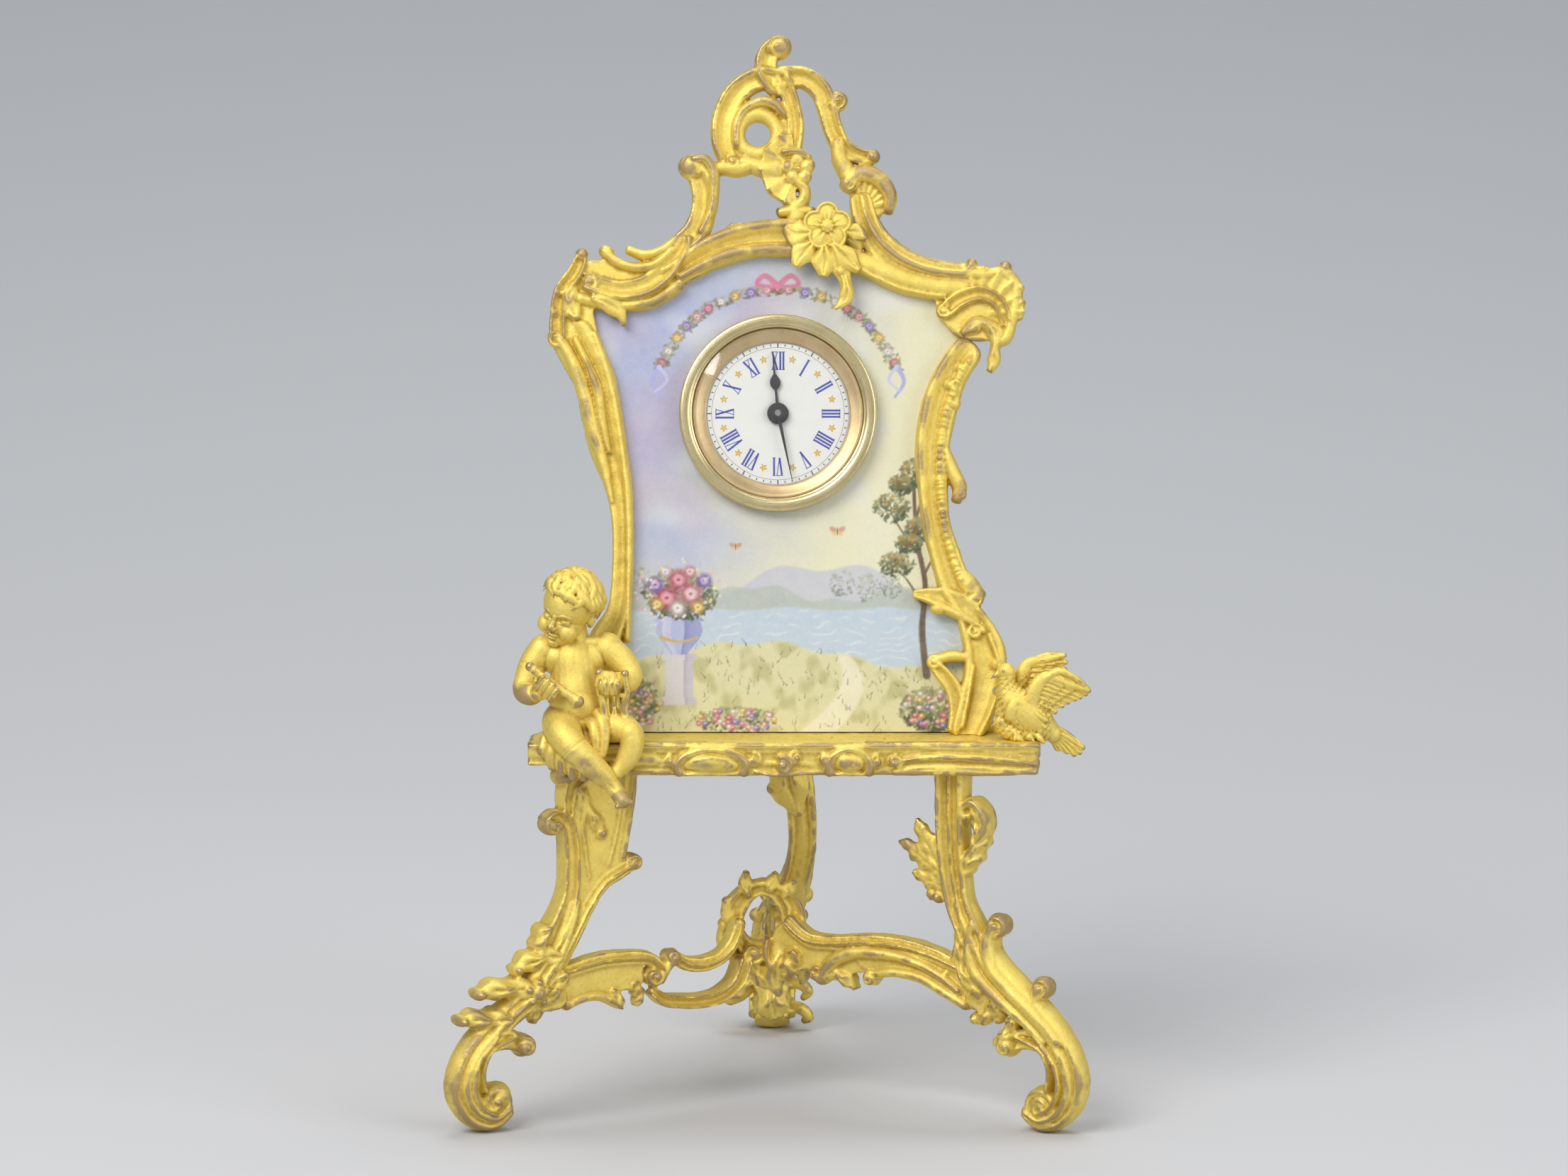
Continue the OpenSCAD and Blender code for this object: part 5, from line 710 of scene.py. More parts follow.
# The front legs' look is thinner than their solids, which have room for the screws
FRONT_LEG_THIN = 0.72
FOOT_RUN = [[44.2, 43, 2.7, 3.6], [47.4, 37, 3.2, 4.4], [51.6, 31, 3.7, 5], [57.6, 25.6, 3.8, 5.2],
            [63.6, 20.6, 3.5, 5.2], [68, 14.5, 3.2, 5.2], [69, 8.8, 3, 5.2], [66.8, 4.4, 2.8, 5.2],
            [63, 2.5, 2.5, 5.2], [59.8, 4, 2, 5.2]]
KNEE_RUN = [[43.6, 43, 2.4, 3.6], [46, 37, 2.5, 4.4], [49.4, 31.6, 2.7, 5], [54.4, 26, 2.9, 5.2],
            [60.4, 21.4, 2.9, 5.2], [66.2, 15.8, 3.1, 5.2], [68.4, 9.4, 3.4, 5.2], [66.4, 4.8, 3.1, 5.2],
            [62.6, 2.9, 2.8, 5.2], [59.4, 4.4, 2.3, 5.2]]


def foot(form, run, spiral=False):
    """The leg's lower run with its foot, the leaf inside its bend and two fine ridges."""
    form.bar(run, LIMB)
    if spiral:
        form.volute(63.4, 5.4, 4.7, 0, 5.4, start=-60, hand=-1, turns=1.75)
    else:
        form.volute(62, 6.2, 3.9, 0, 5.2, start=-150, hand=-1, turns=1.1)
        form.egg(60.6, 7.2, 0, 2.5, 2.5, 4.9)
    form.bar([[66.8, 14.4, 1.6, 3.6], [63.4, 17.4, 2.2, 4.2], [59.4, 18.1, 2.2, 4.4],
              [55.8, 17, 1.8, 4.2]], SCROLL)
    form.egg(55.2, 16.4, 0, 2.2, 2.3, 4.6)
    form.volute(55.2, 16.2, 2.6, 0, 5.2, start=80, hand=1, turns=1)
    form.bar([[62, 19.2, 0.7, 5.6], [66.2, 14.6, 0.8, 5.9], [67.2, 9.6, 0.8, 5.9], [65.6, 5.6, 0.7, 5.8],
              [62.6, 3.8, 0.6, 5.6]])
    form.bar([[57.4, 18.8, 0.5, 4.8], [63, 16.6, 0.7, 5.3], [65, 12.6, 0.7, 5.5], [64.6, 8.6, 0.6, 5.4]])


def seat_block(form, lug_at, shift=0.0):
    """The lug under the shelf and the pad that meets the stretcher."""
    form.plate([[lug_at - 1.4, 73.5], [lug_at - 2.4, 72.4], [lug_at - 1.4, 71.1], [lug_at + 4, 71],
                [lug_at + 7, 71], [lug_at + 7, 73.5], [lug_at + 3, 73.5]], -3.4, 3.4, step=3)
    form.plate([[46, 31.4], [46, 27], [46, 23.6], [49.4, 22.6], [53, 23.6], [54, 27], [50, 31.4]],
               shift - 2.4, shift + 2.4)
    for leaf in ([[52, 30, 1.4, 3.4], [48.6, 26.4, 2.4, 3.8], [47.6, 22.8, 1.4, 2.6]],
                 [[56, 26.6, 1.4, 3.6], [53, 23.4, 2.2, 3.8], [52.8, 20.4, 1.0, 2.4]],
                 [[48, 33, 1.2, 3.2], [46.6, 30, 1.9, 3.4], [45.2, 27.2, 1.0, 2.4]]):
        form.leaf(leaf, lobes=2, level=shift)


def left_leg():
    """The left leg, with its web and a curled leaf on its foot."""
    form = Form().on(leg_plane(210, thin=FRONT_LEG_THIN))
    foot(form, KNEE_RUN)
    seat_block(form, 25.4)
    form.plate([[30, 73.5], [30.4, 66], [31.6, 58], [33.4, 50], [38, 46.4], [42, 41.6], [46.5, 40],
                [46.4, 46], [45.4, 54], [45.6, 62], [45.4, 68], [43, 73.5], [36, 73.5]], -1.9, 1.9)
    form.bar([[49.8, 60.2, 0.9, 3.2], [47.4, 61, 1.4, 3.6], [45.2, 58.4, 1.5, 3.6],
              [44.6, 52.6, 1.7, 3.6], [44.8, 46.6, 1.8, 3.6], [46.4, 41.6, 2.1, 3.8],
              [49.6, 36.6, 2.2, 4.6]], CHANNEL)
    form.volute(48.6, 59.2, 2.2, 0, 3.9, start=60, hand=-1)
    form.bar([[32, 49.6, 1.5, 3.4], [34, 48.7, 1.6, 3.4], [37.6, 46.7, 1.5, 3.6], [40.8, 42.8, 1.6, 3.8],
              [44.2, 37.6, 1.9, 4.2], [48.2, 31.4, 2.2, 4.6]], RIDGE)
    form.volute(30.6, 50.3, 2.2, 0, 3.7, start=-20, hand=1)
    form.bar([[30.6, 73.2, 0.9, 3.2], [30.9, 65, 0.9, 3], [32.2, 57, 0.9, 3], [33.2, 51.6, 0.8, 2.8]])
    form.bar([[33.4, 73.2, 0.5, 2.7], [33.4, 65, 0.5, 2.6], [34.6, 57, 0.5, 2.5], [36.4, 50.4, 0.5, 2.4]])
    form.bar([[45.4, 61, 1.1, 3.4], [44.8, 66.6, 1.5, 3.7], [41.4, 70, 2.1, 4], [38.4, 73, 2.4, 4]],
             CHANNEL)
    form.bar([[41.4, 66, 0.5, 2.9], [42, 60, 0.55, 2.8], [41.6, 54, 0.5, 2.6], [40.6, 48, 0.4, 2.4]])
    form.leaf([[42, 71, 1.2, 3.6], [44.4, 70.4, 1.9, 4], [46.6, 69, 1.3, 3.8]], lobes=2)
    form.knob(46.2, 68.8, 1.9, 0, 3.9)
    for leaf in ([[47.4, 33.4, 1.9, 5.0], [50.8, 33.8, 2.3, 5.2], [54, 33.0, 2.2, 4.8],
                  [56.6, 31.6, 1.4, 3.8]],
                 [[53, 27.4, 2.1, 5.6], [57.6, 28.0, 2.4, 5.6], [61.6, 28.2, 2.2, 4.9],
                  [64.8, 27.4, 1.4, 3.8]],
                 [[58.6, 22.2, 2.0, 5.8], [62.8, 22.4, 2.3, 5.6], [66.2, 22.8, 1.9, 4.8],
                  [68.8, 22.4, 1.2, 3.8]],
                 [[50, 39.6, 1.2, 4.6], [51.2, 37.4, 1.7, 4.6], [51.8, 34.4, 1.4, 4.4]],
                 [[46.6, 30.4, 1.6, 5.4], [48.4, 27.4, 2.0, 5.6], [51.6, 24.6, 1.6, 5.2]]):
        form.leaf(leaf, lobes=2, curl=0.5)
    for r, z, size, depth in ((56.5, 31.5, 1.25, 4.4), (64.8, 27.5, 1.25, 4.4), (68.6, 22.6, 1.2, 4.4),
                              (53.2, 27, 2.3, 7.2)):
        form.knob(r, z, size, 0, depth)
    for k in range(5):
        a = 1.2566 * k + 0.4
        form.knob(53.2 + 2.1 * math.cos(a), 27 + 2.1 * math.sin(a), 1.25, 0, 6.4)
    form.leaf([[43.4, 66.4, 1.4, 3.4], [41, 62, 2, 3.6], [38.6, 58.4, 1.6, 3.6], [37.4, 56.4, 0.9, 3.2]],
              lobes=2)
    form.knob(38, 57, 1.5, 0, 3.6)
    cast("left_leg_casting", form, ["left_leg"], 11, trim=[FLOOR, SHELF_SEAT])


def right_leg():
    """The slimmer right leg, with a curled leaf outside and a lobed one inside."""
    form = Form().on(leg_plane(330, thin=FRONT_LEG_THIN))
    foot(form, FOOT_RUN, spiral=True)
    seat_block(form, 34.6)
    form.bar([[42.2, 73, 3.3, 4], [42.2, 66, 3.3, 3.9], [42.3, 57, 3.2, 3.8], [43, 49, 2.9, 3.6],
              [44.2, 43, 2.7, 3.6], [47.4, 37, 2.9, 4.2]], CHANNEL)
    form.bar([[42.2, 72.6, 0.55, 3.3], [42.2, 60, 0.6, 3.2], [43, 49, 0.6, 3.1], [45.4, 40, 0.7, 3.6]])
    form.leaf([[44.6, 49, 1, 3], [47, 52.6, 1.9, 3.6], [48.8, 57.6, 2.1, 3.9], [48.4, 61.6, 1.9, 3.9],
               [46.6, 63.9, 1.3, 3.6]], lobes=5, curl=0.5)
    form.bar([[44.4, 51, 0.6, 3.2], [47.2, 54.6, 0.7, 3.9], [49.9, 58, 0.7, 3.9], [49.8, 61.6, 0.8, 4],
              [47.4, 64, 0.9, 3.9], [45, 62.6, 0.9, 3.8], [45.8, 60.4, 0.7, 3.6]])
    form.knob(46.5, 61.2, 0.9, 0, 3.5)
    for leaf, lobes in (([[41, 47.4, 1.6, 2], [38.4, 52.4, 2.9, 1.8], [35.4, 56.8, 1.9, 1.5],
                          [34.2, 59.4, 0.4, 1]], 4),
                        ([[40, 49, 1.6, 2], [36, 51.6, 2.7, 1.7], [32.4, 53.8, 1.5, 1.4],
                          [30.2, 54.4, 0.4, 1]], 4),
                        ([[41, 46.6, 1.4, 2], [37.6, 47.4, 2.2, 1.8], [33.4, 48.8, 0.8, 1.4]], 3),
                        ([[41.6, 45, 1.2, 2], [39, 44.4, 1.6, 1.8], [36.6, 44.6, 0.9, 1.4]], 3)):
        form.leaf(leaf, lobes=lobes, curl=0.5)
    form.knob(39.3, 44.2, 1.3, 0, 2.6)
    form.bar([[52, 40, 1.5, 3.8], [50.8, 36, 1.7, 4.6], [52.4, 31.4, 1.9, 5.4], [56.8, 27.2, 2, 5.7],
              [62, 23.2, 1.8, 5.6], [67, 18.4, 1.4, 5.3]])
    form.bar([[47.6, 40, 1, 4.2], [46.8, 35.4, 1.4, 4.8], [48.6, 30.6, 1.7, 5.4], [53, 26.4, 1.8, 5.7],
              [58.4, 22.8, 1.6, 5.6], [64, 18.4, 1.2, 5.3]])
    form.leaf([[45.4, 40, 1.2, 3.6], [44.4, 35.4, 1.9, 4.2], [45, 30.6, 2.4, 4.4],
               [48.4, 26.2, 1.6, 4.2]], lobes=3)
    form.volute(52.4, 40, 2.7, 0, 4, start=-90, hand=1)
    form.bar([[60.4, 23.4, 1.5, 4.6], [61, 26, 1.6, 4], [62, 28.4, 1.6, 3.6]])
    form.volute(62.2, 28.6, 2.5, 0, 3.6, start=-90, hand=1)
    for leaf in ([[53, 24.8, 1.6, 4.8], [50.6, 21.8, 1.8, 4.4], [47.6, 20.6, 1.1, 3.4]],
                 [[57, 21.8, 1.6, 4.8], [54.8, 18.8, 1.6, 4.2], [52.6, 16.6, 0.9, 3.2]]):
        form.leaf(leaf, lobes=2)
    for r, z, size, depth in ((47.8, 20.9, 1.3, 3.6), (52.8, 16.9, 1.2, 3.4)):
        form.knob(r, z, size, 0, depth)
    cast("right_leg_casting", form, ["right_leg"], 12, trim=[FLOOR, SHELF_SEAT])


def rear_leg():
    """The rear leg, plain where nothing shows it, with leaves where it is seen."""
    form = Form().on(leg_plane(90))
    form.bar([[42.2, 73, 3.2, 5, 3], [42, 66, 3.2, 4.7, 3.6], [42.2, 58, 3.1, 3.7, 5.8],
              [43.2, 50, 2.9, 3, 7.2], [44.6, 43, 2.8, 2.9, 7.4], [47.6, 37, 3.2, 3.3, 6.4],
              [51.6, 31, 3.6, 4.4, 4.4], [57.6, 25.6, 3.7, 5, 2.6], [63.6, 20.6, 3.5, 5, 1.6],
              [68, 14.5, 3.2, 5, 1], [68.8, 8.8, 3, 5, 1], [66.8, 4.4, 2.8, 5, 1], [63, 2.5, 2.5, 5, 1],
              [59.8, 4, 2, 5, 1]], LIMB)
    seat_block(form, 34.6, 2.6)
    form.volute(62, 6.2, 3.9, 1, 4.6, start=-150, hand=-1, turns=1.1)
    form.egg(60, 7.4, 1, 3, 3.2, 4)
    form.leaf([[66, 15.2, 1.2, 3], [62, 16.9, 1.9, 4.6], [58, 16.2, 1.8, 5.6], [55.6, 13.2, 0.9, 5]],
              level=1, lobes=2)
    for aside, first in ((-2.3, 62), (-0.1, 58), (2.1, 60)):
        form.tube([[39.7, first, aside + 4.8, 0.7], [39.5, 56, aside + 6.1, 0.8],
                   [40.7, 50, aside + 7.1, 0.75], [42.3, 43, aside + 7.3, 0.7],
                   [45.2, 36.4, aside + 6.2, 0.7], [48.6, 31, aside + 4.5, 0.6]], sides=12)
    form.leaf([[58.6, 11.4, 1.6, 1.8, -2.8], [58.2, 9.4, 2.6, 1.8, -5.2], [58.6, 7, 1.6, 1.5, -7.6]],
              lobes=2)
    form.tube([[59, 10.4, -2.6, 1.3], [58.4, 8.4, -5.2, 1.5], [58.6, 6.8, -7.8, 1.2],
               [58.8, 7.4, -9.2, 0.6]])
    form.tube([[60, 10, 4.4, 1.3], [59, 10.2, 7, 1.3], [59.2, 8.4, 8.6, 1.1], [59.6, 7.2, 7.6, 0.8]])
    form.tube([[61.4, 5, 4.6, 1.3], [60.2, 4.6, 7.2, 1.3], [60.2, 2.8, 8.8, 1.1], [60.8, 2, 7.8, 0.8]])
    form.on(front_plane(38.6))
    form.leaf([[4.4, 68, 4.4, 3, 0.6], [4.4, 62.6, 5.6, 3, 1.2], [4.4, 58.4, 5.6, 2.8, 1.4],
               [4.9, 55, 4.2, 2.6, 1.2], [5.8, 52.2, 2.5, 2.3, 0.7], [6.8, 49.8, 1, 1.8, 0]], lobes=2,
              curl=0.5)
    form.egg(1.4, 55.6, 1.4, 1.5, 1.4, 2)
    form.on(front_plane(58))
    form.leaf([[1.4, 12.6, 2.8, 2.4, 0], [1, 9.6, 4, 2.8, 1], [1.2, 6.2, 3.8, 2.8, 1.6],
               [2, 3.4, 2.2, 2.4, 1.4]], lobes=2, curl=0.6)
    form.on(leg_plane(90))
    for side in (-1, 1):
        form.knob(52.6, 30.6, 1.9, 4 + side * 3.6, 2)
        form.knob(58.6, 25, 1.7, 2.4 + side * 4.2, 2)
    cast("rear_leg_casting", form, ["rear_leg"], 13, trim=[FLOOR, SHELF_SEAT])


def arm_left(form):
    """The stretcher's open arm to the left leg."""
    form.bar([[45.9, 30.1, 1.3, 2.7], [39, 31.4, 1.5, 2.8], [33, 31.5, 1.5, 2.8], [27.4, 30.8, 1.4, 2.8],
              [24.6, 28.6, 1.3, 2.8]], RIDGE)
    form.volute(26.3, 27.2, 2.4, 0, 3.2, start=150, hand=1)
    form.bar([[45.9, 23.4, 1.2, 2.6], [42, 24.6, 1.2, 2.6], [38, 24.4, 1.2, 2.6], [34, 22, 0.8, 2.4]])
    form.plate([[45.9, 24], [45.9, 30.4], [38, 31.6], [30, 31], [28.6, 26.6], [31, 25], [36, 25.2],
                [40, 25]], -1.4, 1.4)
    form.leaf([[31, 26.6, 1.5, 2.4], [29.4, 23.8, 1.5, 2.2], [30, 21.4, 0.6, 1.8]], lobes=3)
    form.leaf([[36, 25.6, 1.3, 2.4], [34, 23.6, 1.3, 2.3], [33.4, 21.2, 0.5, 1.8]], lobes=2)
    form.bar([[21, 30.4, 1.2, 2.4], [18.4, 28.8, 1.5, 2.6], [14.6, 28.4, 1.6, 2.6], [11, 29.4, 1.5, 2.6],
              [8.2, 32, 1.4, 2.6], [6.6, 36, 1.3, 2.6]], RIDGE)
    form.volute(21.8, 30.6, 1.9, 0, 2.8, start=-120, hand=1)
    form.bar([[26.2, 24, 1, 2.4], [24, 22.2, 1.3, 2.6], [21, 21.5, 1.4, 2.6], [15.6, 21, 1.4, 2.6],
              [11, 21.6, 1.4, 2.6], [7.4, 24, 1.5, 2.6], [5.6, 28, 1.6, 2.6]], CHANNEL)
    form.bar([[24.8, 26, 1.1, 2.2], [23.4, 28.4, 1.2, 2.2], [21.8, 30, 1.2, 2.2]])


def arm_plain(form):
    """A closed arm, used to the right leg and to the rear leg."""
    form.bar([[45.9, 30.2, 1.2, 2.7], [39, 32.6, 1.5, 2.8], [32, 33.8, 1.6, 2.8], [24, 33.8, 1.6, 2.8],
              [16, 32.8, 1.5, 2.8], [10, 33, 1.6, 2.8], [5.6, 36, 1.6, 2.8]], RIDGE)
    form.bar([[45.9, 23.4, 1.2, 2.6], [41.6, 25.4, 1.3, 2.6], [36, 27.8, 1.3, 2.6], [30, 28.4, 1.2, 2.6],
              [26, 27.6, 1.1, 2.5]])
    form.plate([[45.9, 24], [45.9, 30.6], [38, 33], [30, 34], [22, 34], [22, 29], [28, 28], [36, 27.6],
                [41, 26]], -1.4, 1.4)
    form.volute(24.6, 26.6, 1.9, 0, 2.9, start=60, hand=1)
    for r, z in ((41.5, 29.4), (37.6, 30.6), (33.6, 31.2), (29.6, 31.2), (26, 31)):
        form.knob(r, z, 0.75, 0, 2.2)
    form.bar([[13.2, 25, 1.3, 2.9], [15.6, 28.6, 1.5, 3], [20, 31.2, 1.5, 3], [26, 31.9, 1.4, 3],
              [33, 31.4, 1.2, 2.9], [39.6, 29.2, 1.1, 2.8], [44.6, 26.2, 0.9, 2.7]])
    form.volute(12.6, 26.2, 2.5, 0, 3.3, start=-60, hand=1, turns=1.1)
    form.plate([[24, 33], [16, 33], [9, 34], [3, 35], [2, 29], [7, 26.4], [12, 27.4], [17, 30], [22, 31]],
               -1.1, 1.1)
    form.plate([[13, 26], [18, 26.6], [24, 27.8], [31, 29.6], [31, 31.4], [22, 31.6], [15, 29]], -1.1,
               1.1)
    form.leaf([[13.4, 27.2, 1.3, 2.6], [16.6, 26.8, 2, 2.6], [19.2, 25.4, 1.6, 2.4],
               [20.8, 23.8, 0.6, 1.9]], lobes=2)
    form.leaf([[8, 30.4, 1.8, 2.8], [6, 27.6, 2.4, 3], [5, 24.6, 1.4, 2.6]], lobes=2)


def stretcher():
    """Three arms that meet in a pierced oval cartouche."""
    form = Form()
    arm_left(form.on(leg_plane(210)))
    arm_plain(form.on(leg_plane(330)))
    arm_plain(form.on(leg_plane(90, 2.6)))
    form.on(front_plane(0))
    form.bar([[-0.8 + 5.6 * math.cos(a), 35.8 + 6.4 * math.sin(a), 1.9 + 0.35 * math.sin(3 * a), 2.5, 0]
              for a in np.linspace(0, 2 * math.pi, 17)[:-1]], SCROLL, closed=True)
    form.fan(-0.8, 35.8, 5.2, 8.2, 18, 162, 5, 0, 2.3)
    form.fan(-0.8, 35.8, 5, 8.4, 150, 205, 2, 0, 2.2)
    for leaf in ([[-3.4, 40.6, 1.3, 2.6, 0], [-4.2, 43.2, 1.5, 2.5, 0.4], [-4.0, 45.6, 0.9, 2.0, 0.6]],
                 [[0.4, 41.6, 1.4, 2.6, 0], [1.3, 43.6, 1.5, 2.5, 0.4], [1.9, 45.4, 0.9, 2.0, 0.6]],
                 [[3.2, 40.6, 1.3, 2.6, 0], [4.6, 42.4, 1.5, 2.5, 0.4], [5.6, 43.9, 0.9, 2.0, 0.6]],
                 [[-6, 34, 1.3, 2.4, 0], [-7.6, 37.0, 1.6, 2.5, 0.2], [-8.2, 40.2, 1.0, 2.0, 0.4]]):
        form.leaf(leaf, lobes=1, curl=0.3)
    form.bar([[-5, 27.6, 1.3, 2.1], [-8, 29.4, 1.3, 2.1], [-8.9, 32, 1.2, 2], [-8.7, 34.6, 0.8, 1.7]])
    form.knob(-8.6, 34.9, 1.2, 0, 2.1)
    form.egg(2, 28.8, 0, 4, 3.2, 2.2)
    form.leaf([[7.4, 33.4, 1.8, 2.8, 0.5], [4.6, 30.8, 2.6, 3.2, 0.6], [2.2, 27.6, 3, 3.4, 0.6],
               [1.6, 23.8, 2.4, 3, 0.5], [2.6, 20.4, 1, 2, 0.4]], lobes=2, curl=0.5)
    form.leaf([[-2.6, 27.8, 1.4, 2.6], [-1.8, 24.8, 1.8, 2.6], [0.2, 22, 1, 2]], level=0.3, lobes=2)
    form.leaf([[5.4, 28.4, 1.6, 2.6], [7.4, 25.8, 1.7, 2.6], [7, 22.8, 0.9, 2]], level=0.3, lobes=2)
    form.bar([[0.2, 32.2, 0.7, 2.8], [-0.2, 29.4, 0.9, 3.2], [0.8, 26.6, 0.7, 3.2]], level=0.8)
    form.bar([[3.6, 41.4, 1.2, 2.4], [5.6, 38.6, 1.8, 2.7], [5.8, 34.6, 2.1, 2.8], [4.2, 31.2, 1.9, 2.8],
              [1.6, 29.6, 1.1, 2.6]], SCROLL_B, level=0.8)
    form.egg(-2.6, 29.2, 0.8, 2.2, 2.2, 2.5)
    form.volute(-2.6, 29.4, 2.8, 0.8, 3.1, start=0, hand=-1)
    cast("stretcher_casting", form, ["stretcher"], 14, voxel=0.27)


# Shelf

SHELF_LEFT, SHELF_RIGHT = -46, 53
SHELF_PLAN = [[SHELF_LEFT, -24.2], [SHELF_RIGHT, -24.2], [SHELF_RIGHT, -16.2]]
SHELF_EDGE = [[50.6, -12], [38, -4], [25, 8], [15, 24], [11, 38], [6, 46], [0, 48.4], [-6, 46], [-11, 38],
              [-15, 24], [-23, 9], [-34, -3], [-43.8, -11]]


def shelf():
    """The shelf, with a moulded apron of cartouches and leaves along its front."""
    plan = SHELF_PLAN + smooth(SHELF_EDGE, 0.8).tolist() + [[SHELF_LEFT, -16.2]]
    form = Form()
    line = np.array(plan)
    n = len(line)
    tris = [list(t) for t in tessellate_polygon([[(x, y, 0) for x, y in plan]])]
    form.add(np.concatenate([np.c_[line, np.full(n, 73.6)], np.c_[line, np.full(n, SHELF_TOP)]]),
             tris + [[i + n for i in t] for t in tris]
             + [[i, (i + 1) % n, (i + 1) % n + n, i + n] for i in range(n)])
    for edge in ([[-45.6, -24.0], [3, -24.0], [52.6, -24.0]], [[52.8, -23.6], [52.8, -16.4]],
                 [[-45.8, -23.6], [-45.8, -16.4]], SHELF_EDGE):
        form.bar([[p[0], p[1], 0.5, 1, 74.7] for p in edge])
    front = form.on((front_plane(-24.5)[0] + [0, 0, SHELF_TOP], front_plane(0)[1]))
    front.plate([[-45.9, -0.1], [-45.9, -3], [-45.9, -4.4], [-37, -4.4], [-36, -6.2], [-16, -6.5],
                 [3, -6.5], [30, -6.4], [50, -6.4], [52.9, -6], [52.9, -3], [52.9, -0.1], [4, -0.1]], -1,
                1.05, step=30)
    front.bar([[-46, -0.62, 0.6, 1.5], [3, -0.62, 0.6, 1.5], [53, -0.62, 0.6, 1.5]], level=0.2, flat=True,
              step=1)
    front.bar([[-46, -1.75, 0.28, 1.2], [3, -1.75, 0.28, 1.2], [53, -1.75, 0.28, 1.2]], level=0.2,
              flat=True, step=1)
    front.bar([[-46, -3.4, 1.2, 1.5], [-40, -3.4, 1.2, 1.6], [-34, -3.6, 1.1, 1.6],
               [-28, -4.2, 0.9, 1.5]], CHANNEL, flat=True)
    for x, half in ((-10.6, 6.6), (16.2, 4.0)):
        ring = [[x + half * math.cos(a), -4.7 + 3.4 * math.sin(a), 0.6 + 0.55 * abs(math.cos(a)), 2.5, 0]
                for a in np.linspace(-0.4, math.pi + 0.4, 15)]
        front.bar(ring, flat=True, step=0.3)
        front.bar([[x - half + 1.2, -4.3, 1.2, 1.8], [x - half * 0.3, -3.8, 2.2, 3],
                   [x + half * 0.4, -4, 2.1, 2.9], [x + half - 1.2, -4.7, 1.1, 1.7]], flat=True)
        front.bar([[x - half * 0.8, -6.2, 0.5, 1.9], [x, -6.1, 0.6, 2], [x + half * 0.8, -6.2, 0.5, 1.9]],
                  flat=True)
    front.bar([[-10.6 - 3.4, -3.4, 0.35, 2.9], [-10.6, -2.7, 0.45, 3.2], [-10.6 + 3.6, -3.6, 0.35, 2.9]],
              flat=True)
    for x, y, r, hand in ((-18.6, -3.6, 1.5, 1), (-2.4, -3.4, 1.8, -1), (5.8, -3.0, 1.7, 1),
                          (11.0, -3.2, 1.4, -1), (21.6, -3.6, 1.6, 1)):
        front.volute(x, y, r, 0.1, 2.2, start=90, hand=hand, turns=1)
    front.bar([[-2, -5, 1.1, 1.8], [2, -5.2, 1.7, 2.4], [6, -5, 1.6, 2.3], [10, -5.3, 1, 1.8]], SCROLL,
              flat=True)
    front.volute(3.4, -4.4, 2.3, 0.2, 2.8, start=120, hand=-1, turns=1.2)
    front.bar([[24.2, -5.2, 1, 1.8], [27.4, -3.6, 1.9, 2.4], [33, -3.1, 2.3, 2.7], [41, -3.3, 2.3, 2.7],
               [48, -3.9, 2, 2.4], [52.4, -4.4, 1.3, 1.8]], BROAD, flat=True)
    front.volute(25, -3.8, 1.9, 0.1, 2.4, start=-60, hand=1, turns=1.1)
    front.bar([[25, -5.9, 0.7, 1.9], [32, -5.8, 0.8, 2.2], [44, -6, 0.7, 2], [52.2, -5.8, 0.5, 1.7]],
              flat=True)
    front.bar([[-30, -4.6, 1, 1.6], [-26, -3.3, 1.7, 2.3], [-22, -3.4, 1.5, 2.2], [-20, -4.4, 0.9, 1.7]],
              flat=True)
    front.bar([[-28, -5.8, 0.6, 1.7], [-24, -5.5, 0.9, 2], [-19, -5.8, 0.6, 1.7]], flat=True)
    ends = [((SHELF_LEFT - 0.3, 0, 0), (-1, 0, 0)), ((SHELF_RIGHT + 0.3, 0, 0), (1, 0, 0))]
    cast("shelf_casting", form, ["shelf"], 15, voxel=0.33, relax=1, uneven=0.03,
         trim=[((0, 0, SHELF_TOP), (0, 0, 1)), *ends])


# Surround of the panel

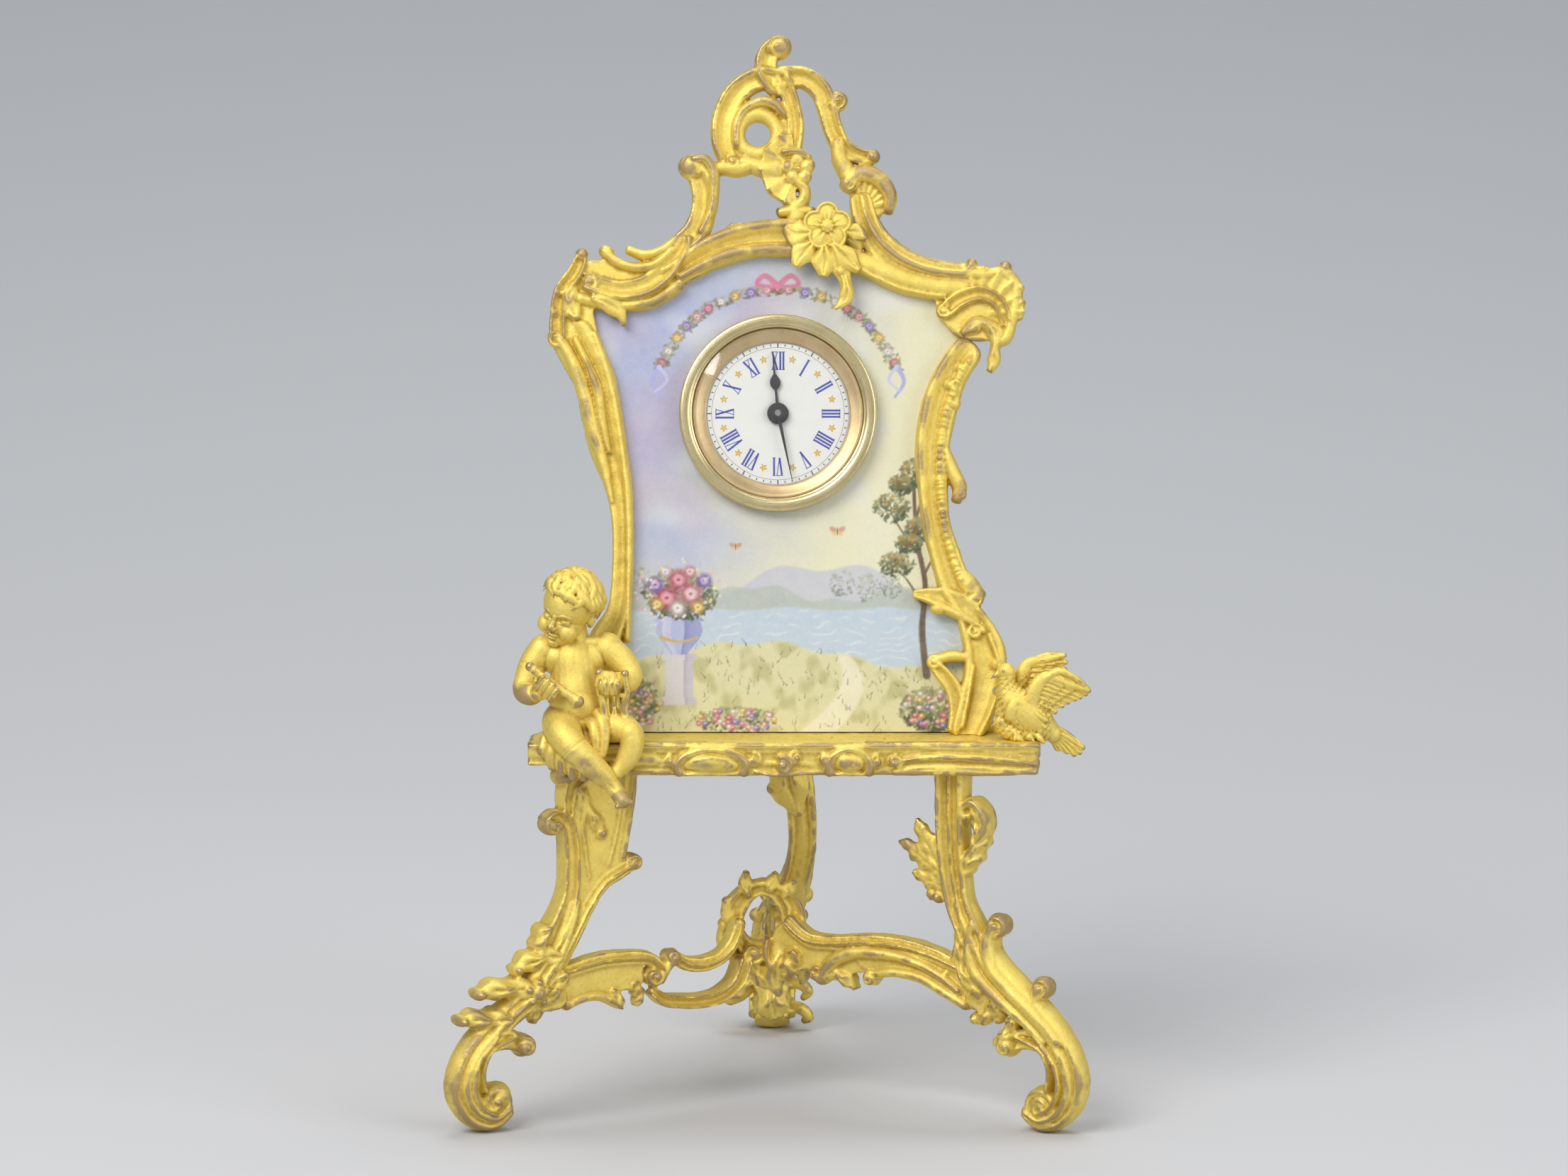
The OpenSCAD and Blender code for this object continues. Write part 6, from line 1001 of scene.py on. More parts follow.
def stile_left(form):
    """The left upright of the surround."""
    form.bar([[-30, 2.2, 3, 2.5], [-32, 7, 3.6, 2.5], [-33, 13, 3.9, 2.5], [-31.6, 20, 3.2, 2.5],
              [-28.9, 26, 2.3, 2.4], [-28.1, 35, 2.1, 2.4], [-28.2, 44, 2.2, 2.4], [-29.1, 51, 2.8, 2.4],
              [-30.9, 57.5, 3.7, 2.4], [-32.2, 64, 4, 2.4], [-33.6, 71, 4.1, 2.4], [-36, 76, 4.3, 2.4],
              [-38, 80, 4.4, 2.4]], SCROLL, level=0.9, flat=True)
    form.bar([[-27.2, 20, 0.6, 2.3], [-27, 30, 0.65, 2.4], [-27, 44, 0.7, 2.4], [-27.8, 54, 0.8, 2.4],
              [-29.6, 66, 0.9, 2.4], [-31.6, 74, 0.95, 2.4], [-33.8, 80.4, 0.8, 2.4]], level=1, flat=True)
    form.bar([[-30.2, 47, 0.5, 1.8, 1.3], [-32, 55, 1.2, 2.1, 1.4], [-34, 62, 1.6, 2.3, 1.4],
              [-35.6, 68, 1.5, 2.3, 1.4], [-37.6, 74, 1.4, 2.3, 1.3], [-40.4, 79, 1.1, 2.2, 1.2]],
             flat=True)
    form.bar([[-30.8, 57, 0.5, 2.2, 1.5], [-32.2, 63, 1, 2.3, 1.6], [-33, 68.6, 1.1, 2.3, 1.6],
              [-35, 74, 0.9, 2.2, 1.5], [-37.6, 79.4, 0.7, 2.1, 1.3]], flat=True)
    form.volute(-41.2, 79.6, 2.2, 1, 2.4, start=-60, hand=-1, turns=1.1)


def stile_right(form):
    """The right upright, with its beaded ridge and the leaves at its waist."""
    form.bar([[39.4, 2.2, 3.4, 2.6], [41.2, 7, 4, 2.6], [42.8, 13, 4.3, 2.6], [42.6, 18.5, 4.1, 2.6],
              [40.2, 24.5, 2.9, 2.6]], CHANNEL, level=0.9, flat=True)
    form.bar([[39.6, 26, 2.4, 2.6], [37.4, 30, 3.3, 2.6], [35.3, 36, 3.1, 2.6], [33.4, 43, 2.8, 2.6],
              [32.7, 50, 3, 2.6], [32.6, 58, 3.4, 2.6], [34, 66, 3.6, 2.6], [36.2, 72, 3.3, 2.6],
              [39.4, 77, 3.1, 2.5]], SCROLL_B, level=0.9, flat=True)
    form.bar([[40.2, 28.2, 0.7, 2.3], [38.4, 31.6, 1.1, 2.4], [36.8, 36, 1.15, 2.4], [34.9, 43, 1.1, 2.4],
              [34.3, 50, 1.15, 2.4], [34.3, 58, 1.2, 2.4], [35.7, 65.6, 1.2, 2.4], [37.8, 71.4, 1.1, 2.4],
              [40.2, 75.6, 0.8, 2.2]], level=1, flat=True, notch=(-0.95, 0.95, 1.1, 0.3))
    form.bar([[43.2, 4, 0.5, 2.4], [45, 9, 0.6, 2.4], [45.6, 15, 0.6, 2.4], [43.6, 21, 0.5, 2.2]],
             level=1.2, flat=True)
    form.bar([[38.4, 3, 0.5, 2.2], [39.6, 9, 0.55, 2.4], [40.6, 15, 0.5, 2.3]], level=1.2, flat=True)
    form.bar([[35.4, 57.4, 0.8, 2], [36.6, 53.4, 1.4, 2.2], [38, 50, 1.5, 2.3], [37.4, 47.6, 1.1, 2.1]],
             level=0.9, flat=True)
    form.volute(38.1, 48.6, 1.5, 1, 2.3, start=90, hand=-1, turns=0.9)
    form.bar([[37.6, 33.6, 1.3, 2], [39.6, 31, 2.1, 2.4], [41.6, 28.6, 1.7, 2.3]], level=0.9, flat=True)
    form.volute(41, 28, 1.9, 1, 2.5, start=60, hand=-1, turns=1)
    form.bar([[41, 24.6, 2, 1.9, 1.8], [38, 26.6, 2.6, 2.1, 1.9], [34.6, 28, 2.3, 2, 1.9],
              [31.6, 28.8, 1.5, 1.8, 1.9], [29.2, 29, 0.8, 1.3, 1.7]], SCROLL_B, flat=True)
    form.egg(33.8, 26.2, 2.4, 1.7, 1.2, 1.4)
    form.bar([[36.8, 2.6, 1.3, 1.9, 1.4], [37.4, 6.6, 1.5, 1.9, 1.5], [36.6, 10.6, 1.6, 1.9, 1.6],
              [34.6, 13.4, 1.5, 1.8, 1.7], [33.2, 14.8, 1.2, 1.6, 1.7]], SCROLL, flat=True)
    form.bar([[39.2, 16.6, 0.9, 1.5, 1.8], [36.6, 16.9, 1.2, 1.6, 1.8], [33.6, 16.4, 1.1, 1.5, 1.7]],
             flat=True)
    form.volute(33, 15.6, 1.8, 1.4, 1.9, start=60, hand=1)
    form.volute(41, 21.6, 2.1, 1.4, 2.2, start=0, hand=1)
    form.knob(45.2, 15.4, 1.6, 1.2, 2.1)
    for x, y, r in ((37, 66.4, 1.3), (36.2, 70.2, 1.2), (38.2, 73.6, 1.2)):
        form.knob(x, y, r, 1, 2.1)
    form.leaf([[35, 64, 0.7, 1.7], [37, 67.4, 1.2, 1.9], [36.6, 71, 0.9, 1.8]], level=1.2, lobes=3,
              flat=True)


def corner_left(form):
    """The scrolled corner at the arch's left end."""
    form.bar([[-41, 79.6, 1.7, 2.2], [-41, 84, 1.6, 2.2], [-40.2, 88.6, 1.6, 2.3],
              [-37.6, 92.4, 1.6, 2.3], [-36.4, 95.2, 1.3, 2.1]], CHANNEL, level=1, flat=True)
    form.plate([[-40.6, 80], [-33.6, 80], [-33.4, 86], [-24, 87.4], [-17, 91], [-16, 97.6], [-24, 94.6],
                [-31, 95], [-36, 94], [-40, 88]], -1.3, 1.9)
    form.bar([[-35.6, 90.2, 1.3, 2, 1.5], [-33, 89.8, 1.9, 2.2, 1.6], [-28.6, 88.8, 2.1, 2.3, 1.6],
              [-23.6, 89.8, 2.2, 2.3, 1.6], [-19.4, 93, 2.1, 2.3, 1.5], [-17, 96.6, 1.7, 2.2, 1.4],
              [-15.8, 99, 1.3, 2, 1.4]], SCROLL, flat=True)
    form.bar([[-31.4, 96.4, 0.9, 2, 1.3], [-29.6, 94.6, 1, 2.1, 1.4], [-26, 93.4, 1, 2.1, 1.4],
              [-22, 94, 1, 2.1, 1.4], [-18.4, 97, 0.8, 1.9, 1.2]], flat=True)
    form.bar([[-27.2, 97, 0.8, 2], [-24, 95.9, 1, 2.1], [-20.6, 96.8, 1, 2.1], [-17.6, 99.2, 0.8, 1.9]],
             level=1.1, flat=True)
    form.volute(-31.2, 96.4, 1.5, 1.2, 2.1, start=150, hand=1)
    form.bar([[-36.6, 87.4, 1.4, 2], [-31.8, 86.2, 1.2, 2], [-27, 85.9, 1.2, 2], [-22, 86.8, 1.2, 2],
              [-17, 90, 1.2, 2]], level=1, flat=True)
    form.leaf([[-34.4, 87.4, 1.6, 1.8, 1.9], [-31, 86.2, 1.9, 1.8, 1.9], [-28.6, 84.2, 1.4, 1.6, 1.8],
               [-27.9, 81.8, 0.6, 1, 1.7]], lobes=1, flat=True)
    form.leaf([[-37, 83, 1.4, 1.7, 1.7], [-38.6, 86.6, 2, 1.8, 1.7], [-38, 90.4, 1.2, 1.5, 1.6]], lobes=2,
              flat=True)
    form.volute(-34.6, 90.5, 2.1, 1.6, 1.9, start=120, hand=-1)
    for x, y, r in ((-36.3, 96, 1.3), (-31.7, 96.6, 1.3), (-15.2, 99, 1.0), (-41.6, 84.4, 0.9),
                    (-41, 88.4, 0.9)):
        form.knob(x, y, r, 1.1, 2.1)


def corner_right(form):
    """The shell at the arch's right end."""
    form.plate([[38, 79.6], [45.6, 79.6], [47.8, 84], [48.4, 90], [45, 92], [38, 91.6], [34, 90],
                [33.6, 85]], -1.3, 1.9)
    form.fan(41.6, 84.6, 1.5, 9.3, -10, 112, 6, 1, 2.3, flat=True)
    form.bar([[39, 92.6, 1.5, 2], [42.6, 92, 1.2, 2], [46.6, 92.4, 1.3, 2], [49, 90, 1.4, 2],
              [49.1, 86.6, 1.3, 2], [48.3, 83, 1.2, 2], [47.2, 79.6, 1.2, 1.9], [44.8, 78.6, 0.9, 1.7]],
             level=1, flat=True)
    form.bar([[35, 84.6, 1.6, 1.9, 1.5], [38, 87, 1.7, 2, 1.5], [42, 88.2, 1.5, 2, 1.5],
              [45.6, 86.4, 1.3, 2, 1.5], [47, 82.6, 1.1, 1.9, 1.4]], CHANNEL, flat=True)
    form.leaf([[38.4, 80.2, 1.2, 1.9, 1.5], [42, 82.4, 1.6, 2, 1.5], [45, 80.6, 1.6, 2, 1.5],
               [44.9, 77, 1.4, 1.9, 1.4], [44.6, 74.4, 1.3, 1.9, 1.3], [43.8, 72.8, 0.9, 1.6, 1.2]],
              lobes=3, flat=True)
    form.volute(34.9, 84.6, 1.9, 1.5, 1.8, start=60, hand=1)
    for x, y, r in ((40.4, 94, 1.3), (47, 93.4, 1.4), (50, 89.4, 0.9), (50.2, 86.4, 0.9)):
        form.knob(x, y, r, 1.1, 2.1)


def arch(form):
    """The arch over the panel."""
    form.bar([[-19.4, 91.6, 2.2, 2.5], [-16, 93.2, 2.8, 2.5], [-11.6, 96, 3.3, 2.6], [-6.6, 98, 3.6, 2.6],
              [-1, 99.2, 3.7, 2.6], [5, 99.4, 3.8, 2.6], [11, 98.6, 3.7, 2.6], [16.4, 96.6, 3.4, 2.5]],
             SCROLL_B, level=0.9, flat=True)
    form.bar([[18.6, 107, 2.3, 2.1], [19.6, 102.8, 2.6, 2.3], [22.2, 98.2, 2.9, 2.5],
              [27, 94.3, 3.1, 2.6], [32.6, 92.2, 3.1, 2.6], [38.6, 91.6, 2.8, 2.5]], BROAD, level=0.9,
             flat=True)
    form.bar([[15, 95.4, 2.2, 2.2], [21, 93.6, 2.4, 2.3], [27.6, 90.9, 2.3, 2.3], [34, 89.6, 2.3, 2.3],
              [39, 89.4, 2, 2.2]], level=0.9, flat=True)
    form.bar([[-17, 91.5, 1, 2.4, 1.1], [-8, 95.8, 1.4, 2.5, 1.1], [2, 97, 1.4, 2.5, 1.1],
              [12, 95.8, 1.2, 2.5, 1.1], [19, 92.6, 0.8, 2.3, 1], [27, 89, 0.8, 2.3, 1],
              [35, 87.6, 0.7, 2.2, 1]], flat=True)


PANEL_EDGE = [[-29.5, 0], [-27.9, 10], [-27.8, 26], [-27.6, 40], [-28.2, 52], [-30.2, 62], [-32.6, 71],
              [-35, 79], [-35.6, 85], [-31.5, 88.2], [-24, 87.6], [-18.5, 90], [-13, 94], [-6, 96.6],
              [2, 97.6], [10, 97], [16.5, 94], [22, 92.6], [28, 89.6], [35, 88.4], [40.5, 86.6],
              [40.5, 81.5], [36.5, 76.5], [33.6, 70], [32, 63], [31.2, 54], [31.6, 46], [33.6, 39],
              [36, 33], [39, 28], [39.6, 22], [41, 16], [39, 6], [38, 0]]


# Thickness of the enamelled plate, and the clearance of what stands on the shelf
PANEL_THICK = 1.4
SHELF_GAP = 0.05


def behind_panel(w):
    """The plane that cuts off what lies behind a height over the panel's face."""
    point = PANEL[0] + np.array([0, 0, w]) @ PANEL[1]
    return tuple(point), tuple(-PANEL[1][2])


BACK_OF_FRAME = behind_panel(-PANEL_THICK)
SHELF_FACE = ((0, 0, SHELF_TOP + SHELF_GAP), (0, 0, -1))


def surround():
    """Stiles and arch of the panel, and the tabs that stand on the shelf."""
    for name, parts, seed in (("surround_left", (stile_left,), 21),
                              ("surround_right", (stile_right,), 22),
                              ("surround_arch", (arch, corner_left, corner_right), 23)):
        form = Form().on(PANEL)
        for part in parts:
            part(form)
        cast(name, form, ["panel_frame"], seed, voxel=0.24, trim=[BACK_OF_FRAME, SHELF_FACE])
    tabs = Form()
    for x in (-32.4, 42):
        outline = [[x - 2.6, -13.4], [x + 2.6, -13.4], [x + 2.6, -8.6], [x + 1.6, -7.4], [x - 1.6, -7.4],
                   [x - 2.6, -8.6]]
        tabs.plate(outline, SHELF_TOP + SHELF_GAP, SHELF_TOP + 1.85, step=20)
    crisp("surround_tabs", tabs, GILT, smooth_shade=False)


# Crest and flower spray

def crest():
    """The open scrollwork above the arch."""
    form = Form().on(PANEL)
    # Height and depth that most of the scrollwork shares
    z, d = 0.6, 2.3
    form.bar([[3.6, 130.8, 1.8, d], [-1.4, 131, 2.3, d], [-5.9, 128.2, 2.4, d], [-8.4, 123.4, 2.3, d],
              [-8.8, 118.6, 2.1, d], [-7.6, 115.2, 1.8, d]], SCROLL, level=z, flat=True)
    form.volute(-6.7, 114.4, 2.3, z, 2.6, start=160, hand=1, turns=1)
    form.bar([[-1.7 + 3.95 * math.cos(a), 120 + 3.95 * math.sin(a), 1.5, 1.7, z - 0.1]
              for a in np.linspace(0, 2 * math.pi, 25)[:-1]], flat=True, closed=True, step=0.3)
    form.bar([[-5.9, 117.6, 0.9, d], [-6, 121, 1, d], [-4.6, 124.4, 1.05, d], [-1.4, 126.3, 1.15, d],
              [1.8, 125.8, 1.15, d], [3.6, 123.6, 0.7, d]], level=z, flat=True)
    form.plate([[-6, 116], [-1, 115], [4.4, 115.4], [5.4, 120], [4.4, 125], [3.6, 123], [1.4, 122],
                [1.2, 118.4], [-1.6, 116.8], [-4.6, 118.4]], -1.1, 1.5, step=0.6)
    form.bar([[2.8, 131, 1.9, d], [4.8, 126.8, 1.7, d], [5.8, 121.4, 1.7, d], [5, 116.6, 1.9, d]],
             SCROLL_B, level=z, flat=True)
    form.bar([[3, 131.4, 2.2, d], [7.4, 131.2, 2.1, d], [10.6, 128.8, 2.1, d], [12.1, 125, 2.1, d],
              [13.2, 121, 2, d], [15, 117.6, 1.9, d], [18.2, 115.7, 1.6, d], [21, 115.3, 1.2, 2]],
             SCROLL_B, level=z, flat=True)
    form.bar([[14.2, 118.6, 1.5, d], [14.4, 115.4, 1.6, d], [15.8, 112.6, 1.8, d], [17.2, 110, 1.9, d]],
             level=z, flat=True)
    form.bar([[15.6, 109.6, 1.5, 2.4, z + 0.2], [18.4, 112, 1.8, d, z + 0.6],
              [21.8, 111.2, 1.8, d, z + 0.8], [24.3, 108, 1.5, d, z + 0.8],
              [24.1, 104.6, 1, 2.3, z + 0.4]], flat=True)
    form.fan(18.6, 104.6, 1, 6.6, 14, 104, 6, z - 0.2, 1.9, flat=True)
    form.volute(16.2, 110.2, 2, z + 0.4, 2.6, start=-90, hand=1, turns=1)
    form.plate([[16.6, 110], [20, 110.8], [23, 108.6], [23, 104.6], [20.6, 101.6], [17.4, 103.8]], -1.1,
               1.3, step=0.8)
    form.bar([[-13.9, 112.6, 2.1, d], [-12.5, 109.4, 2.4, d], [-12.4, 105, 2.5, d],
              [-13.8, 100.8, 2.6, d], [-16.8, 98, 2.3, d]], SCROLL_B, level=z, flat=True)
    form.bar([[-14.4, 114.8, 0.9, 2.4, z + 0.4], [-12.2, 114.8, 1.1, 2.5, z + 0.5],
              [-10.5, 112.8, 1.15, 2.5, z + 0.5], [-10.3, 109, 1.1, 2.5, z + 0.5],
              [-10.8, 104.6, 1, 2.5, z + 0.4], [-13, 100.4, 0.8, 2.4, z + 0.2]], flat=True)
    form.bar([[-10.4, 113, 1.2, 2.1], [-8.2, 113.4, 1.5, 2.1], [-5.8, 113.2, 1.7, 2.1],
              [-3.6, 113.6, 1.5, 2.1]], level=z, flat=True)
    form.bar([[-4.6, 114.6, 1.3, 2.1], [-1.4, 113.4, 1.7, 2.2], [2.4, 112.9, 2, 2.2]], level=z, flat=True)
    form.fan(6, 113, 0.8, 7.4, 98, 268, 5, 0.6, 2.5, flat=True)
    for k in range(5):
        a = 0.35 + 1.2566 * k
        form.egg(6.3 + 1.9 * math.cos(a), 112.9 + 1.9 * math.sin(a), z + 1.1, 1.55, 1.55, 1.5)
    form.egg(6.3, 112.9, z + 1.7, 0.8, 0.8, 1.4)
    form.bar([[3.2, 116.2, 0.8, 2.5], [6, 116.4, 0.9, 2.6], [8.4, 115, 0.8, 2.4]], level=z + 0.4,
             flat=True)
    form.bar([[6.2, 110.6, 1.3, d], [7.6, 108.8, 1.2, d], [7.2, 106.6, 1.3, d], [5.6, 105.2, 1.7, d],
              [6.4, 103, 2.4, d]], level=z, flat=True)
    form.bar([[2.6, 104.4, 1, 2], [5.4, 104.8, 1.3, 2.2], [9, 104.4, 1.2, 2]], level=z, flat=True)
    form.bar([[2.4, 128.6, 1.6, d, z], [0.8, 130.8, 2.2, d, z + 0.2], [-0.1, 133.4, 2.3, d, z + 0.2],
              [0.4, 136, 2.2, 2.4, z], [2, 137.8, 1.9, 2.4, z]], SCROLL_B, flat=True)
    form.egg(2.6, 137.2, z, 2.5, 2.5, 2.4)
    form.volute(2.4, 137.4, 2.6, z, 2.7, start=-150, hand=-1, turns=1.1)
    form.volute(14.2, 126.5, 2.3, z, 2.5, start=200, hand=1, turns=1.1)
    form.egg(-14.6, 113.4, z, 2.8, 2.6, 2.5)
    form.volute(-14.7, 113.6, 2.7, z, 2.6, start=-60, hand=1, turns=1.1)
    form.knob(21, 115.5, 1.5, z, 2.1)
    form.plate([[-7, 98.3], [11, 98.3], [11, 102.6], [-7, 102.6]], -2.45, -1.5, step=30)
    cast("crest_casting", form, ["crest"], 24, voxel=0.22)


def flower_spray():
    """A rose with its leaves, laid over the arch."""
    form = Form().on(PANEL)
    mid_x, mid_y, back = 12, 101.3, 3.2
    for k in range(5):
        a = math.radians(90 + 72 * k)
        x, y = mid_x + 2.55 * math.cos(a), mid_y + 2.55 * math.sin(a)
        form.egg(x, y, back + 0.7, 2.25, 2.25, 0.9)
        rim = [[x + 2.0 * math.cos(a + t), y + 2.0 * math.sin(a + t), 0.34, 0.95, back + 0.8]
               for t in np.linspace(-1.5, 1.5, 7)]
        form.bar(rim, flat=True, step=0.25)
        for t in (-0.28, 0.28):
            form.bar([[mid_x + 1.4 * math.cos(a + t), mid_y + 1.4 * math.sin(a + t), 0.2, 0.5,
                       back + 1.3],
                      [mid_x + 3.6 * math.cos(a + t * 0.8), mid_y + 3.6 * math.sin(a + t * 0.8), 0.14,
                       0.4, back + 1.2]], step=0.25)
    form.egg(mid_x, mid_y, back + 1.5, 1.2, 1.2, 1.1)
    for k in range(8):
        a = math.radians(45 * k)
        form.egg(mid_x + 1.05 * math.cos(a), mid_y + 1.05 * math.sin(a), back + 1.9, 0.36)
    for points, lobes in (([[9, 100, 1.1, 1.4, back + 0.2], [6, 100, 2.5, 1.5, back + 0.2],
                            [3.6, 101.2, 1.0, 1.2, back + 0.2]], 1),
                          ([[9.4, 98.4, 1.1, 1.4, back + 0.2], [7, 95.8, 2.1, 1.6, back + 0.2],
                            [5.7, 93.4, 1.1, 1.3, back + 0.4]], 1),
                          ([[11.4, 97.6, 1.3, 1.4, back + 0.3], [11.4, 93.8, 2.2, 1.6, back + 0.4],
                            [11.2, 91.4, 1.1, 1.3, back + 0.5]], 1),
                          ([[13, 98, 1.3, 1.5, back + 0.4], [15.8, 94.8, 2.0, 1.7, back + 0.5],
                            [18.2, 92.5, 0.9, 1.3, back + 0.5]], 1),
                          ([[13, 96, 1.2, 1.4, back + 0.2], [15.4, 91, 1.5, 1.5, back + 0.2],
                            [15.6, 87.2, 1.2, 1.3, back + 0.2], [13.4, 85, 0.5, 1, back + 0.2]], 2),
                          ([[15, 100.4, 0.9, 1.3, back], [17.6, 100.2, 1.5, 1.4, back],
                            [19.8, 98.8, 0.5, 1, back]], 1)):
        wide = [[*p[:2], p[2] * 1.18, *p[3:]] for p in points]
        form.leaf(wide, lobes=lobes, flat=True, curl=0.2)
    form.knob(14.6, 92.4, 0.9, back + 0.9, 1)
    cast("flower_spray_casting", form, ["flower_spray"], 25, voxel=0.17, uneven=0.03,
         trim=[behind_panel(3.5)])


# Bezel, glass and dial

def turned_parts():
    """Bezel, sight ring, glass and drum, each a body turned about the dial's axis."""
    bezel = Form().on(DIAL)
    lip = [(18.8 + 0.6 * math.cos(a), 2.75 + 0.6 * math.sin(a))
           for a in np.radians(np.linspace(0, 90, 7))]
    bezel.lathe([(15.75, -0.9), (16.25, -0.9), (16.25, 0.1), (19, 0.1), (19.05, 0.5), (19.35, 0.75),
                 (19.38, 2), *lip, (17.9, 3.38), (17.45, 3.3), (17.2, 3.05), (17.15, 2.8), (16.95, 2.72),
                 (16.85, 2.5), (16.8, 0.2), (15.75, 0.2)])
    crisp("bezel_turned", bezel, BEZEL, ["bezel"], edge_angle=40)
    ring = Form().on(DIAL)
    ring.lathe([(14.1, 0.25), (16.7, 0.25), (16.7, 1.5), (16.55, 1.55), (16.1, 1.5), (15.9, 1.38),
                (15.2, 1.14), (14.6, 0.9), (14.35, 0.88), (14.1, 0.7)])
    crisp("sight_ring_turned", ring, SIGHT, ["sight_ring"], edge_angle=30)
    glass = Form().on(DIAL)
    glass_r, rise, rim, thick = 16.65, 1.2, 3.4 - 1.05, 0.7
    dome = (glass_r**2 + rise**2) / (2 * rise)
    base = rim + rise - dome
    angles = np.linspace(0.004, 1, 20) * math.asin(glass_r / dome)
    glass.lathe([((dome - thick) * math.sin(a), base + (dome - thick) * math.cos(a)) for a in angles]
                + [(dome * math.sin(a), base + dome * math.cos(a)) for a in angles[::-1]], 128)
    crisp("glass_dome", glass, GLASS, ["glass"], edge_angle=50)
    drum = Form().on(DIAL)
    drum.lathe([(16.3, -20.4), (16.7, -20.4), (17, -20.1), (17, -19.4), (16.92, -19.3), (16.92, -19),
                (17, -18.9), (17, -3.15), (19.1, -3.15), (19.2, -3.05), (19.2, -2.35), (17, -2.3),
                (17, -0.05), (16.3, -0.05), (16.3, -4.55), (15.75, -4.55), (15.75, -5.35), (16.3, -5.35)])
    crisp("drum_turned", drum, DRUM, ["drum"])


def stroke(form, ax, ay, bx, by, half, low, high):
    """A raised stroke between two points in the dial's plane."""
    way = np.array([bx - ax, by - ay]) / (math.hypot(bx - ax, by - ay) + TINY)
    side = np.array([-way[1], way[0]]) * half
    corners = [(ax + side[0], ay + side[1]), (ax - side[0], ay - side[1]), (bx - side[0], by - side[1]),
               (bx + side[0], by + side[1])]
    points = [(x, y, low) for x, y in corners] + [(x, y, high) for x, y in corners]
    form.add(points, [[0, 1, 2, 3], [7, 6, 5, 4], [0, 4, 5, 1], [1, 5, 6, 2], [2, 6, 7, 3], [3, 7, 4, 0]])


# Sizes on the dial: numerals, stars, minute marks and their two rings, and heights over the enamel
NUMERAL_IN, NUMERAL_OUT, THICK, THIN = 8.7, 12.2, 0.19, 0.075
STAR_R, STAR_IN, STAR_OUT = 11.0, 0.12, 0.72
MINUTE_RINGS = (13.05, 13.97)
NUMERALS = ["XII", "I", "II", "III", "IIII", "V", "VI", "VII", "VIII", "IX", "X", "XI"]
FACE = 0.24
SUNK = FACE - 0.05


def numeral(form, text, angle):
    """A Roman numeral that stands on the dial's rim."""
    widths = {"I": 0.62, "V": 1.5, "X": 1.55}
    total = sum(widths[c] for c in text)
    at = -total / 2
    turn = math.radians(90 - angle)
    up, right = np.array([math.cos(turn), math.sin(turn)]), np.array([math.sin(turn), -math.cos(turn)])

    def line(x0, r0, x1, r1, half):
        a, b = right * x0 + up * r0, right * x1 + up * r1
        stroke(form, a[0], a[1], b[0], b[1], half, SUNK, FACE + 0.02)

    for c in text:
        w = widths[c]
        mid = at + w / 2
        if c == "I":
            line(mid, NUMERAL_IN, mid, NUMERAL_OUT, THICK)
        elif c == "V":
            line(mid - 0.5, NUMERAL_OUT, mid, NUMERAL_IN, THICK)
            line(mid + 0.5, NUMERAL_OUT, mid, NUMERAL_IN, THIN)
        else:
            line(mid - 0.5, NUMERAL_OUT, mid + 0.5, NUMERAL_IN, THICK)
            line(mid + 0.5, NUMERAL_OUT, mid - 0.5, NUMERAL_IN, THIN)
        reach = 0.3 if c == "I" else 0.68
        for r in (NUMERAL_OUT,) if c == "V" else (NUMERAL_IN, NUMERAL_OUT):
            line(mid - reach, r, mid + reach, r, 0.07)
        at += w


def dial():
    """The enamelled disc with its feet, and what is painted on it."""
    disc = Form().on(DIAL)
    disc.lathe([(1.9, -0.6), (15.6, -0.6), (15.65, 0.1), (15.5, 0.2), (14.4, 0.24), (8, 0.24),
                (3.2, 0.22), (2.1, 0.18), (1.9, 0.1)])
    for degrees in (30, 195, 290):
        a = math.radians(degrees)
        disc.base = (DIAL[0] + np.array([12.4 * math.cos(a), 12.4 * math.sin(a), 0]) @ DIAL[1], DIAL[1])
        disc.lathe([(0.001, -4.2), (0.5, -4.2), (0.55, -4.1), (0.55, -0.5), (0.001, -0.5)], 24)
    crisp("dial_disc", disc, WHITE, ["dial"], edge_angle=50)
    blue, black, gold = Form().on(DIAL), Form().on(DIAL), Form().on(DIAL)
    for k, text in enumerate(NUMERALS):
        numeral(blue, text, 30 * k)
        a = math.radians(75 - 30 * k)
        x, y = STAR_R * math.cos(a), STAR_R * math.sin(a)
        for p in range(5):
            b = a + 2 * math.pi * p / 5
            c, s = math.cos(b), math.sin(b)
            stroke(gold, x + STAR_IN * c, y + STAR_IN * s, x + STAR_OUT * c, y + STAR_OUT * s, 0.17, SUNK,
                   FACE + 0.015)
    for k in range(60):
        a = math.radians(6 * k)
        c, s = math.cos(a), math.sin(a)
        near, far, half = (13.1, 13.9, 0.12) if k % 5 == 0 else (13.32, 13.74, 0.1)
        stroke(black, near * c, near * s, far * c, far * s, half, SUNK, FACE + 0.012)
    for r in MINUTE_RINGS:
        black.lathe([(r - 0.035, SUNK), (r + 0.035, SUNK), (r + 0.035, FACE + 0.01),
                     (r - 0.035, FACE + 0.01)], 160)
    crisp("dial_numerals", blue, BLUE, smooth_shade=False)
    crisp("dial_minutes", black, BLACK, smooth_shade=False)
    crisp("dial_marks", gold, GOLD_PAINT, smooth_shade=False)


# Painted enamel

# Spacing and limits of the grid that carries the painting
STEP = 0.2
LEFT, BOTTOM, RIGHT, TOP = -37.0, 1.7, 42.0, 98.5
# The panel's lowest edge over the shelf, and the radius of its hole for the dial
FOOT_LINE = 2.13
HOLE_R = 17.25


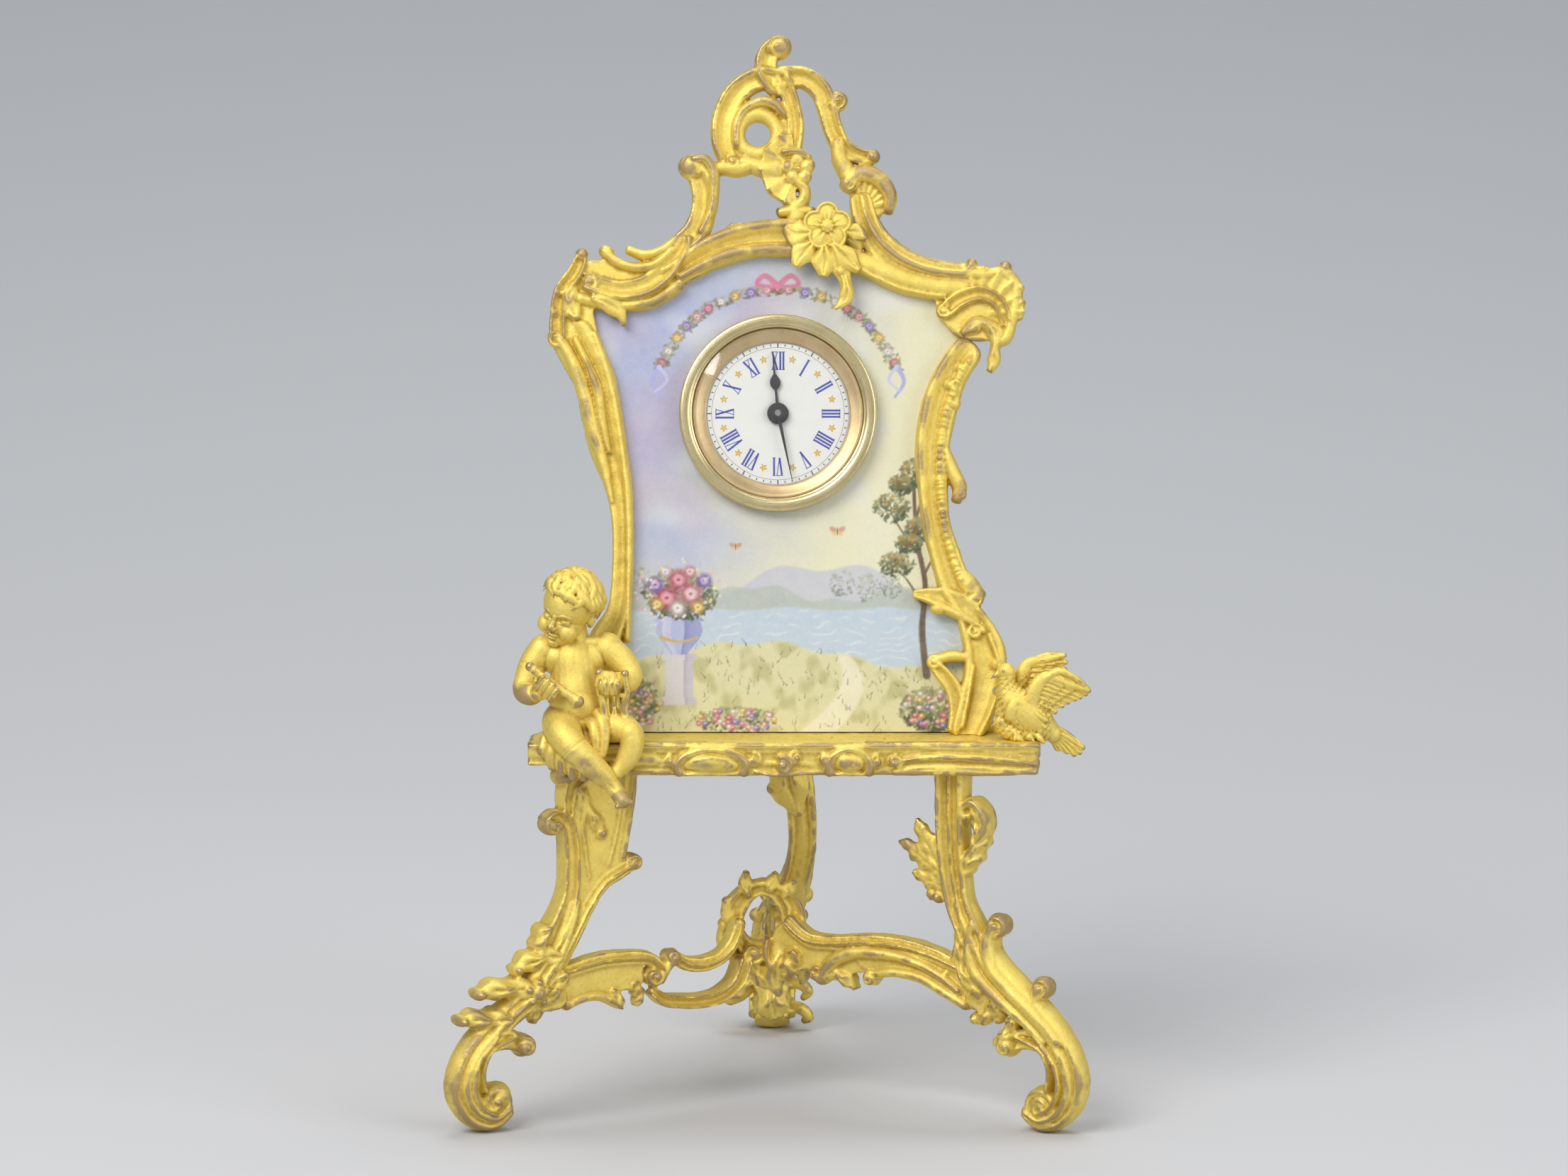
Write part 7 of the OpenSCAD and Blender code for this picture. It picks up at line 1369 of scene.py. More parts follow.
class Painting:
    """Colours laid on a fine grid by a brush, in millimetres on the panel."""

    def __init__(self):
        self.xs = np.arange(LEFT, RIGHT + STEP, STEP)
        self.ys = np.arange(BOTTOM, TOP + STEP, STEP)
        self.x, self.y = np.meshgrid(self.xs, self.ys)
        self.colour = np.zeros((*self.x.shape, 3))
        self.rng = np.random.default_rng(7)

    def fill(self, colour, share):
        """Washes the whole grid, each place by its share."""
        self.colour += (np.array(colour) - self.colour) * np.clip(share, 0, 1)[..., None]

    def cloud(self, scale, seed):
        """Soft patches between about -1 and 1."""
        flat = np.stack([self.x.ravel(), self.y.ravel(), np.zeros(self.x.size)], 1)
        waves = ripple(flat, scale, seed) + 0.5 * ripple(flat, scale * 0.45, seed + 1)
        return waves.reshape(self.x.shape)

    def dab(self, x, y, rx, ry, turn, colour, strength, soft=0.35):
        """One oval touch of the brush."""
        reach = max(rx, ry) * 1.5
        i0, i1 = np.searchsorted(self.ys, [y - reach, y + reach])
        j0, j1 = np.searchsorted(self.xs, [x - reach, x + reach])
        if i0 >= i1 or j0 >= j1:
            return
        dx, dy = self.x[i0:i1, j0:j1] - x, self.y[i0:i1, j0:j1] - y
        c, s = math.cos(turn), math.sin(turn)
        d = np.hypot((dx * c + dy * s) / rx, (dy * c - dx * s) / ry)
        share = strength * np.clip((1 + soft - d) / (2 * soft), 0, 1)
        self.colour[i0:i1, j0:j1] += (np.array(colour) - self.colour[i0:i1, j0:j1]) * share[..., None]

    def line(self, points, width, colour, strength):
        """A stroke that thins towards its end."""
        p = smooth(np.array(points, float), 0.15)
        for x, y, w in zip(p[:, 0], p[:, 1], np.linspace(1, 0.5, len(p))):
            self.dab(x, y, width * w, width * w, 0, colour, strength, 0.6)

    def foliage(self, x, y, rx, ry, count, colours, size, strength):
        """Leaf touches in an oval, darker below and lighter above."""
        r = self.rng
        for _ in range(count):
            a, d = r.uniform(0, 6.283), math.sqrt(r.uniform(0, 1))
            px, py = x + rx * d * math.cos(a), y + ry * d * math.sin(a)
            lift = np.clip((py - y) / ry * 0.5 + 0.5 + r.normal() * 0.25, 0, 0.999)
            self.dab(px, py, size * r.uniform(0.6, 1.2), size * r.uniform(0.35, 0.6), r.uniform(0, 3.14),
                     colours[int(lift * len(colours))], strength)

    def rose(self, x, y, r, pale, deep):
        """A small rose of turning petals."""
        self.dab(x, y, r * 1.05, r, 0, deep, 0.85)
        for k in range(9):
            a = k * 2.4
            d = r * (0.85 - 0.085 * k)
            self.dab(x + d * 0.55 * math.cos(a), y + d * 0.55 * math.sin(a), r * 0.42, r * 0.24, a + 1.57,
                     [pale[i] * (0.55 + 0.05 * k) + deep[i] * (0.45 - 0.05 * k) for i in range(3)], 0.75)
        self.dab(x, y, r * 0.2, r * 0.16, 0, [c * 0.7 for c in deep], 0.8)


# Colours of the painting, and where its urn stands and its garland hangs
URN_X, GARLAND_X = -17, DIAL_AT[0]
SKY, CREAM, WHITE_CLOUD = (0.52, 0.56, 0.74), (0.84, 0.82, 0.62), (0.83, 0.84, 0.86)
MAUVE, PALE_BLUE = (0.62, 0.50, 0.62), (0.60, 0.68, 0.76)
FAR_HILLS, NEAR_HILLS = (0.62, 0.62, 0.72), (0.55, 0.60, 0.52)
WATER, GLINT = (0.62, 0.70, 0.78), (0.86, 0.88, 0.84)
MEADOW, GRASS, PATH = (0.78, 0.74, 0.46), (0.50, 0.47, 0.20), (0.88, 0.84, 0.66)
BARK, TWIG = (0.22, 0.16, 0.10), (0.26, 0.19, 0.12)
STONE, STONE_SHADE = (0.74, 0.71, 0.72), (0.46, 0.42, 0.50)
URN, URN_SHADE = (0.55, 0.58, 0.78), (0.28, 0.30, 0.52)
URN_LIGHT, URN_BAND = (0.86, 0.87, 0.92), (0.72, 0.52, 0.16)
RIBBON, PALE_RIBBON, BOW = (0.50, 0.52, 0.80), (0.66, 0.66, 0.86), (0.72, 0.30, 0.42)
WING, WING_TIP, INSECT = (0.70, 0.36, 0.22), (0.84, 0.62, 0.28), (0.16, 0.12, 0.10)
COUNTER_ENAMEL = (0.30, 0.30, 0.34)
HAZY_LEAVES = [(0.30, 0.34, 0.27), (0.42, 0.46, 0.36), (0.56, 0.58, 0.45)]
LEAVES = [(0.10, 0.12, 0.055), (0.17, 0.20, 0.09), (0.28, 0.30, 0.15), (0.44, 0.44, 0.24)]
AUTUMN = [(0.30, 0.20, 0.06), (0.50, 0.32, 0.08), (0.66, 0.48, 0.16)]
# Pale and deep colour of each kind of rose
ROSES = [((0.86, 0.52, 0.56), (0.55, 0.10, 0.19)), ((0.90, 0.72, 0.70), (0.62, 0.26, 0.32)),
         ((0.66, 0.56, 0.80), (0.26, 0.16, 0.44)), ((0.90, 0.80, 0.42), (0.66, 0.42, 0.10)),
         ((0.92, 0.88, 0.84), (0.62, 0.52, 0.50))]


def paint():
    """A lake under a soft sky, with an urn of roses, a slim tree and a garland over the dial."""
    art = Painting()
    x, y = art.x, art.y
    art.fill(SKY, np.ones_like(x))
    warm = np.clip(0.5 + (x + 2) / 46 - (y - 60) / 120 + 0.12 * art.cloud(22, 3), 0, 1)
    art.fill(CREAM, warm)
    art.fill(WHITE_CLOUD, np.clip(art.cloud(17, 5) * 0.5 - 0.08, 0, 0.6) * np.clip((y - 34) / 12, 0, 1))
    art.fill(MAUVE, np.clip(art.cloud(26, 9) * 0.5, 0, 0.45) * np.clip((12 - x) / 14, 0, 1))
    art.fill(PALE_BLUE, np.clip((y - 88) / 12, 0, 0.7))
    hills = 33 + 2.2 * np.sin(x / 7.0) + 1.2 * np.sin(x / 2.9 + 1)
    art.fill(FAR_HILLS, np.clip((hills - y) * 1.5, 0, 0.75) * np.clip((y - 20) / 4, 0, 1))
    nearer = 29.5 + 1.6 * np.sin(x / 5.0 + 2) + 0.6 * np.sin(x / 1.7)
    art.fill(NEAR_HILLS, np.clip((nearer - y) * 1.5, 0, 0.7))
    lake = 26.5 + 0.3 * np.sin(x / 3)
    art.fill(WATER, np.clip((lake - y) * 2, 0, 0.92))
    ripples = np.sin(y * 3.6 + np.sin(x * 0.35) * 1.5 + 3 * art.cloud(9, 33)) - 0.55
    bright = np.clip(ripples, 0, 0.6) * np.clip(lake - y, 0, 1)
    art.fill(GLINT, bright * np.clip(0.6 + art.cloud(5, 34), 0, 1))
    shore = 17.5 + 2.6 * np.sin((x + 20) / 11) + 0.5 * np.sin(x / 2.1)
    art.fill(MEADOW, np.clip((shore - y) * 1.4, 0, 0.95))
    art.fill(GRASS, np.clip(art.cloud(6, 15) * 0.6, 0, 0.55) * np.clip(shore - y, 0, 1))
    path = np.abs(x - (10 + 7 * np.sin((y - 2) / 6.5))) - (4.2 - y * 0.14)
    art.fill(PATH, np.clip(-path, 0, 0.85) * np.clip(shore - y, 0, 1))
    r = art.rng
    for _ in range(260):
        px = r.uniform(-30, 40)
        top = 17.5 + 2.6 * math.sin((px + 20) / 11)
        py = r.uniform(2, top)
        art.line([[px, py], [px + r.normal() * 0.4, py + r.uniform(0.5, 1.3)]], 0.12,
                 LEAVES[r.integers(4)], 0.6)
    # Trees on the far shore and one slim tree at the right
    for px in (-24, -19.5, -15, 15, 20, 24.5):
        art.foliage(px, 30.5 + r.uniform(-1, 1.4), 2.4, 2.8, 70, HAZY_LEAVES, 0.4, 0.55)
    art.line([[31.5, 13], [30.6, 22], [31.2, 31], [29.6, 40], [29, 50]], 0.55, BARK, 0.8)
    for branch in ([[30.8, 27], [27.6, 32], [25.4, 34]], [[30.6, 36], [27, 41], [24.6, 45]],
                   [[29.4, 44], [31, 50], [30, 55]], [[31, 33], [33, 37], [33.4, 40]]):
        art.line(branch, 0.28, TWIG, 0.75)
    for px, py, rx, ry in ((25.6, 35, 3.4, 2.4), (24.6, 46, 3.6, 2.8), (29.4, 53, 3.0, 3.0),
                           (30, 42, 2.8, 2.4), (28, 39, 2.6, 1.8), (26.6, 50.6, 2.4, 2)):
        art.foliage(px, py, rx, ry, 150, LEAVES, 0.5, 0.72)
        art.foliage(px - 0.6, py + 0.8, rx * 0.8, ry * 0.7, 30, AUTUMN, 0.42, 0.6)
    # A pedestal with an urn of flowers at the left
    for row in np.arange(7.5, 17.4, 0.12):
        half = 3.3 if row < 8.9 or row > 16.2 else 2.6
        art.line([[URN_X - half, row], [URN_X + half, row]], 0.16, STONE, 0.9)
        art.line([[URN_X + half * 0.35, row], [URN_X + half, row]], 0.14, STONE_SHADE, 0.35)
    for row in np.arange(17.4, 24.6, 0.12):
        t = (row - 17.4) / 7.2
        half = 1.5 + 2.9 * math.sin(math.pi * min(1, t * 0.75)) ** 1.3 + (0.9 if t > 0.9 else 0)
        art.line([[URN_X - half, row], [URN_X + half, row]], 0.16, URN, 0.9)
        art.line([[URN_X + half * 0.25, row], [URN_X + half, row]], 0.15, URN_SHADE, 0.45)
        art.line([[URN_X - half * 0.75, row], [URN_X - half * 0.4, row]], 0.13, URN_LIGHT, 0.5)
    art.line([[-20.6, 20.6], [URN_X, 19.8], [-13.4, 20.6]], 0.3, URN_BAND, 0.85)
    art.foliage(URN_X, 29, 7.4, 4.8, 420, LEAVES, 0.6, 0.75)
    for px, py, size, k in ((-19.5, 28.4, 2.1, 0), (-14.8, 29.2, 2.0, 1), (-17.2, 32, 1.9, 0),
                            (-21.8, 31, 1.5, 2), (-12.2, 31.8, 1.4, 2), (-17.4, 26.4, 1.6, 4),
                            (-13.4, 26.6, 1.3, 3), (-21.4, 27.2, 1.2, 3), (-15, 33.6, 1.2, 1),
                            (-19.8, 33.6, 1.1, 4)):
        art.rose(px, py, size, *ROSES[k])
    for _ in range(60):
        a, d = r.uniform(0, 6.28), r.uniform(0.7, 1.25)
        px, py = URN_X + 7.6 * d * math.cos(a), 29.6 + 5.2 * d * math.sin(a)
        art.dab(px, py, 0.3, 0.3, 0, ROSES[r.integers(5)][0], 0.8)
    # A bank of flowers along the bottom and a low bush at the right
    art.foliage(-27, 8, 6, 5, 320, LEAVES, 0.6, 0.7)
    art.foliage(33, 6.5, 7, 4.5, 380, LEAVES, 0.6, 0.7)
    art.foliage(-6, 4.4, 8, 2.6, 200, LEAVES, 0.5, 0.65)
    for _ in range(120):
        side = r.integers(3)
        cx, cy, rx, ry = ((-26, 7, 5.5, 4), (33, 6.4, 6.5, 3.8), (-6, 4.4, 8, 2.2))[side]
        a, d = r.uniform(0, 6.28), math.sqrt(r.uniform(0, 1))
        px, py = cx + rx * d * math.cos(a), cy + ry * d * math.sin(a)
        pale, deep = ROSES[r.integers(5)]
        art.dab(px, py, 0.62, 0.55, 0, deep, 0.8)
        art.dab(px - 0.1, py + 0.12, 0.34, 0.28, 0, pale, 0.85)
    # A garland of small roses hung over the dial, with ribbons
    for side in (-1, 1):
        hung = smooth(np.array([[GARLAND_X, 89.5], [GARLAND_X + side * 10, 87.4],
                                [GARLAND_X + side * 18, 82], [GARLAND_X + side * 23.4, 74]], float), 1.35)
        for k, (px, py) in enumerate(hung):
            art.foliage(px, py, 1.5, 1.2, 12, LEAVES[1:], 0.45, 0.6)
            if k % 2 == 0:
                art.rose(px, py, 0.95, *ROSES[(k // 2) % 5])
        end = hung[-1]
        art.line([[end[0], end[1]], [end[0] + side * 1.4, end[1] - 3], [end[0] - side * 0.4, end[1] - 6]],
                 0.42, RIBBON, 0.75)
        art.line([[end[0], end[1]], [end[0] - side * 1.6, end[1] - 2.6],
                  [end[0] + side * 0.8, end[1] - 5]], 0.34, PALE_RIBBON, 0.75)
    for side in (-1, 1):
        art.line([[GARLAND_X, 90], [GARLAND_X + side * 2.6, 92], [GARLAND_X + side * 4, 90.2],
                  [GARLAND_X, 89.8]], 0.5, BOW, 0.8)
    # Two butterflies over the lake
    for px, py, size in ((14, 41.5, 1.0), (-6, 38.5, 0.8)):
        for side in (-1, 1):
            art.dab(px + side * size * 0.8, py + size * 0.35, size * 0.85, size * 0.5, side * 0.6, WING,
                    0.8)
            art.dab(px + side * size * 0.6, py - size * 0.45, size * 0.5, size * 0.38, -side * 0.6,
                    WING_TIP, 0.8)
        art.dab(px, py, size * 0.14, size * 0.7, 0, INSECT, 0.9)
    speck = r.normal(size=x.shape) * 0.012
    tone, contrast = 0.84, 1.3
    art.colour = np.clip(tone * np.clip(art.colour + speck[..., None], 0, 1) ** contrast, 0, 1)
    return art


def nearest_on(points, outline):
    """The nearest place on a closed outline for each point."""
    a = np.array(outline)
    b = np.roll(a, -1, 0)
    d = b - a
    t = np.clip(((points[:, None] - a) * d).sum(-1) / (d * d).sum(-1), 0, 1)
    spots = a + t[..., None] * d
    return spots[np.arange(len(points)), ((points[:, None] - spots) ** 2).sum(-1).argmin(1)]


def inside(x, y, outline):
    """Whether each place lies inside a closed outline."""
    hit = np.zeros(x.shape, bool)
    for (ax, ay), (bx, by) in zip(outline, outline[1:] + outline[:1]):
        cross = (ay > y) != (by > y)
        hit ^= cross & (x < (bx - ax) * (y - ay) / (by - ay + 1e-12) + ax)
    return hit


def enamel_panel():
    """The painted plate: the grid inside its outline, with its rim drawn on to the true edges."""
    art = paint()
    outline = [[px, max(py, FOOT_LINE)] for px, py in PANEL_EDGE]
    hole = [[DIAL_AT[0] + HOLE_R * math.cos(a), DIAL_AT[1] + HOLE_R * math.sin(a)]
            for a in np.linspace(0, 2 * math.pi, 181)[:-1]]
    mid_x, mid_y = art.x[:-1, :-1] + STEP / 2, art.y[:-1, :-1] + STEP / 2
    keep = inside(mid_x, mid_y, outline) & (np.hypot(mid_x - DIAL_AT[0], mid_y - DIAL_AT[1]) > HOLE_R)
    index = np.arange(art.x.size).reshape(art.x.shape)
    quads = np.stack([index[:-1, :-1], index[:-1, 1:], index[1:, 1:], index[1:, :-1]], -1)[keep]
    used = np.unique(quads)
    place = np.full(art.x.size, -1)
    place[used] = np.arange(len(used))
    quads = place[quads]
    flat = np.stack([art.x.ravel()[used], art.y.ravel()[used]], 1)
    sides = np.sort(np.concatenate([quads[:, [0, 1]], quads[:, [1, 2]], quads[:, [2, 3]],
                                    quads[:, [3, 0]]]), axis=1)
    pairs, counts = np.unique(sides, axis=0, return_counts=True)
    rim = np.unique(pairs[counts == 1])
    near_hole = np.hypot(flat[rim, 0] - DIAL_AT[0], flat[rim, 1] - DIAL_AT[1]) < HOLE_R + 0.75
    flat[rim[near_hole]] = nearest_on(flat[rim[near_hole]], hole)
    flat[rim[~near_hole]] = nearest_on(flat[rim[~near_hole]], outline)
    form = Form().on(PANEL)
    form.add(np.c_[flat, np.zeros(len(flat))], quads)
    obj = form.object("enamel_picture")
    obj.data.color_attributes.new("paint", "FLOAT_COLOR", "POINT")
    shades = art.colour.reshape(-1, 3)[used]
    bm = bmesh.new()
    bm.from_mesh(obj.data)
    edge = [e for e in bm.edges if e.is_boundary]
    back = bmesh.ops.extrude_edge_only(bm, edges=edge)["geom"]
    down = np.array([0, 0, -PANEL_THICK]) @ PANEL[1]
    bmesh.ops.translate(bm, verts=[v for v in back if isinstance(v, bmesh.types.BMVert)], vec=tuple(down))
    bmesh.ops.triangle_fill(bm, use_beauty=False,
                            edges=[e for e in back if isinstance(e, bmesh.types.BMEdge)])
    bmesh.ops.recalc_face_normals(bm, faces=bm.faces)
    bm.to_mesh(obj.data)
    bm.free()
    total = len(obj.data.vertices)
    colours = np.ones((total, 4), np.float32)
    colours[:len(shades), :3] = shades
    colours[len(shades):, :3] = COUNTER_ENAMEL
    layer = obj.data.color_attributes["paint"]
    layer.data.foreach_set("color", colours.ravel())
    finish_piece(obj, PICTURE, "case", ["enamel_panel"])
    obj.data.set_sharp_from_angle(angle=math.radians(40))


# Seated child

SEAT_TOP, SEAT_FRONT = SHELF_TOP + SHELF_GAP, -27.05
BACK_OF_FIGURES = behind_panel(3.6)


def seated(v, low_x, high_x, front):
    """Presses what would sink into the shelf on to its top or its front."""
    y = front + SHIFT[1]
    sunk = (v[:, 0] > low_x) & (v[:, 0] < high_x) & (v[:, 1] > y) & (v[:, 2] < SEAT_TOP)
    nearer_top = (SEAT_TOP - v[:, 2]) < (v[:, 1] - y)
    v[sunk & nearer_top, 2] = SEAT_TOP
    v[sunk & ~nearer_top, 1] = y
    return v


def head_frame(centre, front, lean):
    """Axes of a head: to its right, to its front and to its crown."""
    ahead = np.array(front, float) / np.linalg.norm(front)
    up = np.array(lean, float)
    up -= ahead * (up @ ahead)
    up /= np.linalg.norm(up)
    return np.array(centre, float) + SHIFT, np.array([np.cross(ahead, up), ahead, up])


HEAD = head_frame((-37.9, -22.6, 103.0), (-0.5, -0.82, -0.22), (0.36, 0, 1))


def dents(q, spots):
    """Depth of soft round or long hollows; each is a place, its size each way and its depth."""
    deep = np.zeros(len(q))
    for place, size, depth in spots:
        deep += depth * np.exp(-(((q - np.array(place)) / np.array(size)) ** 2).sum(1))
    return deep


def ring_dents(v, rings):
    """Depth of soft creases around limbs; each is a centre, a direction, width, reach and depth."""
    deep = np.zeros(len(v))
    for centre, way, width, reach, depth in rings:
        way = np.array(way, float) / np.linalg.norm(way)
        gap = v - np.array(centre) - SHIFT
        deep += depth * np.exp(-((gap @ way) / width) ** 2 - (np.linalg.norm(gap, axis=1) / reach) ** 4)
    return deep


def lock(form, turn, start, end, thick, rng, sweep, shell=(5.65, 6.05, 5.75)):
    """A strand that runs over the head from near the crown and curls at its end."""
    s = np.linspace(0, 1, 9)
    tilt = np.radians(start + (end - start) * s)
    bend = rng.uniform(-0.22, 0.22)
    angle = turn + bend * np.sin(math.pi * 1.5 * s) / np.maximum(np.sin(tilt), 0.35)
    angle = angle + sweep * s + rng.uniform(-0.4, 0.4) * s**4
    lift = 1 + 0.03 * np.sin(math.pi * s) + rng.uniform(0.03, 0.09) * s**5
    points = np.stack([shell[0] * lift * np.sin(tilt) * np.sin(angle),
                       -0.4 + shell[1] * lift * np.sin(tilt) * np.cos(angle),
                       0.2 + shell[2] * lift * np.cos(tilt)], 1)
    width = thick * (0.5 + 0.5 * np.sin(math.pi * np.minimum(s * 1.15, 1))) * (1 - 0.7 * s**5)
    form.tube(np.c_[points, width], sides=10, step=0.3)


def cherub_head():
    """A calm child's head with closed lids, in plain proportions, and tousled hair."""
    form = Form().on(HEAD)
    form.egg(0, 0, 0, 5.15, 5.7, 5.45)
    form.egg(0, -1.1, 0.5, 5.5, 5.3, 5.5)
    form.egg(0, 1.9, 0.1, 4.35, 3.75, 3.7)
    form.egg(0, 1.5, -3.4, 4.25, 4.1, 4.5)
    form.egg(0, 2.3, -6, 3.1, 3.2, 2.4)
    form.egg(0, 4.35, -7, 1.45, 1.35, 1.2)
    form.tube([[0, 5.35, -1.2, 0.5], [0, 5.95, -2.4, 0.52], [0, 6.4, -3.3, 0.72]], step=0.2)
    for side in (-1, 1):
        form.egg(side * 2.35, 3.7, -4.3, 1.95, 1.9, 1.9)
        form.egg(side * 1.85, 4.25, -2.15, 1.15, 1, 0.85)
        form.egg(side * 0.62, 6, -3.6, 0.46, 0.5, 0.42)
        form.tube([[side * 0.6, 5.35, -0.95, 0.3], [side * 1.9, 5.2, -0.55, 0.36],
                   [side * 3.2, 4.2, -0.9, 0.25]], step=0.2)
        form.tube([[side * 1.25, 5.25, -5.3, 0.2], [side * 0.5, 5.75, -5.02, 0.36],
                   [0, 5.82, -5.12, 0.3]], step=0.15)
        form.egg(side * 4.85, -0.6, -2.5, 0.7, 1.1, 1.45)
    form.egg(0, 5.5, -5.75, 0.9, 0.55, 0.4)
    rng = np.random.default_rng(41)
    for count, start, last, more, thick in ((13, 4, 40, 14, 0.8), (19, 20, 52, 36, 0.82),
                                            (25, 40, 62, 62, 0.84)):
        for k in range(count):
            turn = 2 * math.pi * (k + rng.uniform(-0.3, 0.3)) / count
            behind = 0.5 - 0.5 * math.cos(turn - 0.35)
            lock(form, turn, start + rng.uniform(-3, 3), last + more * behind + rng.uniform(-3, 3),
                 thick * rng.uniform(0.8, 1.15), rng, sweep=-0.35 * math.cos(turn))
    for turn, end, thick in ((-2.1, 112, 0.9), (-1.8, 108, 0.9), (-1.5, 100, 0.9), (-1.25, 92, 0.85),
                             (1.9, 104, 0.8), (2.2, 108, 0.9)):
        lock(form, turn, 58, end, thick, rng, shell=(5.8, 6.1, 5.8), sweep=0.12 * turn)

    def face(v, n):
        """Draws the mouth, the lids, the nostrils and the corners of the eyes."""
        q = (v - HEAD[0]) @ HEAD[1].T
        spots = [((0, 5.75, -5.38), (1.15, 1.2, 0.16), 0.32), ((0, 5.3, -6.35), (0.9, 1.0, 0.3), 0.22)]
        for side in (-1, 1):
            spots += [((side * 1.0, 5.2, -1.75), (0.5, 1.2, 0.6), 0.35),
                      ((side * 1.85, 5.3, -2.62), (1.0, 1.2, 0.13), 0.24),
                      ((side * 1.85, 5.2, -1.42), (1.1, 1.0, 0.2), 0.2),
                      ((side * 3.1, 4.3, -2.2), (0.5, 1.0, 0.5), 0.15),
                      ((side * 0.42, 6.5, -4.0), (0.2, 0.5, 0.16), 0.22),
                      ((side * 1.55, 5.5, -4.9), (0.35, 0.8, 0.4), 0.18)]
        return v - n * dents(q, spots)[:, None]

    cast("cherub_head", form, (), 26, voxel=0.13, uneven=0.018, sculpt=face, trim=[BACK_OF_FIGURES])


def torso(form):
    """Trunk, neck, breast, belly and shoulders."""
    form.tube([[-36.3, -21.4, 79.6, 5.2], [-36.8, -22.2, 84, 5.5], [-37.1, -21.7, 88.6, 4.9],
               [-37.4, -21.3, 92.4, 4.5], [-37.4, -21, 95.4, 3.1]], sides=22)
    form.tube([[-37.3, -20.9, 95, 2.9], [-37.6, -21.4, 98.6, 2.7], [-37.9, -21.9, 101.5, 2.8]], sides=18)
    for x, y, z, rx, ry, rz in ((-40.6, -21.4, 91.9, 3.4, 3.3, 3.5), (-34.1, -21.2, 92.1, 3.4, 3.2, 3.5),
                                (-39.4, -23.0, 91.6, 3.2, 1.8, 2.9), (-35.0, -22.9, 91.7, 3.2, 1.8, 2.9),
                                (-36.8, -23.6, 83.4, 5.0, 4.6, 4.6), (-39.2, -21.6, 79.6, 3.9, 3.9, 4.2),
                                (-33.2, -21.6, 79.4, 3.9, 3.9, 4.1), (-36.6, -24.4, 79.6, 3.6, 3.0, 2.8)):
        form.egg(x, y, z, rx, ry, rz)
    for side, x in ((-1, -40.6), (1, -34.0)):
        form.tube([[-37.4 + side * 0.6, -22.2, 95, 1.2], [x, -22, 94.9, 1.4],
                   [x + side * 3, -21.4, 94.6, 1.7]], step=0.4)


def arms(form):
    """Both arms, from the shoulders to the wrists."""
    form.egg(-43.3, -21.3, 93.4, 3, 2.9, 3)
    form.tube([[-43.4, -21.4, 93.6, 2.8], [-45.4, -21.8, 90.4, 2.8], [-46.6, -22.8, 87.4, 2.4],
               [-46.9, -23.9, 85.9, 2.3], [-46.1, -25.6, 85.4, 2.25], [-45, -27, 85.4, 1.9],
               [-44.2, -27.9, 85.8, 1.4]], sides=20, step=0.4)
    form.egg(-30.9, -21.1, 93.8, 3.1, 2.9, 3)
    form.tube([[-31, -21.2, 93.9, 2.8], [-28.4, -21.8, 91.6, 2.75], [-26.5, -22.8, 89.3, 2.35],
               [-26.4, -24, 87.9, 2.2], [-27.6, -25.6, 87.6, 2.1], [-29, -26.8, 88.2, 1.75],
               [-29.9, -27.3, 88.8, 1.35]], sides=20, step=0.4)


# One end of the pipe and the direction in which it lies
PIPE = (np.array([-45.6, -28.7, 91.2]), np.array([0.81, -0.13, -0.57]))


def hands(form):
    """The pipe, and two hands with their fingers."""
    start, way = PIPE
    form.tube([[*start, 0.62], [*(start + way * 5), 0.72], [*(start + way * 9.4), 0.86],
               [*(start + way * 11), 1.05], [*(start + way * 11.5), 1.25]], sides=16, step=0.3)
    form.egg(*start, 0.95, 0.95, 0.95)
    for t in (1.2, 8.2):
        form.egg(*(start + way * t), 0.9, 0.9, 0.9)
    form.egg(-43.6, -28.1, 86.3, 1.9, 1.1, 1.8)
    for k, t in enumerate((3.0, 4.25, 5.5, 6.7)):
        p = start + way * t
        knuckle, bend, tip = p + [-1.5, 0.5, -2.6], p + [-0.75, -0.85, -1.35], p + [0.15, -1.15, -0.05]
        reach = (1.0, 1.04, 1.0, 0.86)[k]
        form.tube([[*knuckle, 0.66], [*(knuckle + (bend - knuckle) * reach), 0.62],
                   [*(knuckle + (tip - knuckle) * reach), 0.5]], sides=12, step=0.2)
    form.tube([[-44.2, -28.2, 87, 0.7], [-44.6, -28.6, 88.6, 0.6], [-43.9, -28.9, 89.6, 0.5]], sides=12,
              step=0.2)
    form.egg(-30.6, -27.5, 88.8, 1.7, 1.2, 1.5)
    for x, z, end_x, end_z in ((-31.7, 88.8, -31.9, 86.2), (-30.7, 89.3, -30.8, 85.9),
                               (-29.7, 89.2, -29.7, 85.9), (-28.8, 88.7, -28.7, 86.1)):
        form.tube([[x, -27.7, z, 0.66], [(x + end_x) / 2, -29.2, (z + end_z) / 2 + 0.5, 0.62],
                   [end_x, -28.7, end_z, 0.5]], sides=12, step=0.2)
    form.tube([[-31.6, -27.4, 89.3, 0.68], [-32.5, -28, 88.4, 0.6], [-32.7, -28.3, 87.5, 0.48]], sides=12,
              step=0.2)


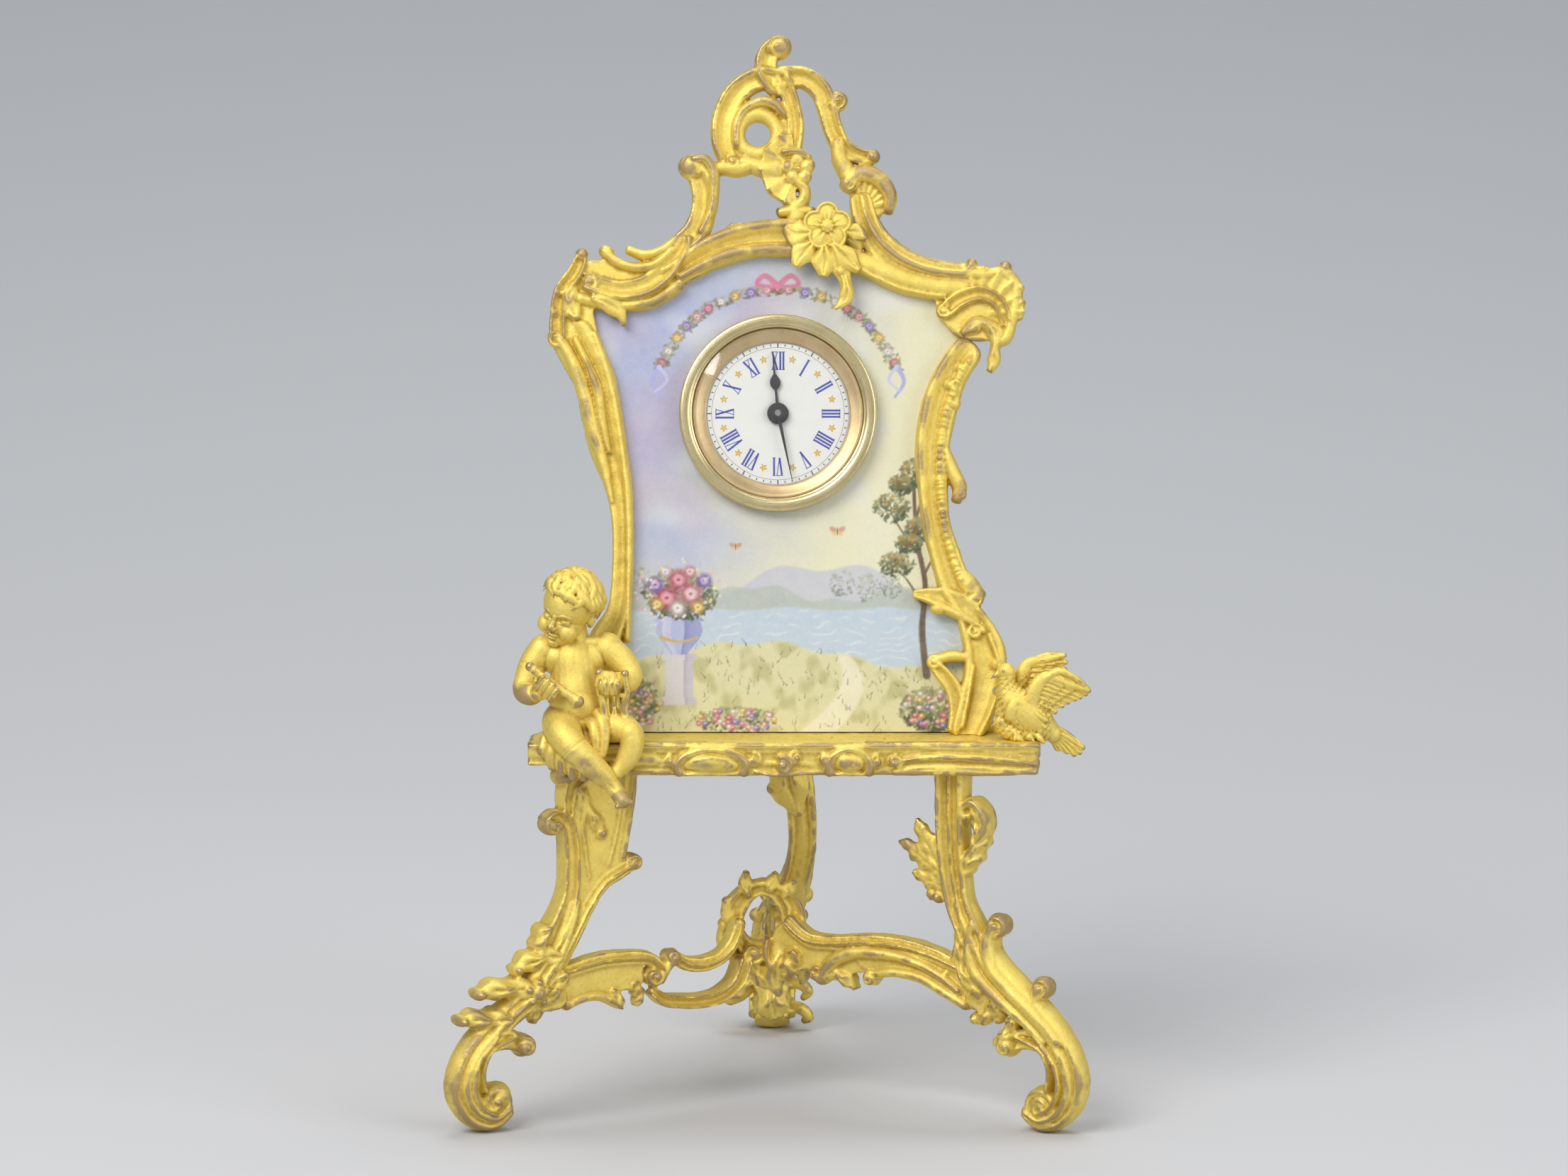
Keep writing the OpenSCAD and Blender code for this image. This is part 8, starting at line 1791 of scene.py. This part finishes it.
def lyre(form):
    """The small lyre held against the knee."""
    form.on(front_plane(-27.6))
    form.bar([[-32.2, 89.6, 0.6, 0.8], [-32.3, 87, 0.7, 0.9], [-31.5, 83.6, 0.75, 0.9],
              [-31.1, 80.8, 0.8, 0.95], [-29.9, 78.2, 0.9, 1]])
    form.bar([[-27.4, 89.4, 0.55, 0.8], [-26.9, 86.2, 0.65, 0.9], [-27.5, 83.2, 0.7, 0.9],
              [-27.2, 80.4, 0.75, 0.9], [-28.5, 77.9, 0.8, 1]])
    form.bar([[-32.4, 85.2, 0.5, 0.7], [-29.6, 85.8, 0.5, 0.7], [-26.8, 85.2, 0.5, 0.7]], level=0.1)
    form.bar([[-31.2, 80.2, 0.7, 0.8], [-29.2, 79.2, 0.9, 0.9], [-27.2, 80, 0.7, 0.8]], level=-0.2)
    for x in (-30.4, -29.6, -28.8):
        form.bar([[x - 0.2, 85.4, 0.17, 0.3], [(x * 2 - 29.6) / 3, 79.6, 0.17, 0.3]], level=-0.1)
    form.knob(-32.2, 89.8, 0.95, 0, 0.9)
    form.knob(-27.3, 89.6, 0.85, 0, 0.9)
    form.on(WORLD)


def legs(form):
    """The child's legs, crossed at the ankle, with their feet."""
    form.tube([[-39.6, -21.8, 79.4, 4], [-39.6, -25.2, 79, 3.9], [-39, -28.2, 78, 3.5],
               [-37.6, -30.3, 76.2, 3], [-35.8, -31.2, 74.4, 2.75], [-33.6, -31.3, 72.3, 2.6],
               [-31.4, -31, 70.1, 2.15], [-29.9, -30.8, 68.5, 1.7], [-29.2, -31, 67.6, 1.6]], sides=22,
              step=0.4)
    form.egg(-37.8, -30.7, 76.5, 2.6, 2.2, 2.6)
    form.tube([[-29.5, -30.4, 68, 1.6], [-28.6, -31.4, 66.8, 1.6], [-27.6, -32.6, 65.6, 1.55]], sides=16,
              step=0.3)
    form.egg(-29.5, -30, 67.6, 1.4, 1.4, 1.35)
    for k in range(5):
        form.egg(-28.7 + 0.66 * k, -33.5 + 0.12 * k, 64.6 + 0.2 * k, 0.5 + 0.06 * (k == 4), 0.62, 0.55)
    form.tube([[-32.8, -21.8, 79.4, 4], [-30.2, -24.6, 79.2, 3.6], [-27.6, -27, 78.8, 2.9],
               [-26.1, -28.6, 77.8, 2.5], [-26, -29, 75.6, 2.3], [-26.8, -29, 73.4, 2.2],
               [-28, -29.2, 71.6, 1.7]], sides=22, step=0.4)
    form.egg(-26.2, -29.2, 78.2, 2.2, 1.9, 2.3)
    form.tube([[-28, -29.2, 71.6, 1.5], [-29.2, -29.6, 70.4, 1.4], [-30.4, -29.9, 69.4, 1.2]], step=0.3)


def drapery(form):
    """A cloth under the child that hangs over the shelf's edge in folds."""
    form.on(WORLD)
    for x, low, deep, r in (((-43.2, 74.0, -27.6, 1.0), (-41.4, 71.6, -28.4, 1.2),
                             (-39.4, 70.4, -28.8, 1.25), (-37.3, 69.6, -28.8, 1.25),
                             (-35.3, 69.4, -28.6, 1.2), (-33.4, 70.2, -28.2, 1.1))):
        form.tube([[x + 0.6, -23.4, 77.2, r], [x + 0.4, -26.4, 77, r], [x, deep, 75.2, r],
                   [x - 0.3, deep + 0.1, (75 + low) / 2, r * 1.05], [x - 0.1, deep + 0.3, low, r * 0.75]],
                  sides=12, step=0.4)
    form.tube([[-34, -23.6, 81, 1.6], [-32.4, -26.4, 81.2, 1.5], [-31.4, -28.4, 79.4, 1.2],
               [-31.2, -29, 77, 1], [-31.6, -29, 74.2, 0.9]], sides=12, step=0.4)
    form.tube([[-35.4, -24.6, 80, 1.5], [-33.6, -27.4, 79.8, 1.3], [-33, -28.8, 77.4, 1.1],
               [-32.8, -29, 74.8, 0.8]], sides=12, step=0.4)


def cherub_body():
    """Everything of the child but the head."""
    form = Form()
    for part in (torso, arms, hands, lyre, legs, drapery):
        part(form)

    def press(v, n):
        """Draws navel, breast bone and the creases at the joints, and seats the child."""
        deep = dents(v - SHIFT, [((-36.9, -28.0, 83.0), (0.5, 1.2, 0.42), 0.42),
                                 ((-37.2, -25.6, 91.0), (0.5, 1.4, 2.4), 0.12),
                                 ((-37.2, -23.6, 95.6), (0.6, 1.2, 0.5), 0.3),
                                 ((-37.6, -29.6, 78.6), (1.4, 0.5, 0.3), 0.18)])
        deep += ring_dents(v, [((-44.3, -27.7, 85.7), (0.9, -1.4, 0.6), 0.22, 2.0, 0.3),
                               ((-29.7, -27.2, 88.7), (-1.0, -0.8, 0.6), 0.22, 2.0, 0.3),
                               ((-30.0, -30.8, 68.6), (-1.8, 0, -2.0), 0.28, 2.3, 0.28),
                               ((-45.0, -22.0, 90.6), (0.3, 0.1, 1), 0.3, 3.2, 0.16),
                               ((-37.0, -31.2, 75.9), (-1.4, 0.4, 1.6), 0.3, 3.2, 0.16)])
        v = v - n * deep[:, None]
        return seated(v, -60, -10, SEAT_FRONT)

    cast("cherub_body", form, ["cherub"], 27, voxel=0.19, uneven=0.025, sculpt=press,
         trim=[BACK_OF_FIGURES])


# Pair of doves

def plume(form, line, half, depth, level):
    """A feather: a rounded blade with a raised quill."""
    p = np.array(line, float)
    rows = [[x, y, half * w, depth, level] for (x, y), w in zip(p, (0.7, 1.0, 0.95, 0.45))]
    form.bar(rows, RIDGE, step=0.25)


def wing(form, root, wrist, tips, level, half, inner):
    """Quills from the wing's bend to their tips, under two rows of shorter cover feathers."""
    root, wrist = np.array(root, float), np.array(wrist, float)
    for share, thick, above in ((1.0, 1.0, 0.0), (0.66, 1.05, 0.5), (0.4, 1.0, 0.9)):
        for k, tip in enumerate(tips):
            start = wrist + (root - wrist) * (k / (len(tips) - 1)) ** 1.1 * 0.9
            end = start + (np.array(tip, float) - start) * share
            sag = np.array([(end - start)[1], -(end - start)[0]]) * 0.06
            line = [start, start + (end - start) * 0.4 - sag, start + (end - start) * 0.75 - sag * 0.6,
                    end]
            plume(form, line, half * thick, 0.55, level + above * 0.8 - 0.04 * k)
    form.bar([[*root, half * 1.5, 1.1, level + 0.3], [*inner, half * 1.5, 1.2, level + 0.5],
              [*wrist, half * 1.2, 1, level + 0.4],
              [*(wrist + (np.array(tips[0]) - wrist) * 0.5), half * 0.8, 0.75, level + 0.3],
              [*tips[0], half * 0.45, 0.6, level + 0.1]], step=0.3)


def doves():
    """Two doves on the shelf, one with raised wings and one below it."""
    form = Form()
    form.tube([[46.8, -21.9, 88.6, 1.75], [46.7, -21.8, 86.8, 1.9], [47.4, -21.5, 84.6, 2.9],
               [48.9, -21.3, 82.4, 3.75], [51.2, -21.1, 80.4, 3.8], [53.6, -20.9, 78.6, 3],
               [55.8, -20.7, 77, 1.9]], sides=22, step=0.4)
    form.egg(46.7, -22, 89.2, 1.85, 1.75, 1.7)
    form.tube([[45.4, -22.4, 89, 0.62], [44.4, -22.7, 88.5, 0.42], [43.9, -22.8, 88, 0.2]], sides=10,
              step=0.15)
    form.tube([[45.5, -22.4, 89.3, 0.45], [44.8, -22.6, 89.1, 0.35]], sides=10, step=0.15)
    form.egg(46.2, -23.55, 89.5, 0.42, 0.3, 0.42)
    form.tube([[45.4, -22, 79, 0.9], [46, -21.9, 80.9, 1.5], [47, -21.6, 83, 2.2]], sides=12, step=0.3)
    form.tube([[46, -21.9, 78.4, 1.55], [47.8, -21.6, 77.6, 2.1], [50.2, -21.3, 77.2, 2.35],
               [52.6, -21.1, 76.9, 1.9], [54.4, -21, 76.5, 1.2]], sides=20, step=0.4)
    form.egg(45.8, -22.2, 79.1, 1.5, 1.45, 1.4)
    form.tube([[44.7, -22.7, 79, 0.5], [43.9, -23, 78.6, 0.2]], sides=10, step=0.15)
    form.egg(45.5, -23.45, 79.4, 0.36, 0.28, 0.36)
    for x in (48.8, 50.9, 52.8):
        form.tube([[x, -23, 77, 0.75], [x + 0.5, -23.6, 76.3, 0.7], [x + 1, -23.8, 75.7, 0.5]], sides=10,
                  step=0.2)
    form.on(front_plane(-22.4))
    wing(form, (51.4, 82.2), (54.6, 88.3),
         ((62.9, 85.5), (62.3, 84.8), (61.2, 84.2), (60.2, 83.8), (58.9, 83.2), (57.7, 82.4),
          (56.4, 81.2), (55.2, 79.8)), 0.3, 1, (52.2, 85.8))
    form.bar([[53.2, 86.6, 0.7, 1, 0.7], [54.6, 88.4, 0.8, 1.1, 0.8], [57.2, 89.4, 0.7, 1, 0.6],
              [60.4, 87.9, 0.6, 0.8, 0.5], [62.6, 85.9, 0.45, 0.6, 0.4]], step=0.3)
    wing(form, (47.6, 80.6), (48.8, 83.6),
         ((54.8, 79.6), (54.2, 78.4), (53.2, 77.6), (52, 77), (50.8, 76.9)), 1.2, 0.85, (47.8, 82.4))
    form.on(front_plane(-19.2))
    wing(form, (49.6, 86.4), (51.4, 90.6),
         ((58.3, 92), (58.6, 90.6), (58.4, 89.2), (57.6, 87.6), (56.2, 86)), 0.3, 0.95, (50.2, 89))
    form.on(front_plane(-20.6))
    for k, (x, z) in enumerate(((61.9, 73.9), (61.3, 72.9), (60.2, 72.5), (58.8, 73.0), (57.5, 73.9))):
        plume(form, [[54, 79.4 - 0.5 * k], [56.4, 77.6 - 0.55 * k], [59.2 - 0.5 * k, 75.8 - 0.45 * k],
                     [x, z]], 1.05, 0.6, 0.25 - 0.1 * k)
    form.on(WORLD)
    form.tube([[48.6, -23.6, 77.2, 0.5], [48.4, -24, 76.2, 0.4]], sides=8, step=0.2)

    def feathers(v, n):
        """Overlapping rows of small breast feathers on the birds' bodies."""
        q = v - SHIFT
        row_length, feather_width = 0.95, 1.15
        along = (q[:, 0] - 46.5) * 0.72 - (q[:, 2] - 88) * 0.69
        across = (q[:, 0] - 46.5) * 0.69 + (q[:, 2] - 88) * 0.72 + 0.9 * (q[:, 1] + 21)
        row = np.floor(along / row_length)
        u, w = along / row_length - row, across / feather_width + 0.5 * (row % 2)
        w = np.abs(w - np.floor(w) - 0.5) * 2
        scale = np.clip(u - 0.35 * w**2, -0.2, 1.0) - 0.35 * (w > 0.86)
        plain = (q[:, 0] > 55.6) | (q[:, 2] > 88.2) | (q[:, 1] < -23.9)
        plain |= (q[:, 0] > 51) & (q[:, 2] > 84)
        v = v + n * (np.where(plain, 0, 0.17) * (scale - 0.3))[:, None]
        return seated(v, 30, SHELF_RIGHT, -60)

    cast("doves", form, ["dove"], 28, voxel=0.145, relax=1, uneven=0.02, sculpt=feathers,
         trim=[BACK_OF_FIGURES])


# Everything else that the CAD model shows

PICTURE = enamel_material("painted_enamel", gloss=0.1, painted="paint")
DRUM = turned_material("drum_brass", (0.68, 0.50, 0.22), (0.56, 0.38, 0.14), 0.28, DIAL_CENTRE)
OTHERS = {"gilt": GILT, "bright_gilt": BEZEL, "enamel": PICTURE, "dial_enamel": WHITE,
          "clear_glass": GLASS, "dark_steel": DARK, "steel": STEEL, "plain_brass": BRASS}
for part in frame["record"]["subparts"]:
    made = frame["nodes"][part["node"]]
    made.data.materials.clear()
    made.data.materials.append(OTHERS[part["material_slot"]])

for build in (left_leg, right_leg, rear_leg, stretcher, shelf, surround, crest, flower_spray, cherub_head,
              cherub_body, doves, turned_parts, dial, enamel_panel):
    build()


# Camera, light and ground

# Width of the camera's picture and its focal length
SENSOR_MM, LENS_MM = 36, 139.35


def look_from(place, tilt):
    """The camera, at a place in millimetres."""
    data = bpy.data.cameras.new("camera")
    data.sensor_width = SENSOR_MM
    data.sensor_fit = "HORIZONTAL"
    data.lens = LENS_MM
    data.clip_start, data.clip_end = 0.01, 50
    camera = bpy.data.objects.new("camera", data)
    camera.location = [c * MM for c in place]
    camera.rotation_euler = (math.radians(tilt), 0, 0)
    scene.collection.objects.link(camera)
    scene.camera = camera


def softbox(name, place, size, power, colour=(1, 1, 1)):
    """A soft lamp that looks at the middle of the clock, in metres."""
    data = bpy.data.lights.new(name, "AREA")
    data.shape = "RECTANGLE"
    data.size, data.size_y = size
    data.energy = power
    data.color = colour
    lamp = bpy.data.objects.new(name, data)
    lamp.location = place
    way = Vector((0, 0, 0.1)) - Vector(place)
    lamp.rotation_euler = way.to_track_quat("-Z", "Y").to_euler()
    scene.collection.objects.link(lamp)


# Paper under and behind the clock, and the painted shade that darkens the backdrop as it rises
FLOOR_NEAR, FLOOR_FAR, BACKDROP_SHADE = (0.505, 0.507, 0.52), (0.50, 0.52, 0.54), (0.36, 0.38, 0.40)


def ground():
    """A pale floor that curves up behind into a backdrop darkened by painted shade, in metres."""
    bend_from, bend_r = 0.35, 1.2
    profile = [(-3.0, 0.0), (bend_from, 0.0)]
    profile += [(bend_from + bend_r * math.sin(a), bend_r - bend_r * math.cos(a))
                for a in np.radians(np.linspace(6, 90, 15))]
    profile += [(bend_from + bend_r, 3.5)]
    points = [(x, y, z) for y, z in profile for x in (-4.0, 4.0)]
    faces = [(2 * i, 2 * i + 1, 2 * i + 3, 2 * i + 2) for i in range(len(profile) - 1)]
    mesh = bpy.data.meshes.new("floor")
    mesh.from_pydata(points, [], faces)
    mesh.polygons.foreach_set("use_smooth", [True] * len(faces))
    floor = bpy.data.objects.new("floor", mesh)
    scene.collection.objects.link(floor)
    material, tree, shader = blank("floor_paper", Roughness=0.9)
    where = place_of(tree, 1.0)
    split = node(tree, "ShaderNodeSeparateXYZ", {0: where})
    # Painted shade: the paper turns darker as it rises into the backdrop
    up = spread(tree, split.outputs["Z"], 0.0, 0.28)
    far = spread(tree, split.outputs["Y"], 0.1, 1.0)
    pale = mixed(tree, far, FLOOR_NEAR, FLOOR_FAR)
    tint = mixed(tree, up, pale, BACKDROP_SHADE)
    mottle = spread(tree, noise(tree, where, 30, 3.0), 0.3, 0.7, 0, 0.06)
    tree.links.new(mixed(tree, mottle, tint, (0.5, 0.5, 0.5)), shader.inputs["Base Color"])
    mesh.materials.append(material)


look_from((3.5, -1204.2, 273.6), 81.8)
softbox("key", (-0.55, -0.85, 0.95), (0.8, 0.6), 13, (1, 0.985, 0.96))
softbox("fill", (0.95, -0.75, 0.5), (0.7, 0.9), 5, (0.97, 0.985, 1))
softbox("top", (0.1, 0.25, 1.15), (0.9, 0.6), 6)
world = bpy.data.worlds.new("studio")
world.use_nodes = True
world.node_tree.nodes["Background"].inputs["Color"].default_value = (0.80, 0.82, 0.85, 1)
world.node_tree.nodes["Background"].inputs["Strength"].default_value = 0.55
scene.world = world
ground()
scene.view_settings.view_transform = "Standard"
